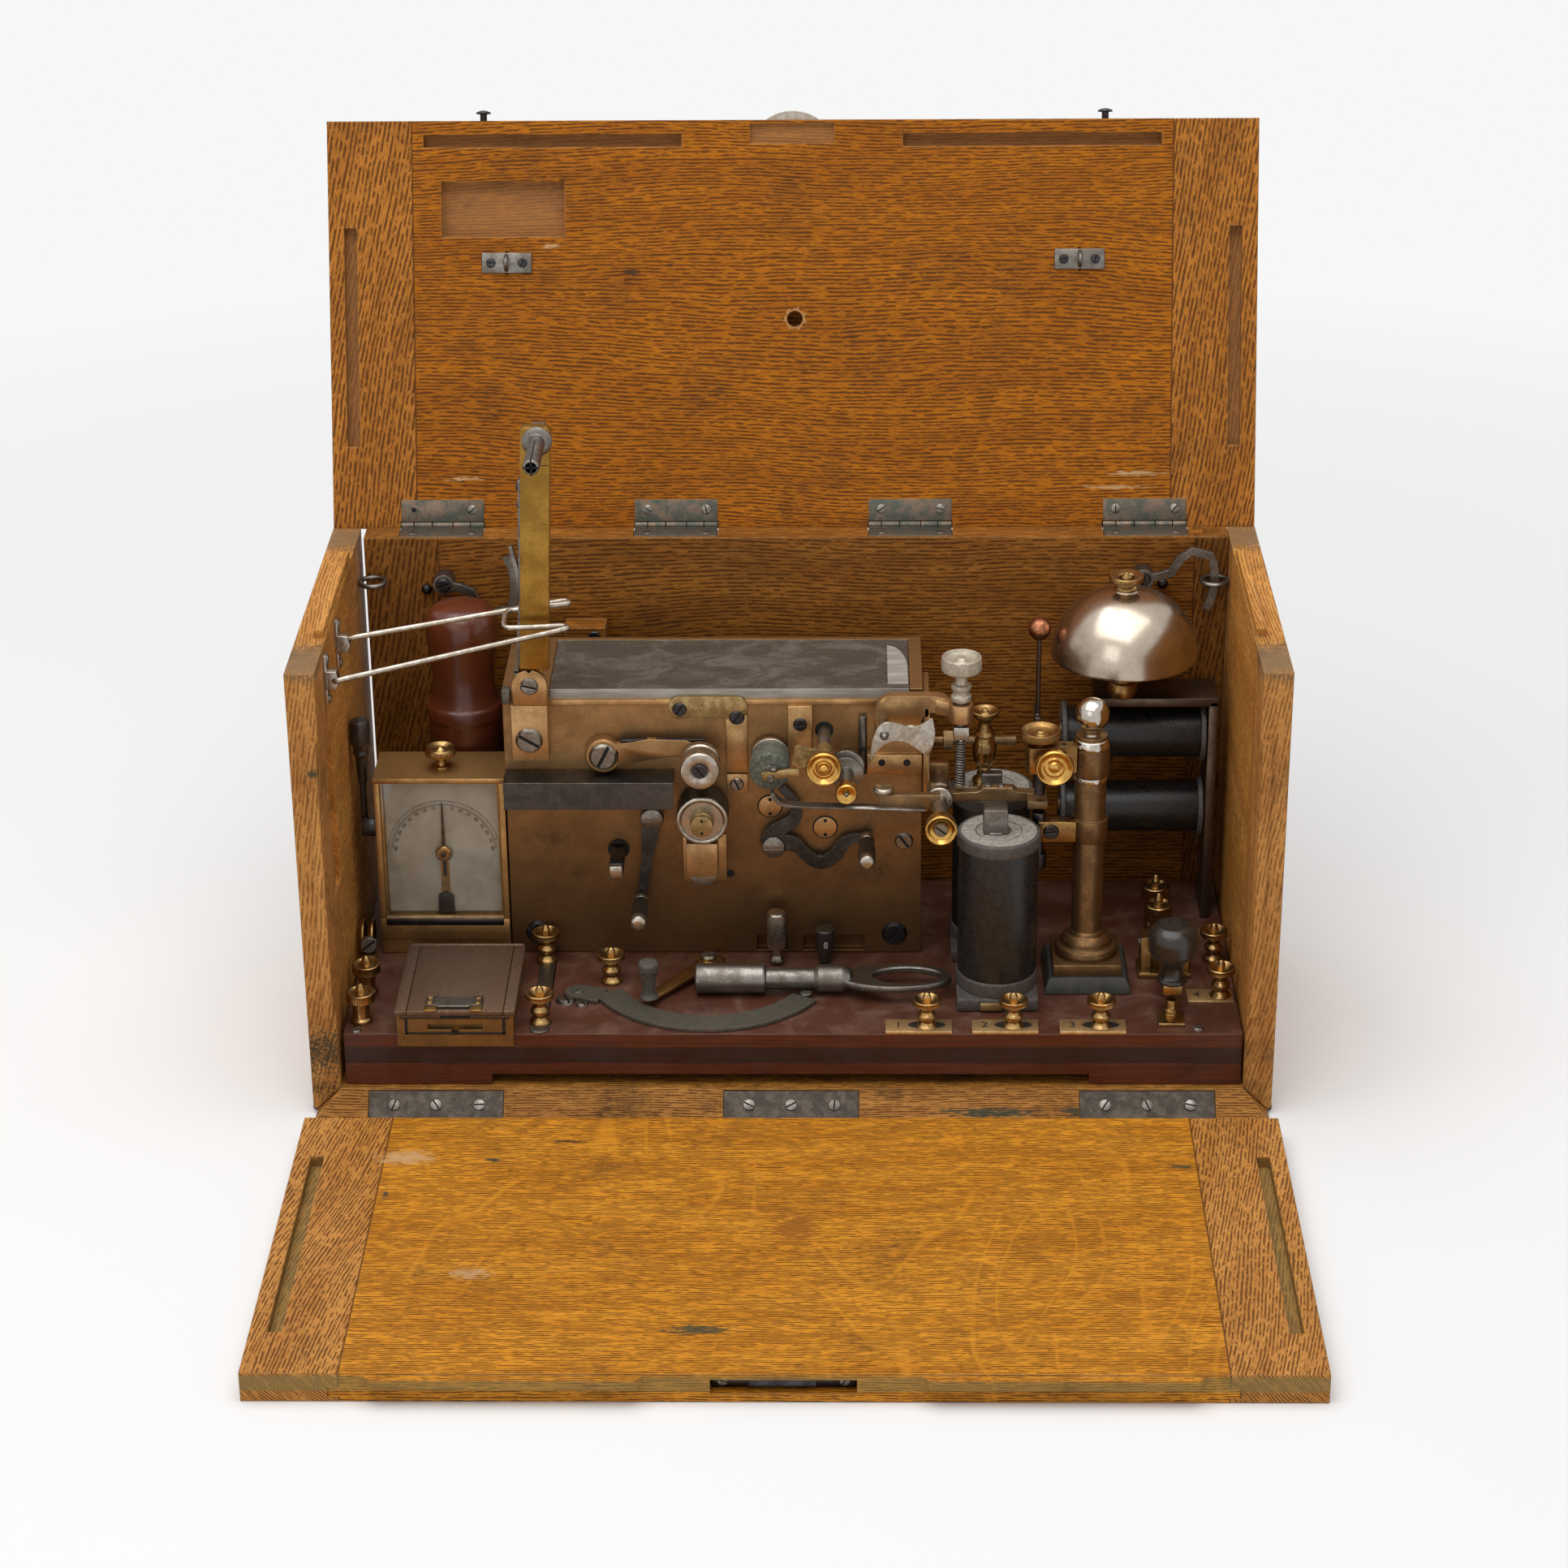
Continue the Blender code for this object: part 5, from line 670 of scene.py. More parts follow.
placed = put(tree, "GeometryNodeInstanceOnPoints", ("Points", given["Geometry"]),
    ("Instance", whole.outputs[0]), ("Rotation", posed.outputs[0]), ("Scale", size.outputs["Attribute"]))
real = put(tree, "GeometryNodeRealizeInstances", (0, placed.outputs[0]))
join(real.outputs[0], out[0])


def screws(name, rows, material, body="case", slot="steel", **inputs):
    """Slotted screw heads; each row is a place, the way it faces, its radius and the turn of its slot."""
    start = bpy.data.meshes.new(name)
    start.from_pydata([row[0] for row in rows], [], [])
    for label, kind, column in (("facing", "FLOAT_VECTOR", 1), ("size", "FLOAT", 2), ("turn", "FLOAT", 3)):
        layer = start.attributes.new(label, kind, "POINT")
        for item, row in zip(layer.data, rows):
            if kind == "FLOAT":
                item.value = row[column]
            else:
                item.vector = row[column]
    return grown(name, screw_tree, start, material, body, slot, **inputs)


lid_turn = Matrix.Translation(lid_axis) @ Matrix.Rotation(-lid_lean, 4, "X")
lid_facing = tuple(lid_turn.to_3x3() @ Vector((0, 0, -1)))
hinge_places = (-0.1524, -0.0508, 0.0508, 0.1524)
hinge_half, pin_radius = 0.018, 0.0016
wall_screws, lid_screws = [], []
for count, x in enumerate(hinge_places, 1):
    wall_leaf = block((x - hinge_half, x + hinge_half), (0.0759, 0.0868), (0.1989, 0.2001), 0.0002)
    knuckles = [turned(solid_bar(pin_radius, hinge_half * share), (x + start * hinge_half, *lid_axis[1:]),
        "right", 20, 0.0001) for start, share in ((-1, 0.3), (-0.68, 0.42), (-0.24, 0.48), (0.26, 0.4),
        (0.68, 0.32))]
    make(f"wall_hinge_{count}", bronze, wall_leaf, *knuckles, slot="bronze", replaces=[f"lid_hinge_{count}"])
    lid_leaf = moved(block((x - hinge_half, x + hinge_half), (-0.0111, -0.0017), (-0.0004, 0.0008), 0.0002),
        lid_turn)
    make(f"lid_leaf_{count}", bronze, lid_leaf, body="lid", slot="bronze")
    for side in (-0.0125, 0.013):
        wall_screws.append(((x + side, 0.0805, 0.2001), (0, 0, 1), 0.0021, 0.4 + 2.1 * count + 40 * side))
        if (count, side) != (1, -0.0125):
            lid_screws.append((tuple(lid_turn @ Vector((x + side, -0.0068, -0.0004))), lid_facing, 0.0022,
                1.1 * count - 30 * side))
screws("wall_hinge_screws", wall_screws, screw_steel, Head_Rise=0.02)
screws("lid_leaf_screws", lid_screws, screw_steel, "lid", Head_Rise=0.02)
empty_hole = [moved(turned(mm([(0, 0), (1.1, 0), (1.1, 0.03), (0, 0.03)]), (0, 0, 0), "down", 20, 0), lid_turn
    @ Matrix.Translation((hinge_places[0] - 0.0125, -0.0068, -0.0004)))]
make("empty_screw_hole", hole_dark, *empty_hole, body="lid", slot="bronze")

# Corner hinges: long leaves of browned steel let into the base's 45 degree edges.
# Three of them carry the front flap on countersunk screws, and one carries each side wall.
flap_leaves, edge_slope = (-0.148, 0, 0.148), math.radians(45)
flap_screws = []
slope_facing = (0, -math.sin(edge_slope), math.cos(edge_slope))
for x in flap_leaves:
    for side in (-0.0175, 0.0, 0.018):
        flap_screws.append(((x + side, -0.0791, 0.00695), slope_facing, 0.0026, 0.5 + 31 * x + 55 * side))
screws("flap_hinge_screws", flap_screws, steel, Head_Rise=0.1)
for name in ("flap_hinge_1", "flap_hinge_2", "flap_hinge_3", "left_wall_hinge", "right_wall_hinge"):
    clad(name, leaf_steel)


# Lid fittings: two steel staple plates with bent wire eyes, two studs, and a hole with a torn rim.
# The fittings are screwed or driven into the oak, and each is a piece of its own.
def bared(name, unwanted, body="case"):
    """A board's or block's own surface from the frame, without the faces at places that are unwanted."""
    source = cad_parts[name]
    mesh = source.data.copy()
    mesh.transform(source.matrix_world)
    material = mesh.materials[0]
    work = bmesh.new()
    work.from_mesh(mesh)
    bmesh.ops.remove_doubles(work, verts=work.verts, dist=1e-6)
    doomed = [face for face in work.faces if unwanted(face.calc_center_median())]
    bmesh.ops.delete(work, geom=doomed, context="FACES")
    work.to_mesh(mesh)
    work.free()
    made = kept(name + "_surface", mesh, material)
    made.data.shade_flat()
    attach(made, body)
    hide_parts(name)
    return made


def rounded_path(points, cut=0.004, steps=6):
    """The points of a path with its corners turned into short curves."""
    points = [Vector(p) for p in points]
    path = [points[0]]
    for before, corner, after in zip(points, points[1:], points[2:]):
        near = min(cut, (corner - before).length * 0.48)
        far = min(cut, (after - corner).length * 0.48)
        first = corner + (before - corner).normalized() * near
        last = corner + (after - corner).normalized() * far
        for i in range(steps + 1):
            t = i / steps
            path.append(first * (1 - t) ** 2 + corner * 2 * t * (1 - t) + last * t ** 2)
    return path + [points[-1]]


def tube(path, radius, sides=12, closed=False, flat=1.0):
    """Points and faces of a round wire along a path; flat makes its second width smaller."""
    path = [Vector(p) for p in path]
    count = len(path)
    points, faces = [], []
    side = None
    for i, spot in enumerate(path):
        before = path[i - 1] if i or closed else spot
        after = path[(i + 1) % count] if i < count - 1 or closed else spot
        ahead = (after - before).normalized()
        if side is None:
            side = ahead.orthogonal().normalized()
        side = (side - ahead * side.dot(ahead)).normalized()
        other = ahead.cross(side)
        for k in range(sides):
            angle = 2 * math.pi * k / sides
            points.append(spot + side * radius * math.cos(angle) + other * radius * flat * math.sin(angle))
    for i in range(count if closed else count - 1):
        for k in range(sides):
            a, b = i * sides + k, i * sides + (k + 1) % sides
            c, d = ((i + 1) % count) * sides + (k + 1) % sides, ((i + 1) % count) * sides + k
            faces.append((a, b, c, d))
    if not closed:
        faces += [tuple(reversed(range(sides))), tuple(range((count - 1) * sides, count * sides))]
    return points, faces


def loop(middle, across, up, radius, wire, steps=28):
    """A closed wire ring in the plane of two directions."""
    middle, across, up = Vector(middle), Vector(across), Vector(up)
    path = [middle + across * radius * math.cos(2 * math.pi * i / steps)
        + up * radius * math.sin(2 * math.pi * i / steps) for i in range(steps)]
    return tube(path, wire, 10, closed=True)


lid_back = lid_turn.inverted()
lid_edge = -0.1736
bared("lid", lambda c: (lid_back @ c).z < -1e-4 or (lid_back @ c).y < lid_edge - 1e-4, "lid")
staple_screws = []
for count, (x, y) in enumerate(((-0.1232, -0.1131), (0.1235, -0.1141)), 1):
    plate = block((x - 0.0108, x + 0.0108), (y - 0.0044, y + 0.0044), (-0.0012, 0.0002), 0.0005)
    make(f"staple_plate_{count}", steel, moved(plate, lid_turn), body="lid", slot="nickel")
    legs = [(x, y - 0.003, 0), (x, y - 0.003, -0.004), (x, y, -0.0072), (x, y + 0.003, -0.004),
        (x, y + 0.003, 0)]
    make(f"staple_eye_{count}", steel, moved(tube(rounded_path(legs, 0.003), 0.0009), lid_turn), body="lid",
        slot="steel")
    for side in (-0.0068, 0.0068):
        staple_screws.append((tuple(lid_turn @ Vector((x + side, y, -0.0012))), lid_facing, 0.0021, 0.6
            + 90 * side + x))
screws("staple_screws", staple_screws, dark_steel, "lid", "black", Head_Rise=0.3)
stud = mm([(0, -0.5), (1.5, -0.5), (1.5, 3), (3.3, 3.2), (3, 4), (1.2, 4.6), (0, 4.7)])
for count, x in enumerate((-0.133, 0.1345), 1):
    made = moved(turned(stud, (x, lid_edge, 0.006), "front", 24), lid_turn)
    make(f"lid_stud_{count}", dark_steel, made, body="lid", slot="steel")
ragged = [(0.0035 + 0.0022 * (0.5 + 0.5 * math.sin(2.3 * i) * math.cos(0.9 * i)), i) for i in range(30)]
rim_points = [(r * math.cos(i * math.pi / 15), r * math.sin(i * math.pi / 15)) for r, i in ragged]
inner_points = [(0.0034 * math.cos(i * math.pi / 15), 0.0034 * math.sin(i * math.pi / 15)) for i in range(30)]
torn = [Vector((0.001 + x, -0.0889 + y, -0.00004)) for x, y in rim_points]
torn += [Vector((0.001 + x, -0.0889 + y, -0.0001)) for x, y in inner_points]


def plain_finish(name, colour, rough=0.5):
    """A material of one colour."""
    made, _, shader = finish_of(name)
    shader.inputs["Base Color"].default_value = colour
    shader.inputs["Roughness"].default_value = rough
    return made


bare_wood = plain_finish("torn_oak", (0.42, 0.2, 0.06, 1), 0.8)
make("torn_rim", bare_wood, ([lid_turn @ p for p in torn],
    [(i, (i + 1) % 30, 30 + (i + 1) % 30, 30 + i) for i in range(30)]), body="lid", slot="oak")
clad("lid_disc", nickel)

# Side walls: screw eyes of bent steel wire, turned into the wood near the back wall.
# On the left wall two nickelled brackets, with two screws each, hold the springy wire bail.
bared("left_wall", lambda c: c.x > -0.1879 and c.z > 0.16, "left_wall")
bared("right_wall", lambda c: c.x < 0.1879 and c.z > 0.16)
for side, name in ((-1, "left"), (1, "right")):
    eye = (side * 0.1817, 0.067, 0.1825)
    shank = tube([(side * 0.1875, 0.067, 0.1825), (side * 0.1905, 0.067, 0.1825)], 0.0011)
    make(f"{name}_screw_eye", steel, loop(eye, (1, 0, 0), (0, 1, 0), 0.0055, 0.0011), shank, slot="steel",
        body="left_wall" if side < 0 else "case")
bail_screws = []
for count, y in enumerate((-0.009, -0.046), 1):
    plate = block((-0.1883, -0.1865), (y - 0.0025, y + 0.0025), (0.175, 0.197), 0.0004)
    jaw = cut_plate([(y2, z) for y2, z in ((-0.1875, 0.1818), (-0.1828, 0.1822), (-0.1818, 0.186),
        (-0.1828, 0.1898), (-0.1875, 0.1902))], "y", (y - 0.0025, y + 0.0025), 0.0004)
    make(f"bail_bracket_{count}", nickel, plate, jaw, body="left_wall", slot="nickel")
    bail_screws += [((-0.1865, y, 0.1775), (1, 0, 0), 0.0019, 0.4),
        ((-0.1865, y, 0.1945), (1, 0, 0), 0.0019, 1.9)]
screws("bail_screws", bail_screws, screw_steel, "left_wall", Head_Rise=0.35)
bail_points = mm([(-184, -12.5, 186), (-184, -5.5, 186), (-180.5, -5.5, 187.2), (-94, 11.7, 196.5),
    (-91.8, 9.5, 196.5), (-94, 7.3, 196.5), (-116.3, 6.1, 194.3), (-118.5, 3.9, 194.3), (-118.5, -6.1, 192.3),
    (-116.3, -8.3, 192.3), (-93.5, -8.3, 193.5), (-91.3, -10.5, 193.5), (-93.5, -12.7, 193.5),
    (-180.5, -49.5, 187.2), (-184, -49.5, 186), (-184, -42.5, 186)])
make("bail_wire", nickel, tube(rounded_path(bail_points, 0.0035), 0.0012, 14), body="wire_bail",
    slot="nickel", replaces=["wire_bail"])

# Hooks: filed from flat steel, each hung on a domed screw in the back wall.
# A small round-headed stop is driven in beside each one.
for name in ("left_hook", "right_hook"):
    clad(name, steel)
screws("left_hook_screw", [((-0.151, 0.0658, 0.1814), (0, -1, 0), 0.0034, 0.3)], dark_steel, "left_hook",
    "black", Head_Rise=0.45)
screws("right_hook_screw", [((0.151, 0.0658, 0.1835), (0, -1, 0), 0.0034, 1.3)], dark_steel, "right_hook",
    "black", Head_Rise=0.45)
pip = mm([(0, 0), (2.4, 0), (2.4, 0.8), (1.8, 1.9), (0.8, 2.4), (0, 2.5)])
make("hook_stops", dark_steel, turned(pip, (-0.1592, 0.074, 0.1765), "front", 20),
    turned(pip, (0.16, 0.074, 0.1785), "front", 20), slot="black")
screws("cleat_screw", [((-0.0862, 0.064, 0.158), (0, -1, 0), 0.0026, 0.8)], dark_steel, slot="black",
    Head_Rise=0.25)

# Lock: a blued steel case sunk in the front flap's edge and held by two countersunk screws.
# Its bolt plate stands between them.
lock_front = -0.2846
lock = block((-0.0265, 0.0265), (lock_front + 0.004, lock_front + 0.0065), (0.0036, 0.0094), 0.0003)
bolt = block((-0.013, 0.012), (lock_front + 0.002, lock_front + 0.0042), (0.005, 0.0082), 0.0004)
make("lock_case", dark_steel, lock, bolt, body="front_flap", slot="black")
screws("lock_screws", [((x, lock_front + 0.004, 0.0065), (0, -1, 0), 0.0022, 0.4 + 30 * x)
    for x in (-0.0225, 0.0225)], screw_steel, "front_flap", Head_Rise=0.15)

# Plinth: three glued layers of mahogany, the middle one darker, on low feet.
# Its top is rubbed and dusty round the instruments that are screwed down to it.
plinth_wood, tree, shader = finish_of("plinth_mahogany")
spot = put(tree, "ShaderNodeTexCoord").outputs["Object"]
split = put(tree, "ShaderNodeSeparateXYZ", (0, spot))
fibre = noise(stretched(spot, 30, 900), 1, 4, 0.6, 0.4)
cloud = noise(stretched(spot, 60, 60), 1, 4, 0.6, 0.5)
red = tint(fade(fibre, 0.3, 0.7), (0.13, 0.029, 0.009, 1), (0.064, 0.013, 0.006, 1))
dark = tint(fade(fibre, 0.3, 0.7), (0.04, 0.012, 0.008, 1), (0.023, 0.008, 0.006, 1))
band = maths("MULTIPLY", maths("GREATER_THAN", split.outputs[2], 0.0222),
    maths("LESS_THAN", split.outputs[2], 0.0298))
layered = tint(band, red, dark)
top_face = fade(split.outputs[2], 0.0354, 0.0359)
dusty = tint(fade(cloud, 0.42, 0.75), (0.085, 0.026, 0.014, 1), (0.15, 0.072, 0.045, 1))
worn = wear_in(spot, tint(top_face, layered, dusty), Edge_Color=(0.26, 0.09, 0.04, 1), Edge=0.6, Dirt=0.5,
    Scratches=0.3, Edge_Radius=0.0007, Grime=(0.02, 0.01, 0.008, 1))
join(worn["Color"], shader.inputs["Base Color"])
join(maths("ADD", fade(cloud, 0.2, 1.6), 0.35), shader.inputs["Roughness"])
bumped = put(tree, "ShaderNodeBump", ("Strength", 0.12), ("Distance", 0.0002), ("Height", fibre),
    ("Normal", worn["Normal"]))
join(bumped.outputs[0], shader.inputs["Normal"])
clad("plinth", plinth_wood)
deck = 0.036
bared("plinth", lambda c: c.z > deck + 1e-4)

# Binding posts: turned brass with dished, knurled heads and a pointed nut in the middle of each.
# Each stands on a round foot and is screwed down through the plinth.
def dished_post(height, wide):
    """The profile of a post with a waisted stem and a dished head."""
    waist = 0.0026
    return [(0, -0.0002), (0.0046, -0.0002), (0.0046, height * 0.08), (0.0036, height * 0.14),
        (0.0028, height * 0.2), (0.004, height * 0.3), (0.004, height * 0.38), (waist, height * 0.46),
        (waist, height * 0.52), (wide, height * 0.68), (wide, height * 0.8), (wide - 0.0008, height * 0.82),
        (0.0019, height * 0.66), (0.0019, height * 0.86), (0.0012, height * 0.96), (0, height)]


def barrel_post(height, wide):
    """The profile of a tall post with a straight barrel under its head."""
    return [(0, -0.0002), (0.0046, -0.0002), (0.0046, height * 0.1), (0.0036, height * 0.14),
        (0.0036, height * 0.55), (wide, height * 0.57), (wide, height * 0.78), (wide - 0.001, height * 0.8),
        (0.0042, height * 0.76), (0.002, height * 0.76), (0.002, height * 0.88), (0.0011, height * 0.98),
        (0, height)]


posts = ((-0.18, -0.035, 0.018, 1), (-0.1795, -0.06, 0.018, 1), (-0.106, -0.006, 0.018, 0),
    (-0.1046, -0.0615, 0.018, 0), (-0.0769, -0.0249, 0.017, 0), (0.1805, -0.0386, 0.018, 0),
    (0.1805, -0.0048, 0.018, 0), (0.1575, 0.026, 0.026, 1), (0.1575, 0.008, 0.026, 1),
    (0.0564, -0.0655, 0.017, 0), (0.0923, -0.0655, 0.017, 0), (0.1286, -0.0655, 0.017, 0))
for count, (x, y, height, barrel) in enumerate(posts, 1):
    profile = barrel_post(height, 0.006) if barrel else dished_post(height, 0.006)
    edge = (height * 0.575, height * 0.77, 44, 0.00025, 0.0055) if barrel else (height * 0.69, height * 0.79,
        44, 0.00025, 0.0055)
    make(f"binding_post_{count}", bright_brass, turned(profile, (x, y, deck), ease=0.0003, knurl=edge))

# Strap between two posts: a cut strip of steel, clamped under them, with turned washers.
# Round-headed screws hold down what is below the plinth's top.
make("post_strap", steel, block((-0.1086, -0.102), (-0.064, -0.004), (deck - 0.0003, deck + 0.001), 0.0003),
    slot="steel")
washers = [turned(solid_bar(r, 0.0012), (x, y, deck - 0.0002), "up", 28, 0.0003)
    for x, y, r in ((-0.1046, -0.067, 0.0042), (0.0564, -0.0655, 0.0052), (0.0923, -0.0655, 0.0052),
    (0.1286, -0.0655, 0.0052))]
make("washers", steel, *washers, slot="steel")
deck_screws = mm([(-95.5, -42, 4.4), (-88.5, -44.8, 3), (-118, -20, 2.4), (42, -66, 2.4), (169, -66, 2.4),
    (-181, -68, 2.4)])
screws("deck_screws", [((x, y, deck), (0, 0, 1), r, 0.5 + 17 * x) for x, y, r in deck_screws], screw_steel,
    Head_Rise=0.4)

# Numbered plates: thin sheet brass, clamped under the front posts and set before the key.
# Plain numerals are cut into them and filled with black wax.
def numeral(text, height, place, facing="up", thick=0.00012):
    """Points and faces of figures in the plain built-in letter shape, standing on a surface."""
    curve = bpy.data.curves.new("numeral", "FONT")
    curve.body, curve.size, curve.extrude = text, height, thick
    curve.align_x = curve.align_y = "CENTER"
    curve.resolution_u = 3
    shown = bpy.data.objects.new("numeral", curve)
    bpy.context.scene.collection.objects.link(shown)
    bpy.context.view_layer.update()
    mesh = bpy.data.meshes.new_from_object(shown.evaluated_get(bpy.context.evaluated_depsgraph_get()))
    bpy.data.objects.remove(shown)
    around = TURNS[facing] if isinstance(facing, str) else facing
    matrix = Matrix.Translation(place) @ around
    parts = [matrix @ v.co for v in mesh.vertices], [tuple(p.vertices) for p in mesh.polygons]
    bpy.data.meshes.remove(mesh)
    return parts


ink_black = plain_finish("black_wax", (0.012, 0.01, 0.009, 1), 0.6)
plate_yellow = metal("plate_yellow", (0.68, 0.45, 0.21, 1), (0.42, 0.25, 0.105, 1), 0.8, 0.36, 0.5, cloud=0.3,
    edge=(0.72, 0.5, 0.26, 1), dirt=0.4, metallic=0.8)
plates, figures, beds = [], [], []
for text, x in (("1", 0.0564), ("2", 0.0923), ("3", 0.1286)):
    plates.append(block((x - 0.0172, x + 0.0104), (-0.0714, -0.0605), (deck - 0.0002, deck + 0.0014), 0.0003))
    figures.append(numeral(text, 0.0066, (x - 0.0118, -0.0655, deck + 0.0014)))
    beds.append(cut_plate([(x + 0.0078 * math.cos(a * math.pi / 14), -0.0655
        + 0.003 * math.sin(a * math.pi / 14)) for a in range(28)], "z", (deck + 0.0012, deck + 0.0015), 0))
plates.append(block((0.1665, 0.186), (-0.044, -0.033), (deck - 0.0002, deck + 0.001), 0.0003))
figures.append(numeral("4", 0.0062, (0.1706, -0.0385, deck + 0.001)))
make("post_slots", hole_dark, *beds, slot="black")
make("number_plates", plate_yellow, *plates)
make("number_figures", ink_black, *figures, slot="black", sharp=20)

# Morse key: a brass lever on a pin between two brass cheeks, over a contact on a small block.
# Its knob is turned from ebonite and screwed down on the lever's front end.
cheeks = [cut_plate([(-0.0215, deck - 0.0002), (-0.0085, deck - 0.0002), (-0.0085, 0.048), (-0.0105, 0.054),
    (-0.0195, 0.054), (-0.0215, 0.048)], "x", span, 0.0005) for span in ((0.148, 0.1525), (0.1645, 0.169))]
bridge = block((0.147, 0.17), (-0.0225, -0.0075), (deck - 0.0002, deck + 0.0025), 0.0006)
make("key_cheeks", brass, *cheeks, bridge)
screws("key_cheek_screws", [((0.169, -0.015, 0.05), (1, 0, 0), 0.0024, 0.5),
    ((0.148, -0.015, 0.05), (-1, 0, 0), 0.0024, 1.2)], screw_steel, Head_Rise=0.3)
anvil = block((0.1526, 0.1638), (-0.0652, -0.054), (deck - 0.0002, deck + 0.0018), 0.0004)
make("key_anvil", bright_brass, anvil, turned(solid_bar(0.0034, 0.004, (0.0022, 0.0038)),
    (0.1585, -0.055, deck)))
ebonite = metal("ebonite", (0.02, 0.015, 0.012, 1), (0.045, 0.033, 0.025, 1), 0.6, 0.22, 0.45, metallic=0.0,
    edge=(0.07, 0.06, 0.05, 1), edge_amount=0.4, dirt=0.3, relief=0.04, radius=0.0005)
lever_bar = block((0.1545, 0.1625), (-0.059, -0.0045), (0.0477, 0.0523), 0.0007)
pin_bar = turned(solid_bar(0.0018, 0.0114), (0.1528, -0.015, 0.05), "right", 20)
make("key_bar", bright_brass, lever_bar, pin_bar, body="key_lever", replaces=["key_lever"])
knob = mm([(0, 0), (6.4, 0), (6.4, 1.8), (4.6, 2.6), (4.2, 7), (6.2, 10), (10.2, 14), (10.6, 20), (9.8, 24),
    (7, 26.5), (3, 26.2), (0, 26.2)])
make("key_knob", ebonite, turned(knob, (0.1585, -0.055, 0.0525), ease=0.0009), body="key_lever", slot="black")
screws("key_bar_screws", [((0.1585, -0.01, 0.0523), (0, 0, 1), 0.0026, 0.7),
    ((0.1585, -0.032, 0.0523), (0, 0, 1), 0.0022, 1.9)], screw_steel, "key_lever", Head_Rise=0.35)

# Winding key: a nickelled barrel with a square socket, a slimmer shank and a flat forged bow.
# It lies loose on the plinth, ready for the winding square.
barrel_middle = (-0.0408, -0.0345, 0.0428)
shank_profile = mm([(3.4, 1), (3.4, 0), (6, 0), (6.5, 0.6), (6.5, 28.5), (6, 29.6), (4.6, 30), (4.6, 50),
    (6, 52), (6, 62), (4.5, 65.5), (1.4, 66.8)])
steps = 40
shank_points, shank_faces = turned(shank_profile, barrel_middle, "right", steps)
socket_faces = [face for face in shank_faces if len(face) == 4]
hole = [(barrel_middle[0] + dx, barrel_middle[1] + dy, barrel_middle[2] + dz) for dx in (0.001, 0.014)
    for dy, dz in ((-0.0028, -0.0028), (0.0028, -0.0028), (0.0028, 0.0028), (-0.0028, 0.0028))]
socket = (hole, [(0, 1, 5, 4), (1, 2, 6, 5), (2, 3, 7, 6), (3, 0, 4, 7), (4, 5, 6, 7)])
ring_steps = 40
bow_points, bow_faces = [], []
for i in range(ring_steps):
    angle = 2 * math.pi * i / ring_steps
    for length, width, middle, level in ((0.024, 0.011, 0.0435, -0.0009), (0.0236, 0.0106, 0.0435, -0.0015),
            (0.015, 0.0077, 0.0485, -0.0015), (0.0145, 0.0072, 0.0485, -0.0009),
            (0.0145, 0.0072, 0.0485, 0.0009), (0.015, 0.0077, 0.0485, 0.0015),
            (0.0236, 0.0106, 0.0435, 0.0015), (0.024, 0.011, 0.0435, 0.0009)):
        bow_points.append((middle + length * math.cos(angle), barrel_middle[1] + width * math.sin(angle),
            barrel_middle[2] + level))
for i in range(ring_steps):
    for k in range(8):
        a, b = i * 8 + k, i * 8 + (k + 1) % 8
        c, d = ((i + 1) % ring_steps) * 8 + (k + 1) % 8, ((i + 1) % ring_steps) * 8 + k
        bow_faces.append((a, b, c, d))
make("clock_key", steel, (shank_points, socket_faces), (bow_points, bow_faces), body="winding_key",
    slot="nickel", replaces=["winding_key"])
make("clock_key_socket", hole_dark, socket, body="winding_key", slot="nickel")


# Galvanometer: a brass case with a white card dial behind a pane, and a knurled knob on top.
# A blued needle swings in front of the scale, which is printed in black.
lacquer = metal("lacquered_brass", (0.56, 0.33, 0.12, 1), (0.33, 0.175, 0.06, 1), 0.8, 0.34, 0.52, cloud=0.05,
    edge=(0.62, 0.4, 0.15, 1), dirt=0.45, metallic=0.85, scratches=0.5, relief=0.06)
bared("galvanometer_case", lambda c: c.z > 0.1195)
bpy.data.objects["galvanometer_case_surface"].data.materials[0] = lacquer
card, tree, shader = finish_of("dial_card")
spot = put(tree, "ShaderNodeTexCoord").outputs["Object"]
age = noise(stretched(spot, 90, 90), 1, 4, 0.6, 0.4)
join(tint(fade(age, 0.35, 0.75), (0.56, 0.51, 0.43, 1), (0.44, 0.37, 0.28, 1)), shader.inputs["Base Color"])
shader.inputs["Roughness"].default_value = 0.65
make("dial_card", card, block((-0.174, -0.1256), (0.0072, 0.0079), (0.0537, 0.116), 0.0001))
pivot_x, pivot_z = -0.1494, 0.0824
scale_radius, scale_face = 0.0222, 0.0071

tick_tree, given, out = geometry_tree("scale_ticks",
    [("Count", "NodeSocketInt", 33), ("Radius", "NodeSocketFloat", 0.02), ("Sweep", "NodeSocketFloat", 2.5),
    ("Length", "NodeSocketFloat", 0.0012), ("Width", "NodeSocketFloat", 0.0001),
    ("Every", "NodeSocketInt", 4), ("Material", "NodeSocketMaterial", None)])
tree = tick_tree
spots = put(tree, "GeometryNodePoints", ("Count", given["Count"]))
index = put(tree, "GeometryNodeInputIndex").outputs[0]
last = maths("SUBTRACT", given["Count"], 1)
share = maths("SUBTRACT", maths("DIVIDE", index, last), 0.5)
angle = maths("MULTIPLY", share, given["Sweep"])
longer = maths("LESS_THAN", maths("MODULO", index, given["Every"]), 0.5)
tall = maths("ADD", maths("MULTIPLY", longer, 0.8), 1.0)
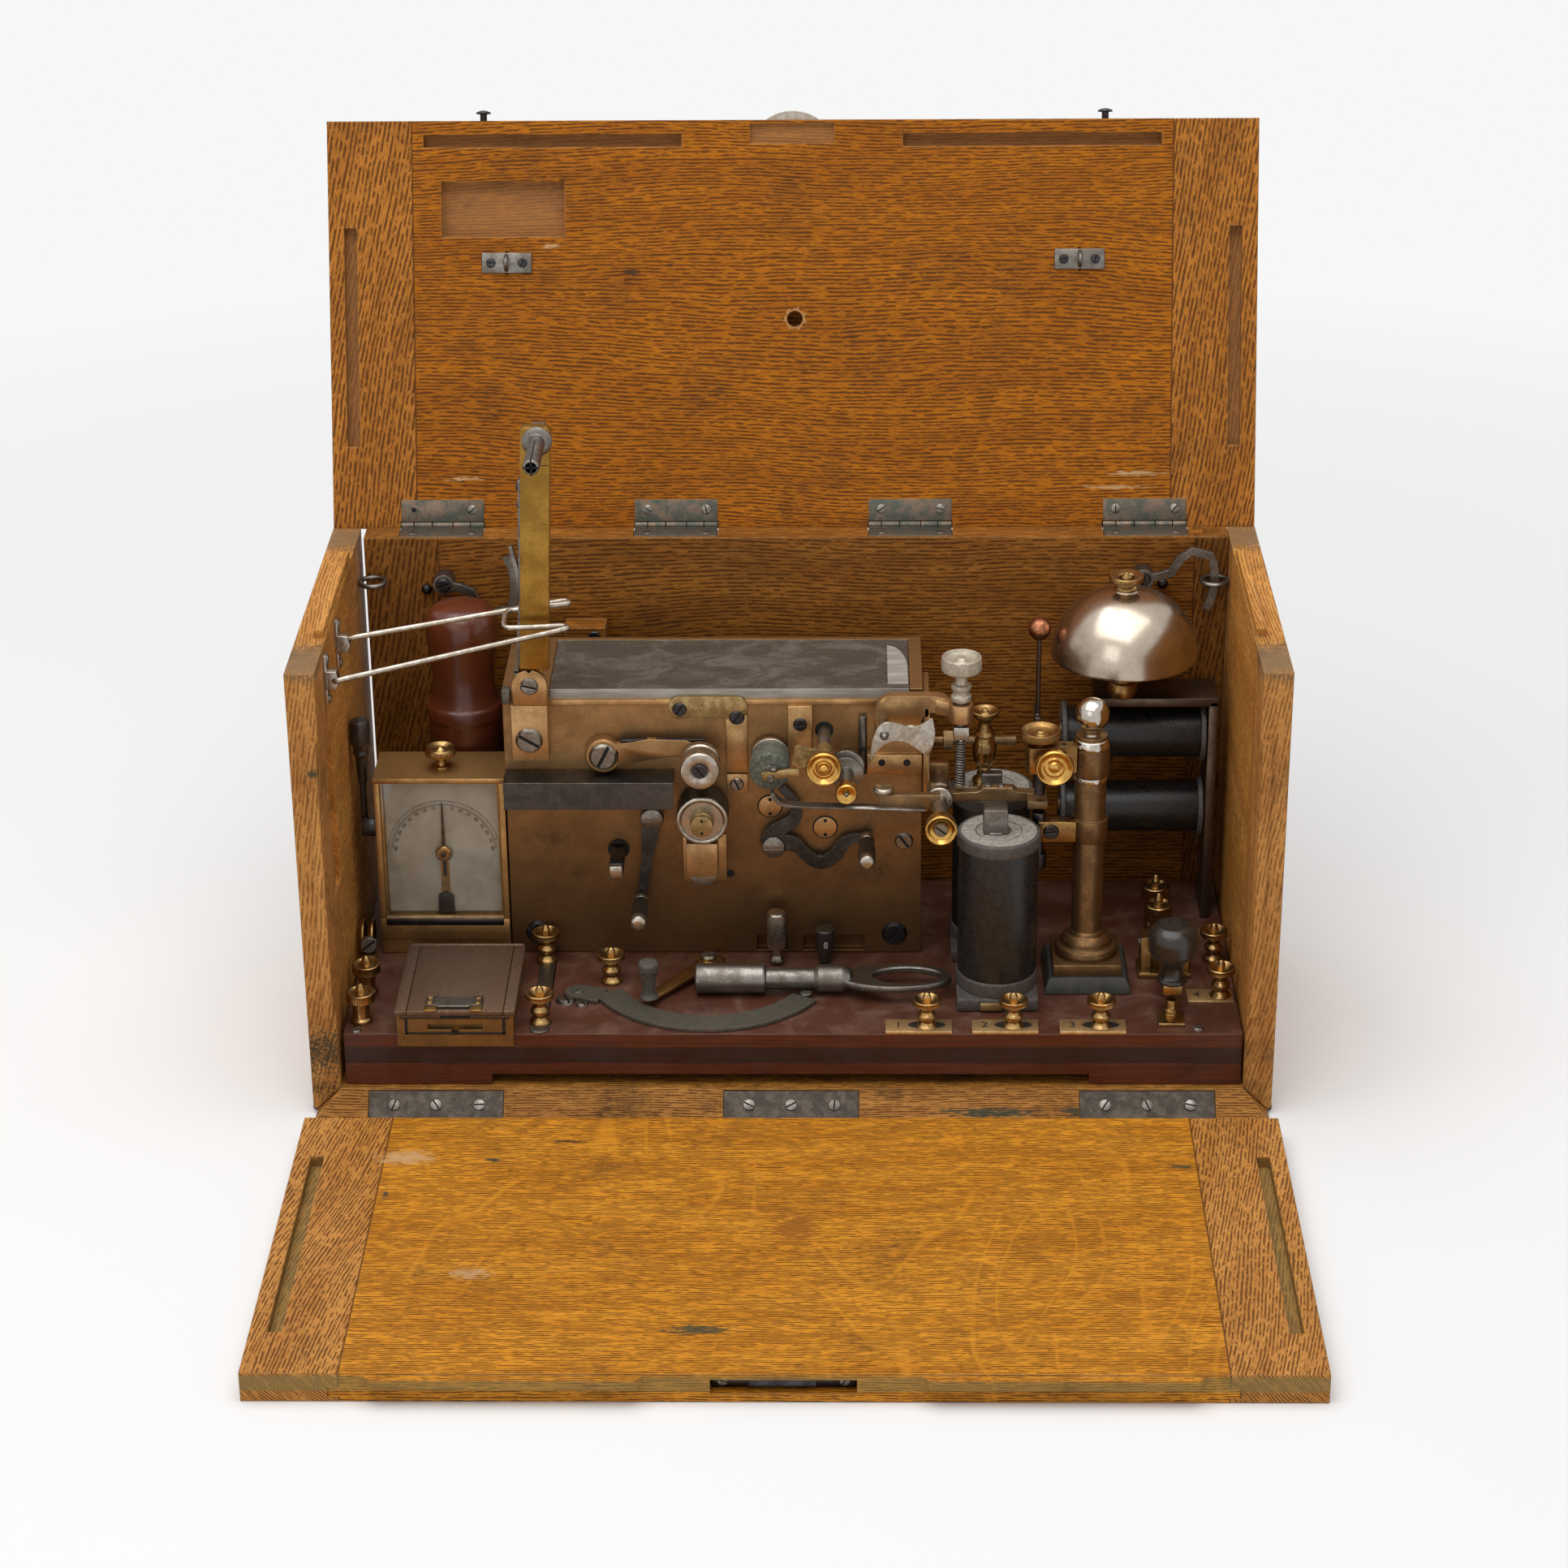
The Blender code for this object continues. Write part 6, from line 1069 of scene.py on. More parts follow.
place = put(tree, "ShaderNodeCombineXYZ", (0, maths("MULTIPLY", given["Radius"], maths("SINE", angle))),
    (2, maths("MULTIPLY", given["Radius"], maths("COSINE", angle))))
put_there = put(tree, "GeometryNodeSetPosition", (0, spots.outputs[0]), ("Position", place.outputs[0]))
size = put(tree, "ShaderNodeCombineXYZ", (0, given["Width"]), (1, given["Width"]), (2, given["Length"]))
mark = put(tree, "GeometryNodeMeshCube", ("Size", size.outputs[0]))
lifted = put(tree, "ShaderNodeCombineXYZ", (2, maths("MULTIPLY", given["Length"], 0.5)))
mark_up = put(tree, "GeometryNodeTransform", ("Geometry", mark.outputs["Mesh"]),
    ("Translation", lifted.outputs[0]))
spin = put(tree, "ShaderNodeCombineXYZ", (1, angle))
stretch = put(tree, "ShaderNodeCombineXYZ", (0, 1.0), (1, 1.0), (2, tall))
stamped = put(tree, "GeometryNodeInstanceOnPoints", ("Points", put_there.outputs[0]),
    ("Instance", mark_up.outputs[0]), ("Rotation", spin.outputs[0]), ("Scale", stretch.outputs[0]))
real = put(tree, "GeometryNodeRealizeInstances", (0, stamped.outputs[0]))
dressed = put(tree, "GeometryNodeSetMaterial", ("Geometry", real.outputs[0]), ("Material", given["Material"]))
join(dressed.outputs[0], out[0])


def shift_mesh(made, offset):
    """Moves a finished piece within its mesh."""
    made.data.transform(Matrix.Translation(offset))
    return made


blank = bpy.data.meshes.new("start_point")
blank.from_pydata([(0, 0, 0)], [], [])
ticks = grown("dial_ticks", tick_tree, blank.copy(), ink_black, slot="black", Count=65, Radius=scale_radius,
    Sweep=3.0, Length=0.0008, Width=0.00012, Every=4)
shift_mesh(ticks, (pivot_x, scale_face, pivot_z))
marks = []
for radius in (scale_radius - 0.0001, scale_radius + 0.0018):
    path = [(pivot_x + radius * math.sin(a * 1.5 / 30), scale_face, pivot_z + radius * math.cos(a * 1.5 / 30))
        for a in range(-30, 31)]
    marks.append(tube(path, 0.00009, 4))
for step in range(-8, 9):
    angle = step * 1.5 / 8
    spot = (pivot_x + (scale_radius - 0.0015) * math.sin(angle), scale_face, pivot_z
        + (scale_radius - 0.0015) * math.cos(angle))
    lean = TURNS["front"] @ Matrix.Rotation(-angle, 4, "Z")
    marks.append(numeral(str(abs(step) * 10), 0.0021, spot, lean, 0.00006))
make("dial_marks", ink_black, *marks, slot="black", sharp=20)
clad("galvanometer_needle", dark_steel)
hub = turned(mm([(1.5, 0), (3.6, 0), (3.6, 0.5), (3, 1.2), (1.6, 1.2)]), (pivot_x, 0.0053, pivot_z), "front",
    32, 0.0001)
make("needle_ring", bright_brass, hub, body="galvanometer_needle")
make("needle_pin", dark_steel, turned(solid_bar(0.0011, 0.003), (pivot_x, 0.006, pivot_z), "front", 16),
    slot="steel")
make("needle_clamp", dark_steel, cut_plate([(pivot_x - 0.0036, 0.0537), (pivot_x + 0.0036, 0.0537),
    (pivot_x + 0.0032, 0.062), (pivot_x, 0.064), (pivot_x - 0.0032, 0.062)], "y", (0.005, 0.0071), 0.0003),
    slot="steel")
window = plain_finish("window_glass", (0.97, 0.98, 0.96, 1), 0.03)
shader = window.node_tree.nodes["Principled BSDF"]
shader.inputs["Transmission Weight"].default_value = 1.0
shader.inputs["IOR"].default_value = 1.45
clad("galvanometer_glass", window)
top_rim = [block((-0.178, -0.1216), (0.0008, 0.0022), (0.117, 0.1193), 0.0003),
    block((-0.1777, -0.1752), (0.001, 0.0022), (0.0363, 0.117), 0.0003),
    block((-0.1244, -0.1219), (0.001, 0.0022), (0.0363, 0.117), 0.0003),
    block((-0.1777, -0.1219), (0.0004, 0.0022), (0.043, 0.0525), 0.0004)]
make("dial_frame", lacquer, *top_rim)
make("dial_sill", dark_steel, block((-0.1752, -0.1244), (0.0002, 0.001), (0.05, 0.053), 0.0003), slot="steel")
knob = mm([(0, -0.4), (4, -0.4), (4, 0.6), (2.4, 1.4), (2.2, 4.4), (6, 5.6), (6.7, 6.2), (6.7, 8.4), (6, 9.2),
    (5.2, 8.8), (3, 7.8), (1.4, 8.6), (0, 9.8)])
make("galvanometer_knob", bright_brass, turned(knob, (-0.1497, 0.014, 0.1193),
    knurl=(0.0061, 0.0086, 48, 0.0002, 0.0062)))

# Shunt switch: an ebonite handle that turns on a pivot at the galvanometer case's side.
# Arched springs of sheet brass stand below it on a block with one screw.
handle = mm([(0, 0), (1.4, 0), (1.4, 20), (2, 21.5), (2.4, 33), (3.4, 34.5), (3, 36), (3.4, 37.8),
    (4.2, 39.5), (4.2, 49), (3.6, 50), (0, 50.3)])
make("shunt_handle", ebonite, turned(handle, (-0.1832, 0.01, 0.0928)),
    turned(solid_bar(0.0042, 0.0062), (-0.178, 0.01, 0.0928), "left"), body="shunt_lever", slot="black",
    replaces=["shunt_lever"])
arches = []
for x in (-0.1858, -0.1818):
    path = [(x, -0.001 + 0.007 * math.cos(a * math.pi / 10), 0.0445 + 0.0075 * math.sin(a * math.pi / 10))
        for a in range(11)]
    path = [(x, 0.006, 0.0365)] + path + [(x, -0.008, 0.0365)]
    arches.append(tube(path, 0.0016, 8, flat=0.45))
make("shunt_springs", brass, *arches, block((-0.186, -0.1785), (-0.017, -0.0075), (0.0358, 0.042), 0.0005))
screws("shunt_screw", [((-0.1822, -0.009, 0.0455), (0.1, -0.97, 0.2), 0.004, 0.7)], screw_steel,
    Head_Rise=0.4)

# Lightning arrester: a brass box with a toothed plate under a hinged lid of browned bronze.
# A steel clip is screwed to two brass tabs on the lid.
box_brass = metal("box_brass", (0.3, 0.185, 0.07, 1), (0.18, 0.1, 0.034, 1), 0.8, 0.34, 0.52, cloud=0.1,
    edge=(0.6, 0.4, 0.17, 1), dirt=0.45, metallic=0.85, relief=0.06)
clad("arrester_box", box_brass)
browned = metal("browned_bronze", (0.185, 0.11, 0.066, 1), (0.118, 0.07, 0.045, 1), 0.8, 0.42, 0.6, cloud=0.5,
    edge=(0.4, 0.25, 0.1, 1), dirt=0.2, metallic=0.6, relief=0.25)
lid_strips = [block(span, (-0.0733, -0.014), (0.0458, 0.0479), 0.0002)
    for span in ((-0.1641, -0.1593), (-0.159, -0.1191), (-0.1188, -0.1142))]
pin = turned(solid_bar(0.001, 0.0483), (-0.1633, -0.0128, 0.047), "right", 16)
make("arrester_cover", browned, *lid_strips, pin, body="arrester_lid", replaces=["arrester_lid"])
tabs = [block((x - 0.0026, x + 0.0026), (-0.0738, -0.0625), (0.0477, 0.0487), 0.0003)
    for x in (-0.1492, -0.1303)]
make("arrester_tabs", brass, *tabs, body="arrester_lid")
clip = cut_plate(mm([(-151.5, -62), (-146.5, -62), (-146.5, -63.2), (-133, -63.2), (-133, -62), (-128, -62),
    (-128, -70), (-133, -70), (-133, -71.2), (-146.5, -71.2), (-146.5, -70), (-151.5, -70)]), "z",
    (0.0485, 0.0493), 0.0002)
make("arrester_clip", steel, clip, body="arrester_lid", slot="steel")
screws("arrester_screws", [((x, y, 0.0493), (0, 0, 1), 0.0013, x * 40 + y) for x in (-0.1497, -0.1298)
    for y in (-0.064, -0.0683)], bright_brass, "arrester_lid", "brass", Head_Rise=0.4)
teeth = []
for i in range(44):
    x = -0.1616 + 0.0454 * i / 44
    if abs(x + 0.1392) > 0.0062:
        teeth.append(cut_plate([(x, 0.0456), (x + 0.0005, 0.0441), (x + 0.001, 0.0456)], "y",
            (-0.0731, -0.0722), 0))
gap_line = [block((-0.162, -0.1163), (-0.0728, -0.0724), (0.0441, 0.0456), 0),
    block((-0.16, -0.1183), (-0.0728, -0.0724), (0.0368, 0.0376), 0),
    block((-0.1601, -0.1589), (-0.0728, -0.0724), (0.037, 0.0441), 0),
    block((-0.1195, -0.1183), (-0.0728, -0.0724), (0.037, 0.0441), 0)]
make("arrester_teeth", browned, *teeth, sharp=20)
make("arrester_gap", hole_dark, *gap_line, slot="black")

# Line switch: a curved steel contact, gone green, screwed flat on the plinth.
# A brass arm with a worn round grip sweeps over it on a slotted pivot screw.
greened = metal("greened_steel", (0.165, 0.145, 0.11, 1), (0.09, 0.086, 0.066, 1), 0.8, 0.42, 0.62,
    cloud=0.25, edge=(0.26, 0.26, 0.22, 1), dirt=0.2, metallic=0.7)
clad("switch_arc", greened)
screws("arc_screws", [((-0.0905, -0.0365, 0.0378), (0, 0, 1), 0.0026, 0.9),
    ((0.006, -0.0385, 0.0378), (0, 0, 1), 0.0026, 0.2)], greened, Head_Rise=0.25)
pivot, tip = Vector((-0.036, -0.013)), Vector((-0.06, -0.0455))
ahead = (tip - pivot).normalized()
aside = Vector((-ahead.y, ahead.x))
arm = [pivot + aside * 0.0046, tip + aside * 0.0026, tip - aside * 0.0026, pivot - aside * 0.0046]
make("switch_blade", brass, cut_plate([tuple(p) for p in arm], "z", (0.0381, 0.0399), 0.0004),
    turned(solid_bar(0.005, 0.004, (0.0034, 0.0014)), (*pivot, 0.0367)), body="switch_arm",
    replaces=["switch_arm"])
worn_grip = metal("worn_grip", (0.05, 0.042, 0.034, 1), (0.105, 0.09, 0.072, 1), 0.9, 0.5, 0.7, cloud=1.2,
    metallic=0.1, relief=0.6, edge=(0.14, 0.12, 0.1, 1))
grip = mm([(0, 0), (4.2, 0), (3, 1.4), (2.6, 3), (3, 7), (3.8, 11.5), (4.4, 13), (4.4, 15.5), (3.6, 16.6),
    (0, 16.9)])
make("switch_knob", worn_grip, turned(grip, (-0.06, -0.0455, 0.0399)), body="switch_arm", slot="black")
screws("switch_pivot", [((-0.036, -0.013, 0.0421), (0, 0, 1), 0.0034, 0.5)], screw_steel, "switch_arm",
    Head_Rise=0.3)

# Round case behind the galvanometer: mahogany turned on a lathe and varnished.
# A beaded flange marks where its cap lifts off.
varnished = metal("varnished_mahogany", (0.135, 0.031, 0.011, 1), (0.06, 0.015, 0.007, 1), 0.7, 0.22, 0.38,
    cloud=0.04, metallic=0.0, edge=(0.2, 0.06, 0.02, 1), dirt=0.35, relief=0.03, radius=0.0008)
profile = mm([(0, 0), (15.8, 0), (15.8, 92.5), (16.6, 93.8), (16.7, 96.5), (16.4, 99), (15, 100), (13.8, 104),
    (13.2, 111), (13.7, 119), (15, 127), (15.7, 133), (15.5, 137.5), (13.8, 141.2), (10.5, 143.6), (5, 144.7),
    (0, 144.9)])
make("turned_case", varnished, turned(profile, (-0.142, 0.047, 0.0363), steps=64, ease=0.0015),
    slot="mahogany", replaces=["wooden_case"])


# Clockwork movement: a heavy case of browned brass plates, brushed level, with painted shade darkening it
# towards its foot.
# Big slotted screws hold the plates, and round discs close the bearings.
def painted_shade_below(material, low, high, share):
    """Darkens a material from a height downwards: painted shade at the foot of a case that stands low among
    the plinth and other parts.
    """
    tree = material.node_tree
    socket = next(n for n in tree.nodes if n.type == "BSDF_PRINCIPLED").inputs["Base Color"]
    source = socket.links[0].from_socket
    place = put(tree, "ShaderNodeTexCoord").outputs["Object"]
    height = put(tree, "ShaderNodeSeparateXYZ", (0, place)).outputs[2]
    shade = put(tree, "ShaderNodeCombineXYZ", (0, share[0]), (1, share[1]), (2, share[2]))
    dimmed = put(tree, "ShaderNodeMix", (6, source), (7, shade.outputs[0]), data_type="RGBA",
        blend_type="MULTIPLY")
    dimmed.inputs[0].default_value = 1
    join(tint(fade(height, low, high), dimmed.outputs[2], source), socket)


plate_brass = metal("browned_plate", (0.38, 0.218, 0.09, 1), (0.25, 0.13, 0.048, 1), 0.8, 0.36, 0.52,
    cloud=0.05, edge=(0.5, 0.3, 0.12, 1), edge_amount=0.7, dirt=0.5, metallic=0.8, scratches=0.35,
    radius=0.0005, relief=0.05)
# Painted shade: the plate brass is darkened below 0.15 m, down towards the case's foot.
painted_shade_below(plate_brass, 0.05, 0.15, (0.45, 0.42, 0.4))
red_brass = metal("reddish_brass", (0.55, 0.335, 0.15, 1), (0.32, 0.175, 0.068, 1), 0.7, 0.32, 0.5, cloud=0.1,
    edge=(0.62, 0.42, 0.22, 1), dirt=0.4, metallic=0.85, relief=0.07)
pale_brass = metal("pale_brass", (0.44, 0.31, 0.13, 1), (0.22, 0.13, 0.048, 1), 0.8, 0.34, 0.55, cloud=0.22,
    edge=(0.3, 0.2, 0.1, 1), dirt=0.5, metallic=0.8, scratches=0.5, relief=0.2)
gold_brass = metal("gold_brass", (0.66, 0.39, 0.1, 1), (0.36, 0.185, 0.045, 1), 0.6, 0.16, 0.32, cloud=0.4,
    edge=(0.8, 0.54, 0.19, 1), dirt=0.3)
grey_roller = metal("grey_roller", (0.12, 0.11, 0.094, 1), (0.064, 0.057, 0.048, 1), 0.8, 0.36, 0.55,
    cloud=0.3, edge=(0.36, 0.3, 0.22, 1), edge_amount=0.7, dirt=0.3, radius=0.0004)
enamel = metal("worn_enamel", (0.022, 0.02, 0.018, 1), (0.045, 0.038, 0.032, 1), 0.7, 0.26, 0.5, cloud=0.4,
    metallic=0.25, edge=(0.26, 0.23, 0.2, 1), edge_amount=0.8, relief=0.25, radius=0.0004)
clad("movement_case", plate_brass)
face = 0.002
screws("plate_screws", [((-0.1097, face, 0.0461), (0, -1, 0), 0.0055, 2.6),
    ((0.0437, face, 0.0453), (0, -1, 0), 0.0055, 0.9)], dark_steel, Head_Rise=0.3)
screws("small_plate_screws", [((0.0476, face, 0.0896), (0, -1, 0), 0.004, 2.2)], screw_steel, Head_Rise=0.25)
bearing, bearing_rim, holes = [], [], []
for x, z in ((-0.0093, 0.1061), (0.0141, 0.0962)):
    bearing_rim.append(turned(solid_bar(0.0054, 0.0005), (x, face + 0.0002, z), "front", 32, 0))
    bearing.append(turned(solid_bar(0.0049, 0.0009), (x, face + 0.0002, z), "front", 32, 0.0002))
    for rise in (-0.0033, 0.0033):
        holes.append(turned(solid_bar(0.0008, 0.001), (x, face + 0.0002, z + rise), "front", 14, 0))
for x, z, radius in ((-0.0266, 0.0742, 0.0017), (0.0138, 0.1415, 0.0039), (0.0379, 0.1269, 0),
        (0.0485, 0.1269, 0)):
    if radius:
        holes.append(turned(solid_bar(radius, 0.0004), (x, face + 0.0002, z), "front", 28, 0))
make("bearing_discs", red_brass, *bearing)
make("plate_holes", hole_dark, *bearing_rim, *holes, slot="black")

# Dusty glass lid: a thick pane with a ground front edge and a ground quarter-round on the right.
# The toothed wheels and the governor's bars show dimly below it.
dusty_glass, tree, shader = finish_of("dusty_glass")
spot = put(tree, "ShaderNodeTexCoord").outputs["Object"]
smear = noise(stretched(spot, 45, 70), 1, 5, 0.7, 1.2)
specks = noise(stretched(spot, 900, 900), 1, 2, 0.5)
dust = maths("ADD", fade(smear, 0.42, 0.72), maths("MULTIPLY", fade(specks, 0.66, 0.72), 0.7))
join(tint(dust, (0.23, 0.2, 0.165, 1), (0.42, 0.385, 0.335, 1)), shader.inputs["Base Color"])
join(maths("ADD", maths("MULTIPLY", dust, 0.3), 0.12), shader.inputs["Roughness"])
shader.inputs["Transmission Weight"].default_value = 0.7
shader.inputs["Specular IOR Level"].default_value = 0.3
clad("movement_glass", dusty_glass)
ground, tree, shader = finish_of("ground_glass")
spot = put(tree, "ShaderNodeTexCoord").outputs["Object"]
cloudy = noise(stretched(spot, 60, 400), 1, 4, 0.6)
join(tint(fade(cloudy, 0.3, 0.7), (0.44, 0.41, 0.36, 1), (0.27, 0.24, 0.205, 1)), shader.inputs["Base Color"])
shader.inputs["Roughness"].default_value = 0.42
quarter = [(0.0405, 0.007), (0.049, 0.007)] + [(0.0405 + 0.0085 * math.cos(a * math.pi / 20), 0.024
    + 0.0245 * math.sin(a * math.pi / 20)) for a in range(11)]
make("ground_edges", ground, block((-0.1011, 0.0493), (0.002, 0.0025), (0.1561, 0.1603), 0.0001),
    cut_plate(quarter, "z", (0.1602, 0.16035), 0), slot="glass")
fly = metal("governor_fly", (0.75, 0.72, 0.68, 1), (0.5, 0.47, 0.43, 1), 0.4, 0.3, 0.5)
bars = [tube([(-0.0085, 0.052, 0.1515), (0.0073, 0.0185, 0.1515)], 0.001, 8),
    tube([(-0.0013, 0.0486, 0.1515), (0.0093, 0.0202, 0.1515)], 0.0009, 8),
    block((-0.011, -0.002), (0.046, 0.052), (0.1505, 0.1525), 0.0004),
    tube([(0.0133, 0.0511, 0.15), (0.0133, 0.0193, 0.15)], 0.0014, 8)]
make("governor_bars", fly, *bars, slot="steel")
gear_tree, given, out = geometry_tree("gear_teeth",
    [("Radius", "NodeSocketFloat", 0.01), ("Count", "NodeSocketInt", 60), ("Depth", "NodeSocketFloat", 0.001),
    ("Thick", "NodeSocketFloat", 0.002), ("Material", "NodeSocketMaterial", None)])
tree = gear_tree
rim = put(tree, "GeometryNodeCurvePrimitiveCircle", ("Resolution", given["Count"]),
    ("Radius", given["Radius"]))
spots = put(tree, "GeometryNodeCurveToPoints", ("Curve", rim.outputs[0]), ("Count", given["Count"]))
size = put(tree, "ShaderNodeCombineXYZ", (0, maths("MULTIPLY", given["Depth"], 0.6)), (1, given["Depth"]),
    (2, given["Thick"]))
tooth = put(tree, "GeometryNodeMeshCube", ("Size", size.outputs[0]))
turn = put(tree, "FunctionNodeAlignRotationToVector", ("Vector", spots.outputs["Tangent"]), axis="X")
all_teeth = put(tree, "GeometryNodeInstanceOnPoints", ("Points", spots.outputs[0]),
    ("Instance", tooth.outputs["Mesh"]), ("Rotation", turn.outputs[0]))
real = put(tree, "GeometryNodeRealizeInstances", (0, all_teeth.outputs[0]))
dressed = put(tree, "GeometryNodeSetMaterial", ("Geometry", real.outputs[0]), ("Material", given["Material"]))
join(dressed.outputs[0], out[0])
for count, (x, z, radius, y, number) in enumerate(((-0.0766, 0.127, 0.02, 0.0192, 72),
        (-0.0432, 0.133, 0.015, 0.0372, 60), (-0.018, 0.129, 0.011, 0.0152, 48),
        (0.0377, 0.131, 0.012, 0.0412, 48)), 1):
    teeth = grown(f"wheel_teeth_{count}", gear_tree, blank.copy(), bright_brass, slot="brass", Radius=radius,
        Count=number, Depth=0.0012, Thick=0.0022)
    teeth.data.transform(Matrix.Translation((x, y, z)) @ TURNS["front"])

# Small fittings on the movement's face: strip bracket, guide rod, corner lug and glass rail.
# They are cut from brass or turned from steel, and screwed to the plate.
strip = [block((-0.0014, 0.0088), (-0.0016, 0.0025), (0.129, 0.1538), 0.0005)]
make("strip_bracket", red_brass, *strip)
screws("strip_screw", [((0.0037, -0.0016, 0.1455), (0, -1, 0), 0.003, 0.1)], dark_steel, Head_Rise=0.3)
make("guide_rod", steel, turned(solid_bar(0.0017, 0.0265), (0.03, -0.0002, 0.1224), "up", 24, 0.0006),
    slot="steel")
screws("rod_screws", [((0.03, -0.0019, z), (0, -1, 0), 0.0013, t) for z, t in ((0.1345, 0.6), (0.125, 0.2))],
    dark_steel, Head_Rise=0.5)
block_holes = [turned(solid_bar(0.0015, 0.0003), (x, -0.0061, 0.13), "front", 20, 0)
    for x in (0.0379, 0.0485)]
make("bracket_holes", hole_dark, *block_holes, slot="black")
make("corner_lug", greened, block((-0.1212, -0.1176), (-0.001, 0.004), (0.1545, 0.1612), 0.0006),
    slot="steel")
make("deck_dome", brass, turned(mm([(0, 0), (5.2, 0), (5.2, 0.6), (3.6, 1.5), (0, 1.8)]),
    (-0.0342, -0.006, deck)))
make("glass_rail", red_brass, block((-0.101, 0.05), (0.0013, 0.0021), (0.153, 0.1556), 0.0003))

# Reel bracket: a brass block with a rounded head and a sighting notch, on two slotted screws.
# The folding arm turns on its head and carries a split spindle, a nut and a spring latch.
head_x, head_z, head_radius = -0.1091, 0.1641, 0.0073
notch = [(head_x + 0.0009, head_z + 0.0072), (head_x, head_z + 0.005), (head_x - 0.0009, head_z + 0.0072)]
head = [(head_x + head_radius * math.cos(math.radians(a)), head_z + head_radius * math.sin(math.radians(a)))
    for a in range(0, 82, 8)] + notch
head += [(head_x + head_radius * math.cos(math.radians(a)), head_z + head_radius * math.sin(math.radians(a)))
    for a in range(100, 181, 8)]
outline = [(head_x + head_radius, 0.155)] + head + [(head_x - head_radius, 0.155)]
make("reel_bracket_head", red_brass, cut_plate(outline, "y", (-0.004, -0.0014), 0.0004),
    block((-0.1174, -0.1019), (-0.004, 0.0017), (0.1298, 0.1552), 0.0005), replaces=["reel_bracket"])
screws("bracket_screws", [((-0.1091, -0.004, 0.1641), (0, -1, 0), 0.0039, 2.9),
    ((-0.11, -0.004, 0.1395), (0, -1, 0), 0.0058, 2.6)], screw_steel, Head_Rise=0.28)
yellow = metal("yellow_strip", (0.38, 0.205, 0.034, 1), (0.2, 0.1, 0.016, 1), 0.7, 0.3, 0.46, cloud=0.06,
    edge=(0.62, 0.4, 0.1, 1), dirt=0.35, metallic=0.85, turn=(0, math.pi / 2, 0))
low_end, high_end, half = Vector((-0.1067, 0.1717)), Vector((-0.1026, 0.278)), 0.0061
along = (high_end - low_end).normalized()
across = Vector((along.y, -along.x)) * half
corners = [low_end - across, low_end + across, high_end + across - along * 0.0012, high_end + across * 0.8,
    high_end - across * 0.8, high_end - across - along * 0.0012]
strip = cut_plate([tuple(c) for c in corners], "y", (-0.004, 0.0014), 0.0004)
hinge_disc = turned(solid_bar(0.0058, 0.0024), (head_x, -0.001, head_z), "back", 36)
neck = block((head_x - 0.0057, head_x + 0.0057), (-0.001, 0.0014), (head_z, head_z + 0.009), 0.0002)
make("reel_strip", yellow, strip, hinge_disc, neck, body="reel_arm", replaces=["reel_arm"])
flange = mm([(0, 0), (6.2, 0), (6.2, 1), (5, 1.6), (3.6, 1.8), (3.3, 2), (3.3, 31), (2.6, 31.6), (2.4, 31.6),
    (2.4, 20), (0, 20)])
spindle_x, spindle_z = -0.102, 0.2725
make("reel_spindle", steel, turned(flange, (spindle_x, -0.004, spindle_z), "front", 40), body="reel_arm")
slits = [block((spindle_x - 0.00035, spindle_x + 0.00035), (-0.0357, -0.013),
    (spindle_z - 0.0034, spindle_z + 0.0034), 0),
    block((spindle_x - 0.0034, spindle_x + 0.0034), (-0.0357, -0.013),
    (spindle_z - 0.00035, spindle_z + 0.00035), 0)]
make("spindle_slits", hole_dark, *slits, body="reel_arm", slot="black")
nut = mm([(0, 0), (5.5, 0), (5.5, 5), (4.8, 5.8), (3, 5.8), (2.8, 7.2), (0, 7.4)])
make("reel_nut", nickel, turned(nut, (spindle_x, 0.0014, spindle_z), "back", 6, 0.0002), body="reel_arm",
    slot="nickel")
scribe = block((-0.1087, -0.0974), (-0.00408, -0.0039), (0.2618, 0.2621), 0)
make("scribed_line", hole_dark, scribe, body="reel_arm", slot="black")
spring_line = rounded_path(mm([(-109.8, 0, 255.2), (-111.6, 0, 199), (-113.4, 0, 175.2), (-114.6, 0, 170)]),
    0.004, 4)


def ribbon_of(path, halves):
    """A strip's outline along a path in the (x, z) plane; its half width runs through the values."""
    flat = [Vector((p[0], p[2])) for p in path]
    one, other = [], []
    for i, spot in enumerate(flat):
        ahead = (flat[min(i + 1, len(flat) - 1)] - flat[max(i - 1, 0)]).normalized()
        place = i / (len(flat) - 1) * (len(halves) - 1)
        low = min(int(place), len(halves) - 2)
        wide = halves[low] + (halves[low + 1] - halves[low]) * (place - low)
        one.append(tuple(spot + Vector((-ahead.y, ahead.x)) * wide))
        other.append(tuple(spot - Vector((-ahead.y, ahead.x)) * wide))
    return one + other[::-1]


claw = mm([(-115.5, 171.2), (-114.9, 169), (-114.9, 167.2), (-113.6, 166.2), (-112.7, 166.8), (-113.8, 168),
    (-113.3, 171.2)])
finger = rounded_path(mm([(-111.9, 0, 206), (-112.2, 0, 215), (-114, 0, 222), (-114.7, 0, 226)]), 0.006, 5)
make("reel_latch", steel, cut_plate(ribbon_of(spring_line, (0.0007, 0.0008, 0.0009)), "y", (-0.0036, 0.001),
    0.0002), cut_plate(claw, "y", (-0.0036, 0.001), 0.0002),
    cut_plate(ribbon_of(finger, (0.0006, 0.0009, 0.0007)), "y", (-0.003, 0.0004), 0.0002), body="reel_arm",
    slot="steel")
screws("latch_screws", [((-0.1105, -0.0013, z), (-1, 0, 0), 0.0018, 0.5) for z in (0.252, 0.244)], dark_steel,
    "reel_arm", Head_Rise=0.5)

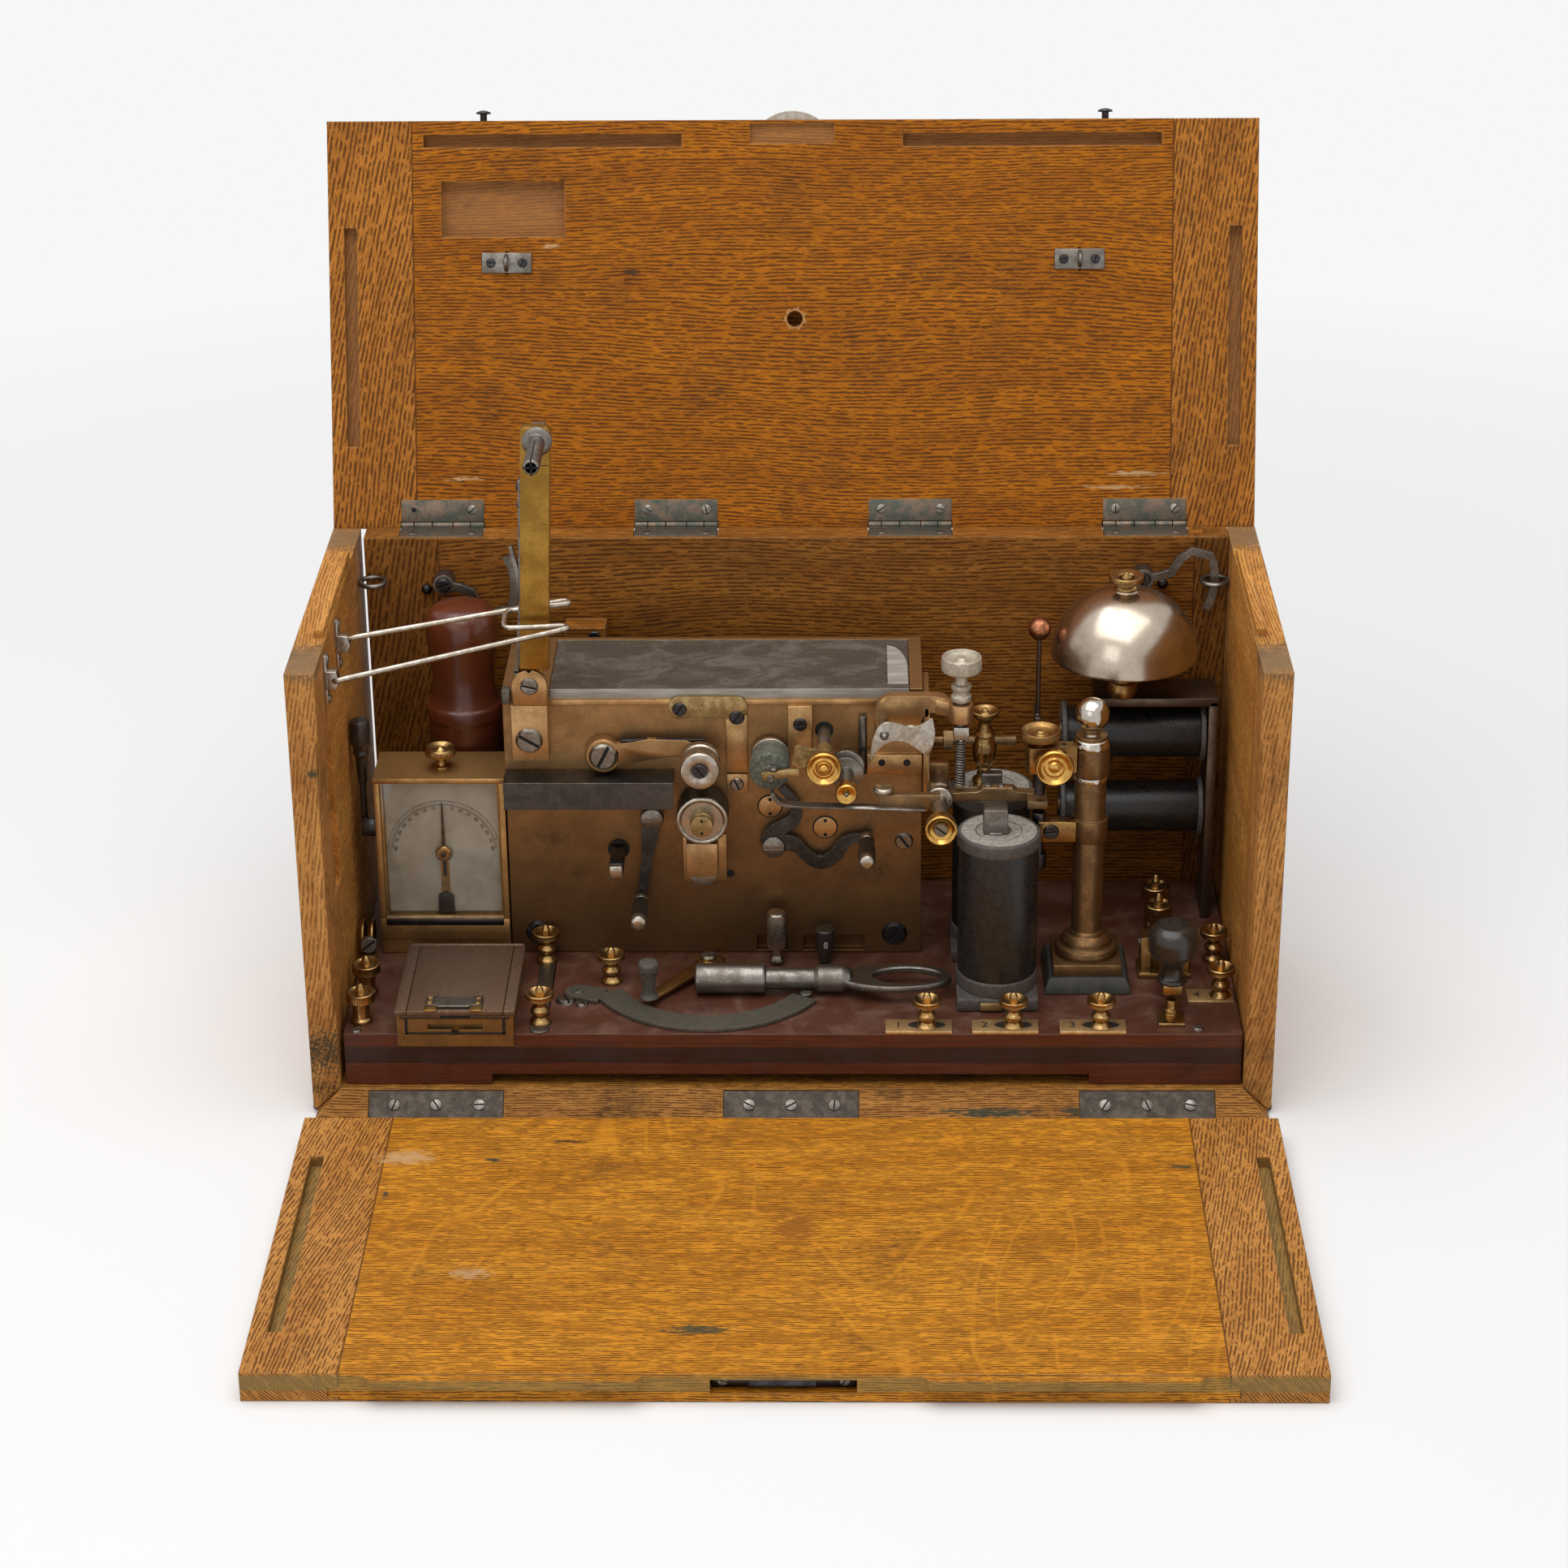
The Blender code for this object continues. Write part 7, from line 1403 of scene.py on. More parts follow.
# Tape path: a blued steel table, a driven roller on its brass block, and a nickel roller above.
# The upper one hangs on a swinging arm that a leaf spring presses down.
table_steel = metal("scratched_table", (0.105, 0.104, 0.104, 1), (0.056, 0.054, 0.052, 1), 0.8, 0.28, 0.5,
    cloud=0.2, edge=(0.3, 0.28, 0.26, 1), edge_amount=0.9, scratches=1.0, dirt=0.1, relief=0.2)
clad("tape_table", table_steel)
wall = 0.0017
feed_x, feed_z = -0.0376, 0.1066
roller = mm([(0, 0), (3.5, 0), (3.5, 2), (10.6, 2.1), (11, 2.8), (11, 15), (10.6, 15.7), (8.8, 15.7), (8, 14),
    (5.2, 13.2), (5, 13.2), (5, 14), (0, 14)])
make("feed_drum", grey_roller, turned(roller, (feed_x, wall, feed_z), "front",
    knurl=(0.003, 0.014, 90, 0.00012, 0.0105)), body="feed_roller", slot="steel", replaces=["feed_roller"])
rim = mm([(8.8, 15.6), (11, 15), (10.8, 16), (9.8, 16.3), (8.8, 15.8), (8.8, 15.6)])
make("feed_rim", nickel, turned(rim, (feed_x, wall, feed_z), "front", 56), body="feed_roller", slot="nickel")
cap = mm([(4, 13.8), (5, 14), (5, 18), (4.4, 18.6), (4.4, 20.5), (4.8, 21), (4.7, 21.6), (0, 21.7)])
make("feed_cap", pale_brass, turned(cap, (feed_x, wall, feed_z), "front", 40), body="feed_roller")
make("feed_cap_holes", hole_dark, *[turned(solid_bar(0.0006, 0.0003), (feed_x, -0.02, feed_z + rise), "front",
    12, 0) for rise in (-0.0028, 0.0028)], body="feed_roller", slot="black")
make("feed_block", red_brass, block((-0.0466, -0.028), (0.0002, 0.0017), (0.0714, 0.0934), 0.0003),
    block((-0.0448, -0.0314), (-0.012, 0.001), (0.079, 0.095), 0.0006), replaces=["roller_bracket"])
nose = cut_plate([(-0.0375 + 0.0058 * math.cos(a * math.pi / 12), 0.0792
    - 0.0048 * math.sin(a * math.pi / 12)) for a in range(13)], "y", (-0.011, 0.0005), 0.0004)
make("feed_block_nose", steel, nose, slot="steel")
press_x, press_z = -0.0792, 0.1321
arm = mm([(-74, 127.5), (-60, 130.5), (-48, 133), (-41, 128.2), (-35, 128.2), (-33, 134), (-44, 139.5),
    (-60, 140), (-74, 137.8)])
make("pressure_plate", plate_brass, cut_plate(arm, "y", (-0.0045, -0.0013), 0.0005),
    turned(mm([(0, 0), (7.7, 0), (7.7, 5.5), (7, 6.2), (6.4, 6.2), (0, 6.2)]), (press_x, wall, press_z),
    "front", 48), body="pressure_arm", replaces=["pressure_arm"])
screws("pressure_screw", [((press_x, -0.0045, press_z), (0, -1, 0), 0.006, 1.1)], screw_steel, "pressure_arm",
    Head_Rise=0.2)
lug = block((-0.0718, -0.065), (-0.0044, -0.001), (0.1386, 0.1398), 0.0003)
make("leaf_spring", dark_steel, lug, block((-0.0655, -0.036), (-0.0042, -0.0016), (0.1391, 0.1399), 0.0002),
    body="pressure_arm", slot="steel")
press = mm([(0, 0), (3.5, 0), (3.5, 1), (7.8, 1.1), (8.3, 1.6), (8.3, 4.8), (7.7, 5.3), (7.7, 6.6),
    (8.3, 7.1), (8.3, 13.8), (7.8, 14.5), (4, 14.5), (3.6, 14), (0, 14)])
make("press_roller", nickel, turned(press, (-0.038, -0.0048, 0.1318), "front", 56), body="pressure_roller",
    slot="nickel", replaces=["pressure_roller"])
screws("press_roller_screw", [((-0.038, -0.0187, 0.1318), (0, -1, 0), 0.0034, 2.2)], dark_steel,
    "pressure_roller", Head_Rise=0.3)


def rounded_box(left, right, low, high, corner, steps=6):
    """The outline of a rectangle with round corners."""
    outline = []
    for x, z, start in ((right, high, 0), (left, high, 90), (left, low, 180), (right, low, 270)):
        middle_x = x - math.copysign(corner, x - (left + right) / 2)
        middle_z = z - math.copysign(corner, z - (low + high) / 2)
        outline += [(middle_x + corner * math.cos(math.radians(start + 90 * i / steps)), middle_z
            + corner * math.sin(math.radians(start + 90 * i / steps))) for i in range(steps + 1)]
    return outline


top = cut_plate(rounded_box(-0.0515, -0.0183, 0.1475, 0.1575, 0.0045), "y", (-0.0003, 0.0017), 0.0004)
strap = block((-0.0275, -0.0185), (0.0002, 0.0017), (0.1224, 0.149), 0.0003)
tab = block((-0.0275, -0.0185), (0.0, 0.0017), (0.113, 0.1218), 0.0004)
make("top_plate", pale_brass, top, replaces=["top_bracket"])
make("top_strap", red_brass, strap, tab)
screws("top_screws", [((-0.0468, -0.0003, 0.152), (0, -1, 0), 0.0031, 1.0),
    ((-0.0229, 0.0, 0.1482), (0, -1, 0), 0.0034, 1.0)], dark_steel, Head_Rise=0.3)
screws("tab_screw", [((-0.0232, 0.0, 0.1172), (0, -1, 0), 0.003, 2.0)], screw_steel, Head_Rise=0.3)

# Stop lever and starting lever: enamelled steel arms held by slotted bosses on the front plate.
# Each has a knurled grip with bright ends, riveted through the arm's tip.
def grip_on(place, matt, name, body):
    """A knurled grip with its round foot and end, standing out to the front."""
    ball = mm([(0, -0.2), (2, 0), (3.1, 1), (3.4, 2.4), (3, 3.8), (2.4, 4.4), (0, 4.4)])
    handle = mm([(0, 4.2), (3, 4.2), (3.6, 11), (3.7, 21.5), (0, 21.5)])
    end = mm([(0, 21.3), (3.7, 21.3), (3.6, 22.8), (3.2, 24.2), (2, 25), (0, 25.1)])
    make(name + "_grip", matt, turned(handle, place, "front", knurl=(0.0043, 0.0214, 36, 0.00012, 0.0029)),
        body=body, slot="steel")
    make(name + "_ends", nickel, turned(ball, place, "front", 32), turned(end, place, "front", 32), body=body,
        slot="nickel")


boss = mm([(0, 0), (5, 0), (5, 5), (4.6, 5.6), (0, 5.6)])
brake = rounded_path(mm([(-59.4, 0, 102.4), (-61, 0, 90), (-61.5, 0, 85), (-64.9, 0, 64.5)]), 0.004, 5)
make("brake_blade", enamel, cut_plate(ribbon_of(brake, (0.0036, 0.003, 0.0025, 0.0021)), "y",
    (-0.0023, -0.0003), 0.0003), turned(solid_bar(0.0027, 0.002), (-0.0649, -0.0003, 0.0645), "front", 28),
    body="brake_lever", slot="black", replaces=["brake_lever"])
make("brake_boss", steel, turned(boss, (-0.0594, wall, 0.1024), "front", 40), body="brake_lever",
    slot="steel")
screws("brake_screw", [((-0.0594, -0.0036, 0.1024), (0, -1, 0), 0.0047, 0.1)], screw_steel, "brake_lever",
    Head_Rise=0.12)
grip_on((-0.0649, -0.0023, 0.0645), grey_roller, "brake", "brake_lever")
upper = rounded_path(mm([(-9.5, 0, 90), (-8.5, 0, 94.5), (-4, 0, 98), (0.8, 0, 101), (2.4, 0, 105.5),
    (0.5, 0, 111), (-4.5, 0, 116.5)]), 0.004, 5)
lower = rounded_path(mm([(-8, 0, 89), (-1.6, 0, 91.2), (2, 0, 90), (5.2, 0, 85), (11.9, 0, 80), (18.5, 0, 84),
    (21.5, 0, 90), (24, 0, 92.5), (31.7, 0, 93)]), 0.006, 5)
make("curved_blade", enamel, cut_plate(ribbon_of(upper, (0.0044, 0.0034, 0.0028, 0.0023, 0.0018)), "y",
    (-0.0023, -0.0003), 0.0005), cut_plate(ribbon_of(lower, (0.004, 0.0026, 0.003, 0.0028, 0.0018)), "y",
    (-0.0022, -0.0004), 0.0005), turned(solid_bar(0.0027, 0.002), (0.0317, -0.0003, 0.093), "front", 28),
    body="curved_lever", slot="black", replaces=["curved_lever"])
make("curved_boss", steel, turned(boss, (-0.008, wall, 0.089), "front", 40), body="curved_lever",
    slot="steel")
screws("curved_screw", [((-0.008, -0.0036, 0.089), (0, -1, 0), 0.0047, 0.0)], screw_steel, "curved_lever",
    Head_Rise=0.12)
grip_on((0.0317, -0.0023, 0.093), grey_roller, "curved", "curved_lever")
wind_x, wind_z = -0.0741, 0.086
make("winding_bush", hole_dark, turned(mm([(0, 0), (4.6, 0), (4.6, 0.8), (4, 1), (0, 1)]),
    (wind_x, wall, wind_z), "front", 36), body="winding_arbor", slot="steel", replaces=["winding_arbor"])
stub = block((wind_x - 0.0029, wind_x + 0.0029), (-0.0185, 0.001), (wind_z - 0.0029, wind_z + 0.0029), 0.0005)
point = block((wind_x - 0.0028, wind_x + 0.0028), (-0.0212, -0.018), (wind_z - 0.0028, wind_z + 0.0028),
    0.0008)
make("winding_square", dark_steel, stub, body="winding_arbor", slot="steel")
make("winding_tip", nickel, point, body="winding_arbor", slot="steel")

# Inking parts: a roller gone green under a clamp, and the inking discs on a sleeve.
# A link joins them, and the feed shaft ends in a dished cap of gold-coloured brass.
verdigris = metal("verdigris_roller", (0.2, 0.185, 0.145, 1), (0.085, 0.105, 0.08, 1), 1.0, 0.45, 0.68,
    cloud=0.5, metallic=0.45, edge=(0.4, 0.36, 0.28, 1), relief=0.5, dirt=0.4)
ink_x, ink_z = -0.0089, 0.1313
drum = mm([(0, 4.8), (8, 4.8), (8.3, 6), (7.8, 7.5), (8.4, 9), (8.4, 19), (7.9, 19.8), (3, 20), (2.8, 20.6),
    (0, 20.6)])
back_ring = mm([(0, 0), (3.5, 0), (3.5, 1.6), (8, 1.8), (8.4, 2.4), (8.4, 4.6), (8, 5), (0, 5)])
make("ink_drum", verdigris, turned(drum, (ink_x, wall, ink_z), "front", 56), body="ink_roller", slot="steel",
    replaces=["ink_roller"])
make("ink_back_ring", nickel, turned(back_ring, (ink_x, wall, ink_z), "front", 56), body="ink_roller",
    slot="nickel")
tilt = Matrix.Translation((-0.0043, -0.0201, 0.1313)) @ Matrix.Rotation(math.radians(-7), 4, "Y")
make("ink_clamp", pale_brass, moved(block((-0.008, 0.008), (-0.0012, 0.0012), (-0.0018, 0.0018), 0.0004),
    tilt))
screws("ink_clamp_screws", [((-0.0071, -0.0201, 0.1334), (0, 0, 1), 0.0018, 0.2),
    ((-0.0084, -0.0213, 0.13), (0, -1, 0), 0.0016, 0.4)], screw_steel, Head_Rise=0.6)
link = mm([(0.2, 135.9), (1.8, 144), (4.1, 144.6), (7.9, 142.2), (11.2, 142.6), (15, 141), (15, 138.5),
    (10.5, 135.9), (6, 134.8), (4, 133.1)])
make("ink_link", pale_brass, cut_plate(link, "y", (-0.0205, -0.019), 0.0003))
shaft_x, shaft_z = 0.0138, 0.1415
make("feed_axle", steel, turned(mm([(0, 0), (2.7, 0), (2.7, 19), (0, 19)]), (shaft_x, wall, shaft_z), "front",
    28), body="feed_shaft", slot="steel", replaces=["feed_shaft"])
sleeve = mm([(0, 18.5), (3.3, 19), (3.3, 30), (2.6, 31), (2.6, 36), (0, 36)])
make("feed_sleeve", pale_brass, turned(sleeve, (shaft_x, wall, shaft_z), "front", 32), body="feed_shaft")
dish = mm([(0, 35.5), (6, 35.8), (7.4, 37.2), (7.4, 39.2), (6.9, 40.2), (6.4, 40), (4.8, 38.4), (4, 38.8),
    (3.4, 38.8), (2.8, 38), (2.2, 38.2), (2, 39.8), (1, 40.4), (0, 40.4)])
make("feed_dish", gold_brass, turned(dish, (shaft_x, wall, shaft_z), "front", 56, 0.00035), body="feed_shaft")
wheel_x, wheel_z = 0.0231, 0.1306
discs = mm([(0, 0), (2.4, 0), (2.4, 12), (7.6, 12.2), (7.6, 14), (3, 14.6), (3, 18), (7.2, 18.4), (7.2, 20),
    (3, 20.4), (3, 33), (0, 33)])
make("ink_discs", steel, turned(discs, (wheel_x, wall, wheel_z), "front", 48), body="ink_wheel", slot="steel",
    replaces=["ink_wheel"])
cone = mm([(0, 32.5), (3, 32.8), (4.5, 35), (4.7, 38.5), (4.5, 40.5), (4, 41.2), (1, 40), (0, 40)])
make("ink_cone", gold_brass, turned(cone, (wheel_x, wall, wheel_z), "front", 40), body="ink_wheel")
make("ink_point", steel, turned(mm([(0, 39.6), (1, 39.8), (0.9, 41.2), (0, 42)]), (wheel_x, wall, wheel_z),
    "front", 16), body="ink_wheel", slot="steel")


# Bracket at the movement's right: a swan-necked arm of cast brass for the adjusting screw.
# The printing lever's bearing is screwed on below it.
neck = rounded_path(mm([(35.2, 0, 145), (35.2, 0, 156), (38.5, 0, 161.2), (61, 0, 161.2), (67.2, 0, 159.5),
    (67.2, 0, 153), (60, 0, 153.5), (56, 0, 154), (54, 0, 149), (53.8, 0, 144)]), 0.0055, 5)
swan = cut_plate([(p.x, p.z) for p in neck], "y", (-0.008, -0.003), 0.0014)
side = block((0.0553, 0.058), (-0.008, 0.03), (0.108, 0.156), 0.0006)
lower_block = block((0.0317, 0.055), (-0.006, 0.0017), (0.1246, 0.1335), 0.0005)
recess = block((0.035, 0.055), (-0.004, 0.0017), (0.133, 0.1465), 0.0005)
boss = turned(mm([(2.7, 0), (5, 0), (5, 8), (2.7, 8), (2.7, 0)]), (0.0707, -0.012, 0.152))
link = cut_plate(mm([(60, -8), (60, -3), (67.2, -3), (73.5, -8), (67.2, -12)]), "z", (0.1528, 0.1592), 0.0008)
bearing = block((0.0575, 0.0665), (0.006, 0.01), (0.113, 0.124), 0.0006)
make("swan_bracket", red_brass, swan, side, lower_block, recess, boss, link, bearing,
    replaces=["screw_bracket"])

# Horn-shaped arm in front of the bracket: cut from thin steel and nickelled.
# It turns on a steel pin with a rounded end.
horn = rounded_path(mm([(32.7, 0, 136.4), (33.7, 0, 146.3), (36, 0, 153), (39, 0, 155.2), (44, 0, 154.5),
    (49.7, 0, 152.5), (54.2, 0, 153.7), (58.8, 0, 157.5), (60, 0, 150), (59, 0, 144), (56.9, 0, 139.4),
    (54.5, 0, 141), (51, 0, 144), (47.2, 0, 146.4), (42, 0, 146.5), (38.2, 0, 144.5), (35, 0, 141)]), 0.0018,
    3)
pin = turned(mm([(0, 0), (2.1, 0), (2.1, 17.5), (1.6, 18), (1.6, 19.2), (0.8, 20.3), (0, 20.4)]),
    (0.0388, -0.003, 0.1491), "front", 24)
make("horn_arm", nickel, cut_plate([(p.x, p.z) for p in horn], "y", (-0.0206, -0.0192), 0.0003),
    slot="nickel")
make("horn_pin", steel, pin, slot="steel")

# Adjusting screw: a dished and knurled nickel head, two collars and a threaded shank.
# A fine steel pull spring hangs round the rod below its nut.
winding, given, out = geometry_tree("wound_wire",
    [("Turns", "NodeSocketFloat", 10), ("Per Turn", "NodeSocketInt", 16),
    ("Radius", "NodeSocketFloat", 0.002), ("Height", "NodeSocketFloat", 0.01),
    ("Wire", "NodeSocketFloat", 0.0003), ("Material", "NodeSocketMaterial", None)])
tree = winding
helix = put(tree, "GeometryNodeCurveSpiral", ("Resolution", given["Per Turn"]), ("Rotations", given["Turns"]),
    ("Start Radius", given["Radius"]), ("End Radius", given["Radius"]), ("Height", given["Height"]))
ring = put(tree, "GeometryNodeCurvePrimitiveCircle", ("Resolution", 6), ("Radius", given["Wire"]))
coiled = put(tree, "GeometryNodeCurveToMesh", ("Curve", helix.outputs[0]), ("Profile Curve", ring.outputs[0]),
    ("Fill Caps", True))
real = put(tree, "GeometryNodeRealizeInstances", (0, coiled.outputs[0]))
dressed = put(tree, "GeometryNodeSetMaterial", ("Geometry", real.outputs[0]), ("Material", given["Material"]))
join(dressed.outputs[0], out[0])


def wound(name, place, facing, material, body, turns, radius, height, wire=0.00025):
    """A wire wound round an axis: a spring, or the ridge of a screw thread where the wire is fine."""
    made = grown(name, winding, blank.copy(), material, body, "steel", Turns=float(turns), Per_Turn=14,
        Radius=radius, Height=height, Wire=wire)
    made.data.transform(Matrix.Translation(place) @ TURNS[facing])
    return made


dull_head = metal("dull_head", (0.55, 0.49, 0.39, 1), (0.36, 0.31, 0.24, 1), 0.8, 0.42, 0.6, cloud=0.6,
    metallic=0.6, edge=(0.6, 0.56, 0.49, 1), dirt=0.2)
screw_x, screw_y = 0.0707, -0.012
head = mm([(0, 0), (2.1, 0), (2.1, 17.2), (4.2, 17.4), (4.2, 19.6), (3.4, 20), (3.4, 22.2), (4.2, 22.6),
    (4.2, 24.4), (2.6, 25), (2.6, 30), (7.8, 30.6), (8.4, 31.4), (8.4, 36.2), (8, 37), (7.6, 37), (7, 35.6),
    (3.4, 34.8), (2.8, 35.2), (2, 36.4), (0, 36.8)])
make("adjusting_head", dull_head, turned(head, (screw_x, screw_y, 0.144),
    knurl=(0.0313, 0.0363, 64, 0.00018, 0.0083)), body="adjusting_screw", slot="nickel",
    replaces=["adjusting_screw"])
wound("adjusting_thread", (screw_x, screw_y, 0.1445), "up", dark_steel, "adjusting_screw", 12, 0.0021, 0.0075)
make("spring_nut", nickel, block((0.0676, 0.0742), (-0.015, -0.009), (0.144, 0.15), 0.0007),
    turned(mm([(0, 0), (1.2, 0), (1.2, 22), (0, 22)]), (screw_x, screw_y, 0.1225)), slot="nickel")
wound("pull_spring", (screw_x, screw_y, 0.1228), "up", steel, "case", 17, 0.0019, 0.0205, 0.00042)
make("spring_hook", bright_brass, loop((screw_x, screw_y, 0.1222), (1, 0, 0), (0, 0, 1), 0.0014, 0.0004, 16))

# Printing lever: a brown brass armature with a raised middle on a nickelled cross shaft.
# The long springy printing blade is fixed at its left end by a thumb screw.
shaft_x, shaft_z, inner_end = 0.062, 0.1185, 0.01
shaft = mm([(0, 0), (2.3, 0), (2.3, 12), (5, 12.2), (5.2, 13), (5.2, 22), (4.6, 24), (2.3, 24.5), (2.3, 25.8),
    (5.8, 26), (5.8, 28.6), (5.4, 29.2), (3, 29.4), (2.4, 32), (2.4, 34), (3.4, 35), (3, 37), (2.6, 50),
    (0, 50)])
make("lever_shaft", nickel, turned(shaft, (shaft_x, inner_end, shaft_z), "front", 40), body="printing_lever",
    slot="steel", replaces=["printing_lever"])
cap = mm([(0, 49.5), (4, 49.8), (6.4, 53), (6.7, 56), (6.6, 58.4), (6, 58.8), (4.6, 57.2), (3.4, 56.8),
    (0, 56.8)])
make("lever_cap", gold_brass, turned(cap, (shaft_x, inner_end, shaft_z), "front", 48), body="printing_lever")
screws("lever_cap_screw", [((shaft_x, -0.0472, shaft_z), (0, -1, 0), 0.0032, 2.5)], screw_steel,
    "printing_lever", Head_Rise=0.4)
make("collar_holes", hole_dark, *[turned(solid_bar(0.0006, 0.0003), (shaft_x + s, -0.019, shaft_z), "front",
    12, 0) for s in (-0.0042, 0.0042)], body="printing_lever", slot="black")
armature = mm([(61.7, 116.5), (105.4, 116.5), (105.4, 120.5), (94.5, 120.5), (92.5, 122.8), (80, 122.8),
    (78, 120.5), (61.7, 120.5)])
brown_brass = metal("brown_brass", (0.27, 0.165, 0.075, 1), (0.16, 0.095, 0.045, 1), 0.8, 0.36, 0.55,
    cloud=0.15, edge=(0.5, 0.36, 0.18, 1), edge_amount=0.8, dirt=0.4, metallic=0.8)
pad = block((0.0985, 0.107), (-0.024, -0.012), (0.1168, 0.1202), 0.0005)
arm = block((0.0365, 0.0622), (-0.024, -0.02), (0.1168, 0.1232), 0.0005)
make("armature", brown_brass, cut_plate(armature, "y", (-0.016, -0.011), 0.0005), pad, arm,
    body="printing_lever")
screws("armature_screws", [((x, -0.0135, 0.1228), (0, 0, 1), 0.0016, 0.4) for x in (0.0825, 0.088)],
    screw_steel, "printing_lever", Head_Rise=0.4)
blade_line = rounded_path(mm([(-7.8, 0, 124.8), (-6.6, 0, 122.2), (-3.5, 0, 119.6), (3, 0, 118.9),
    (20, 0, 118.3), (56, 0, 117.1)]), 0.003, 4)
make("printing_blade", steel, cut_plate(ribbon_of(blade_line, (0.0008, 0.0008, 0.0005, 0.0004, 0.0004)), "y",
    (-0.0265, -0.0215), 0.0001), body="printing_lever", slot="steel")
thumb = mm([(0, 0), (1.6, 0), (1.6, 5.6), (3.6, 6.2), (4.3, 7.2), (4.3, 8.4), (3.4, 9.2), (0, 9.4)])
make("blade_thumb_screw", nickel, turned(thumb, (0.0385, -0.022, 0.1172),
    knurl=(0.007, 0.0085, 40, 0.00015, 0.0042)), body="printing_lever", slot="nickel")
wound("thumb_thread", (0.0385, -0.022, 0.1182), "up", dark_steel, "printing_lever", 6, 0.0016, 0.0045)

# Magnet coils: wire under black paper between grey fibre cheeks, on square feet.
# Bare iron pole pieces stand out of their tops, below the armature.
wrap = metal("coil_paper", (0.0085, 0.0083, 0.008, 1), (0.017, 0.0165, 0.0155, 1), 0.7, 0.24, 0.42,
    cloud=0.35, metallic=0.0, edge=(0.05, 0.045, 0.04, 1), relief=0.5, turn=(0, math.pi / 2, 0))
fibre = metal("grey_fibre", (0.095, 0.082, 0.072, 1), (0.05, 0.042, 0.036, 1), 0.8, 0.5, 0.7, cloud=0.5,
    metallic=0.0, edge=(0.34, 0.31, 0.27, 1), edge_amount=0.9, relief=0.3, radius=0.0005)
worn_ring = metal("worn_fibre", (0.44, 0.41, 0.36, 1), (0.22, 0.195, 0.165, 1), 0.9, 0.45, 0.6, cloud=0.7,
    metallic=0.0)
for name, x, y, poles in (("coil_front", 0.0863, -0.035, (0.0797, 0.0899, -0.0395, -0.0305, 0.1235)),
        ("coil_rear", 0.085, 0.0095, (0.08, 0.089, 0.001, 0.006, 0.1212))):
    square = [block((x - 0.017, x + 0.017), (y - 0.017, y + 0.017), (0.0363, 0.042), 0.0008)]
    bobbin = mm([(0, 0), (16.6, 0), (17.1, 0.6), (17.1, 6.2), (16.6, 7), (0, 7)])
    top = mm([(0, 0), (16.8, 0), (17.4, 0.8), (17.4, 5.4), (17, 6), (9, 6), (8.8, 5.6), (6, 5.6), (5.6, 6),
        (0, 6)])
    sleeve = turned(mm([(0, 0), (16.3, 0), (16.6, 1), (16.6, 58.8), (16.3, 59.8), (0, 59.8)]), (x, y, 0.0484),
        steps=72)
    make(name + "_winding", wrap, sleeve, slot="black", replaces=[name])
    make(name + "_cheeks", fibre, *square, turned(bobbin, (x, y, 0.0418), steps=64),
        turned(top, (x, y, 0.1064), steps=64), slot="black")
    rim = mm([(9.8, 0), (15.8, 0), (15.8, 0.12), (9.8, 0.12), (9.8, 0)])
    make(name + "_worn_ring", worn_ring, turned(rim, (x, y, 0.1124), steps=64, ease=0), slot="black")
    left, right, front, rear, crown = poles
    make(name + "_pole", steel, block((left, right), (front, rear), (0.111, crown), 0.0007),
        turned(solid_bar(0.0052, 0.0012), ((left + right) / 2, y, 0.112), steps=32), slot="steel")
make("coil_terminal", pale_brass, block((0.079, 0.088), (-0.053, -0.0515), (0.037, 0.0405), 0.0003))

# Turned brass post: one baluster shape from foot to head, screwed into the rear coil's top.
# A threaded tie rod with a knurled collar ends beside it.
post = mm([(0, 0), (5, 0), (5.2, 0.8), (5, 3), (3, 4.8), (3.2, 5.8), (2.8, 7), (3.2, 8.2), (2.8, 9),
    (4.6, 12), (5.2, 16.5), (5, 20.5), (4.2, 22.8), (4.4, 23.8), (3.4, 25.2), (2.4, 28.5), (2.6, 30),
    (5.6, 32.5), (6.1, 33.8), (6.1, 34.8), (5.4, 35), (2.4, 33.4), (1.8, 33.8), (1.2, 35.2), (0, 35.6)])
make("tie_post", bright_brass, turned(post, (0.0815, 0.009, 0.1127)), replaces=["baluster_post"])
rod = turned(mm([(0, 0), (1.8, 0), (1.8, 36.4), (0, 36.4)]), (0.0584, 0.009, 0.1335), "right", 20)
collar = turned(mm([(0, 0), (4.2, 0), (4.2, 4.2), (0, 4.2)]), (0.064, 0.009, 0.1335), "right",
    knurl=(0, 0.0042, 36, 0.00015, 0.004))
make("tie_rod", brown_brass, rod, collar)
wound("tie_thread", (0.086, 0.009, 0.1335), "right", brown_brass, "case", 12, 0.0018, 0.0088)

# Contact column: a brass tube on a square foot, topped by a nickelled ball.
# Two clamped arms carry the lower stop, and the dished upper stop screw with its lock knob.
column_x, column_y = 0.1248, -0.0188
foot_black = metal("foot_black", (0.04, 0.042, 0.037, 1), (0.075, 0.074, 0.064, 1), 0.8, 0.35, 0.55,
    cloud=0.2, metallic=0.2, edge=(0.17, 0.16, 0.14, 1), relief=0.15)
column_brass = metal("column_brass", (0.215, 0.118, 0.046, 1), (0.125, 0.067, 0.027, 1), 0.8, 0.34, 0.52,
    cloud=0.15, edge=(0.46, 0.3, 0.13, 1), edge_amount=0.8, dirt=0.4, metallic=0.8)
slope = [(0.018, 0.0363), (0.018, 0.0385), (0.016, 0.043)]
base_points, base_faces = [], []
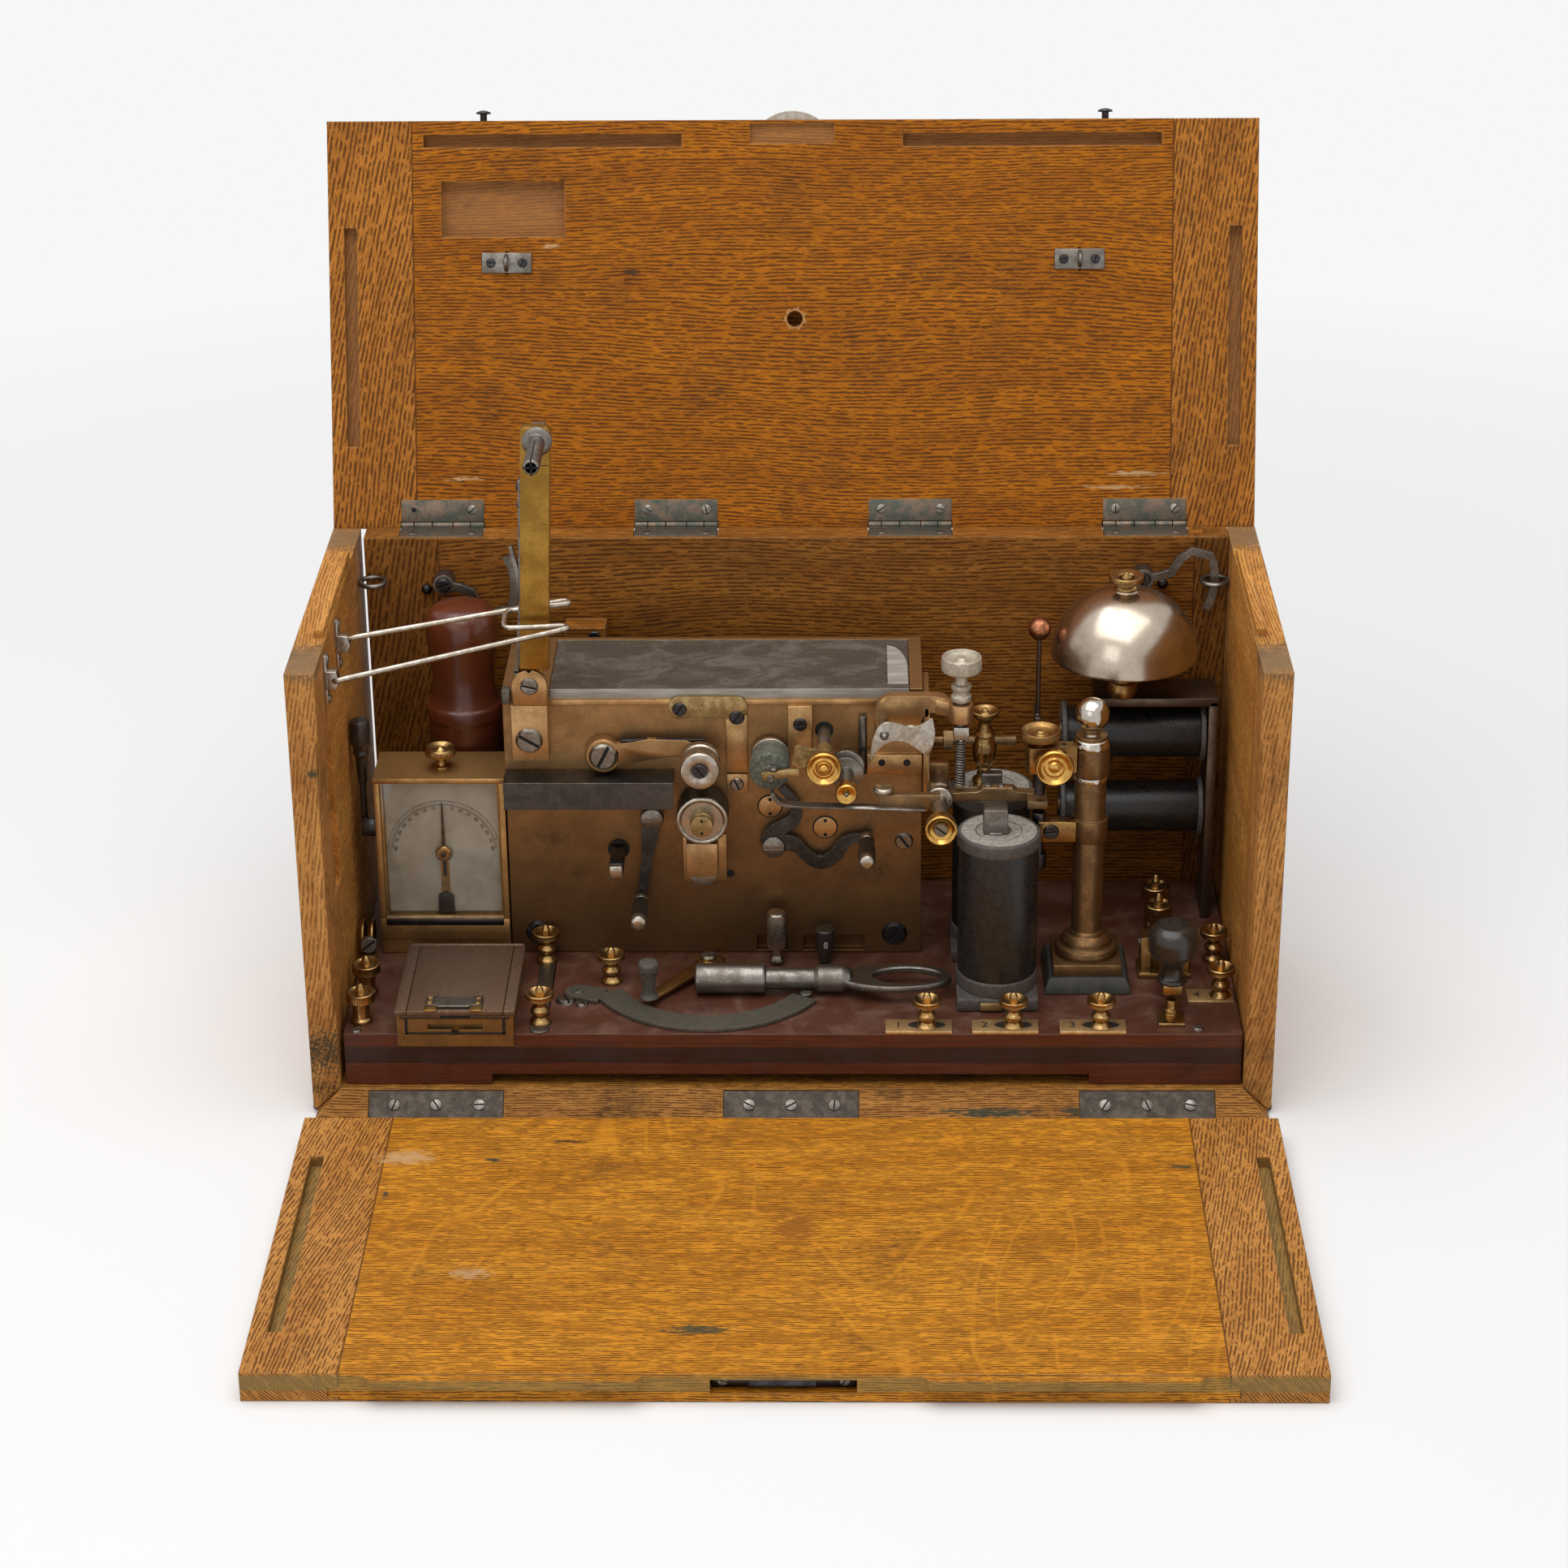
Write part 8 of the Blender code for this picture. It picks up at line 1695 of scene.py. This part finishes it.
for half, level in slope:
    base_points += [(column_x + a * half, column_y + b * half, level)
        for a, b in ((-1, -1), (1, -1), (1, 1), (-1, 1))]
for row in (0, 4):
    base_faces += [(row + i, row + (i + 1) % 4, row + 4 + (i + 1) % 4, row + 4 + i) for i in range(4)]
base_faces += [(3, 2, 1, 0), (8, 9, 10, 11)]
make("column_foot", foot_black, (base_points, base_faces), slot="black")
shaft = mm([(0, 0), (13.4, 0.2), (13.5, 2.2), (13, 4), (11.2, 4.8), (10.8, 5.6), (10.6, 7), (9, 8.6),
    (7.6, 9.4), (7.4, 10.4), (6.6, 11.2), (6.6, 101), (0, 101)])
rings = [turned([(0, 0), (0.0077, 0), (0.0077, h), (0, h)], (column_x, column_y, z), steps=48, ease=0.0006)
    for z, h in ((0.1012, 0.01), (0.131, 0.0125))]
square = block((column_x - 0.0145, column_x + 0.0145), (column_y - 0.0145, column_y + 0.0145),
    (0.0425, 0.0482), 0.0006)
make("column_tube", column_brass, square, turned(shaft, (column_x, column_y, 0.048), steps=64), *rings,
    replaces=["contact_column"])
top = mm([(0, 0), (7.7, 0), (7.8, 1.2), (7, 3.4), (5, 4.6), (3.6, 5.2), (3.4, 6.4), (4, 7.4)])
top += [(0.0072 * math.sin(math.radians(a)), 0.0142 - 0.0072 * math.cos(math.radians(a)))
    for a in range(35, 181, 10)]
make("column_ball", bright_nickel, turned(top + [(0, 0.0214)], (column_x, column_y, 0.1436), steps=56),
    turned(solid_bar(0.0072, 0.0022), (column_x, column_y, 0.1287), steps=48), slot="nickel")
stop_x, stop_y = 0.1035, -0.0215
upper_arm = cut_plate(mm([(99, -26.2), (106, -26.2), (108.5, -24.5), (118.5, -24.5), (118.5, -18.5),
    (108.5, -18.5), (106, -16.8), (99, -16.8), (97.5, -19), (97.5, -24)]), "z", (0.1335, 0.1455), 0.0006)
lower_arm = block((0.103, 0.119), (-0.025, -0.0185), (0.1018, 0.1112), 0.0006)
lower_stop = turned(solid_bar(0.0034, 0.007, (0.002, 0.015), (0.0028, 0.0036)), (stop_x, stop_y, 0.089))
make("column_arms", brass, upper_arm, lower_arm)
make("lower_stop", dark_steel, lower_stop, slot="steel")
make("arm_holes", hole_dark, *[turned(solid_bar(0.0011, 0.0002), (0.1133, -0.0215, z), steps=16, ease=0)
    for z in (0.1454, 0.1111)], slot="black")
screws("lower_arm_screw", [((0.1085, -0.025, 0.1068), (0, -1, 0), 0.0034, 0.15)], dark_steel, Head_Rise=0.3)
knob = mm([(0, 0), (3, 0), (3, 5), (7, 5.4), (7.9, 6.4), (7.9, 9.2), (7.4, 10.2), (7, 10.1), (5.6, 8.6),
    (4.4, 8.4), (3.8, 9), (3, 8.6), (2.4, 8.4), (1.8, 9.2), (0, 9.6)])
make("lock_knob", gold_brass, turned(knob, (0.1088, -0.0248, 0.1402), "front", 56, 0.0003))
stop = mm([(0, 0), (2, 0), (2, 23.5), (3.2, 23.8), (3.2, 25), (7.5, 25.6), (8.5, 26.6), (8.5, 29), (8, 29.8),
    (7.4, 29.7), (6, 28.4), (3, 27.6), (2.2, 27.8), (1.8, 29), (0, 29.6)])
make("stop_screw", brass, turned(stop, (stop_x, stop_y, 0.1225), knurl=(0.0264, 0.029, 60, 0.0002, 0.0084)),
    body="upper_stop_screw", replaces=["upper_stop_screw"])
wound("stop_thread", (stop_x, stop_y, 0.123), "up", dark_steel, "upper_stop_screw", 18, 0.002, 0.0105)

# Bell: a nickelled gong on a steel frame, with two black coils between crinkled cheeks.
# A copper ball on a steel wire strikes it when the armature moves.
gong_x, gong_y, gong_rim = 0.1417, 0.04, 0.16
gong_nickel = metal("gong_nickel", (0.53, 0.455, 0.37, 1), (0.35, 0.283, 0.215, 1), 0.6, 0.2, 0.34,
    cloud=0.035, edge=(0.7, 0.67, 0.6, 1), dirt=0.25, relief=0.04, scratches=0.3)
dome = [(0.03, 0.0008), (0.0313, 0.0), (0.0315, 0.001)]
dome += [(0.0313 * math.cos(math.radians(a)) ** 0.9, 0.029 * math.sin(math.radians(a)))
    for a in range(5, 84, 5)]
dome += [(0.005, 0.029), (0.0048, 0.0296), (0.0033, 0.0298), (0.0033, 0.027), (0.029, 0.01), (0.03, 0.0008)]
make("bell_gong", gong_nickel, turned(dome, (gong_x, gong_y, gong_rim), steps=96, ease=0.0004), slot="nickel",
    replaces=["gong"])
spacer = mm([(3.3, 29), (4.6, 29.2), (5, 30.5), (3.8, 31.8), (4.6, 33), (3.3, 33.2)])
nut = mm([(3.3, 32.8), (6.6, 33), (7.4, 33.8), (7.4, 35.8), (7, 36.2), (4, 35.4), (3.3, 35)])
point = mm([(0, 34), (2.4, 35), (1.6, 36.2), (1, 37.4), (0, 37.6)])
make("gong_nut", bright_brass, turned(spacer + [(0.0033, 0.029)], (gong_x, gong_y, gong_rim)),
    turned(nut + [(0.0033, 0.0328)], (gong_x, gong_y, gong_rim), knurl=(0.0337, 0.0359, 48, 0.0002, 0.0073)),
    turned(point, (gong_x, gong_y, gong_rim)))
frame_steel = metal("bell_frame_steel", (0.165, 0.122, 0.09, 1), (0.088, 0.064, 0.047, 1), 0.7, 0.34, 0.5,
    cloud=0.1, edge=(0.42, 0.39, 0.35, 1), edge_amount=0.8)
frame_bar = block((0.129, 0.1824), (0.034, 0.056), (0.1375, 0.1415), 0.0005)
upright = block((0.1782, 0.1824), (0.034, 0.056), (0.0363, 0.14), 0.0006)
make("bell_bracket", frame_steel, frame_bar, upright, slot="steel", replaces=["bell_frame"])
make("bell_stem", brass, turned(mm([(0, 0), (6.6, 0), (6.8, 3), (6, 6), (5, 7), (4.4, 10), (4.4, 44),
    (2.8, 44.4), (2.8, 52), (0, 52)]), (gong_x, gong_y, 0.1412)))
crinkled = metal("crinkled_cheek", (0.03, 0.027, 0.025, 1), (0.14, 0.13, 0.12, 1), 0.9, 0.4, 0.6, cloud=1.3,
    metallic=0.0, relief=0.9, edge=(0.12, 0.11, 0.1, 1))
for count, z in enumerate((0.1215, 0.086), 1):
    spot = (0.116, 0.045, z)
    body_profile = mm([(0, 1.8), (11, 1.8), (11.2, 2.6), (11.2, 59.5), (0, 59.8)])
    make(f"bell_coil_{count}", wrap, turned(body_profile, spot, "right", 64), slot="black")
    cheeks = [turned([(0, s), (0.013, s), (0.0132, s + 0.0004), (0.0132, s + 0.0018), (0.0128, s + 0.0022),
        (0, s + 0.0022)], spot, "right", 56) for s in (0, 0.0595)]
    make(f"bell_cheeks_{count}", crinkled, *cheeks, slot="black")
    make(f"bell_core_{count}", frame_steel, turned(solid_bar(0.0045, 0.001), (0.1152, 0.045, z), "right", 24),
        slot="steel")
copper = metal("bell_copper", (0.5, 0.2, 0.095, 1), (0.17, 0.065, 0.04, 1), 0.8, 0.25, 0.45, cloud=0.5,
    edge=(0.7, 0.36, 0.2, 1), relief=0.2)
hammer_x, hammer_y = 0.1054, 0.04
leaf = block((0.1042, 0.1066), (0.035, 0.052), (0.078, 0.132), 0.0004)
flat_spring = block((0.1046, 0.1062), (0.037, 0.043), (0.0363, 0.08), 0.0002)
wire = tube([(hammer_x, hammer_y, 0.13), (hammer_x, hammer_y, 0.169)], 0.001, 12)
make("hammer_armature", frame_steel, leaf, flat_spring, wire, body="bell_hammer", slot="steel",
    replaces=["bell_hammer"])
ball = [(0.0049 * math.sin(math.radians(a)), -0.0049 * math.cos(math.radians(a))) for a in range(0, 181, 12)]
make("hammer_ball", copper, turned(ball, (hammer_x, hammer_y, 0.1715), steps=40, ease=0), body="bell_hammer",
    slot="copper")

# Starting and setting knobs: each is screwed on a small slider in the plinth's top.
# One is a knurled nickel bar on a slim neck, the other a black cone with a plain figure.
slider = block((-0.0089, -0.0049), (-0.008, 0.0045), (0.0375, 0.0421), 0.0006)
start = mm([(0, 0), (3.4, 0), (3, 1.2), (2.2, 3), (2.2, 5.5), (3.6, 6.4), (4.2, 7.2), (4.2, 22.2),
    (3.8, 23.2), (2.4, 23.5), (0, 23.5)])
make("start_knob", nickel, slider, turned(start, (-0.0069, -0.008, 0.0375),
    knurl=(0.007, 0.0224, 40, 0.00018, 0.0041)), body="start_lever", slot="nickel", replaces=["start_lever"])
setting = mm([(0, 0), (2.6, 0), (2.6, 2), (3.4, 3), (4, 12), (4.4, 14.8), (4, 15.5), (0, 15.5)])
make("setting_knob", ebonite, block((0.0117, 0.0157), (-0.008, 0.0045), (0.0375, 0.0421), 0.0006),
    turned(setting, (0.0137, -0.008, 0.0375), steps=40), body="setting_lever", slot="black",
    replaces=["setting_lever"])
white_paint = plain_finish("white_paint", (0.42, 0.4, 0.36, 1))
make("setting_figure", white_paint, numeral("8", 0.0042, (0.0142, -0.01205, 0.0465), "front", 0.0002),
    body="setting_lever", slot="black", sharp=20)
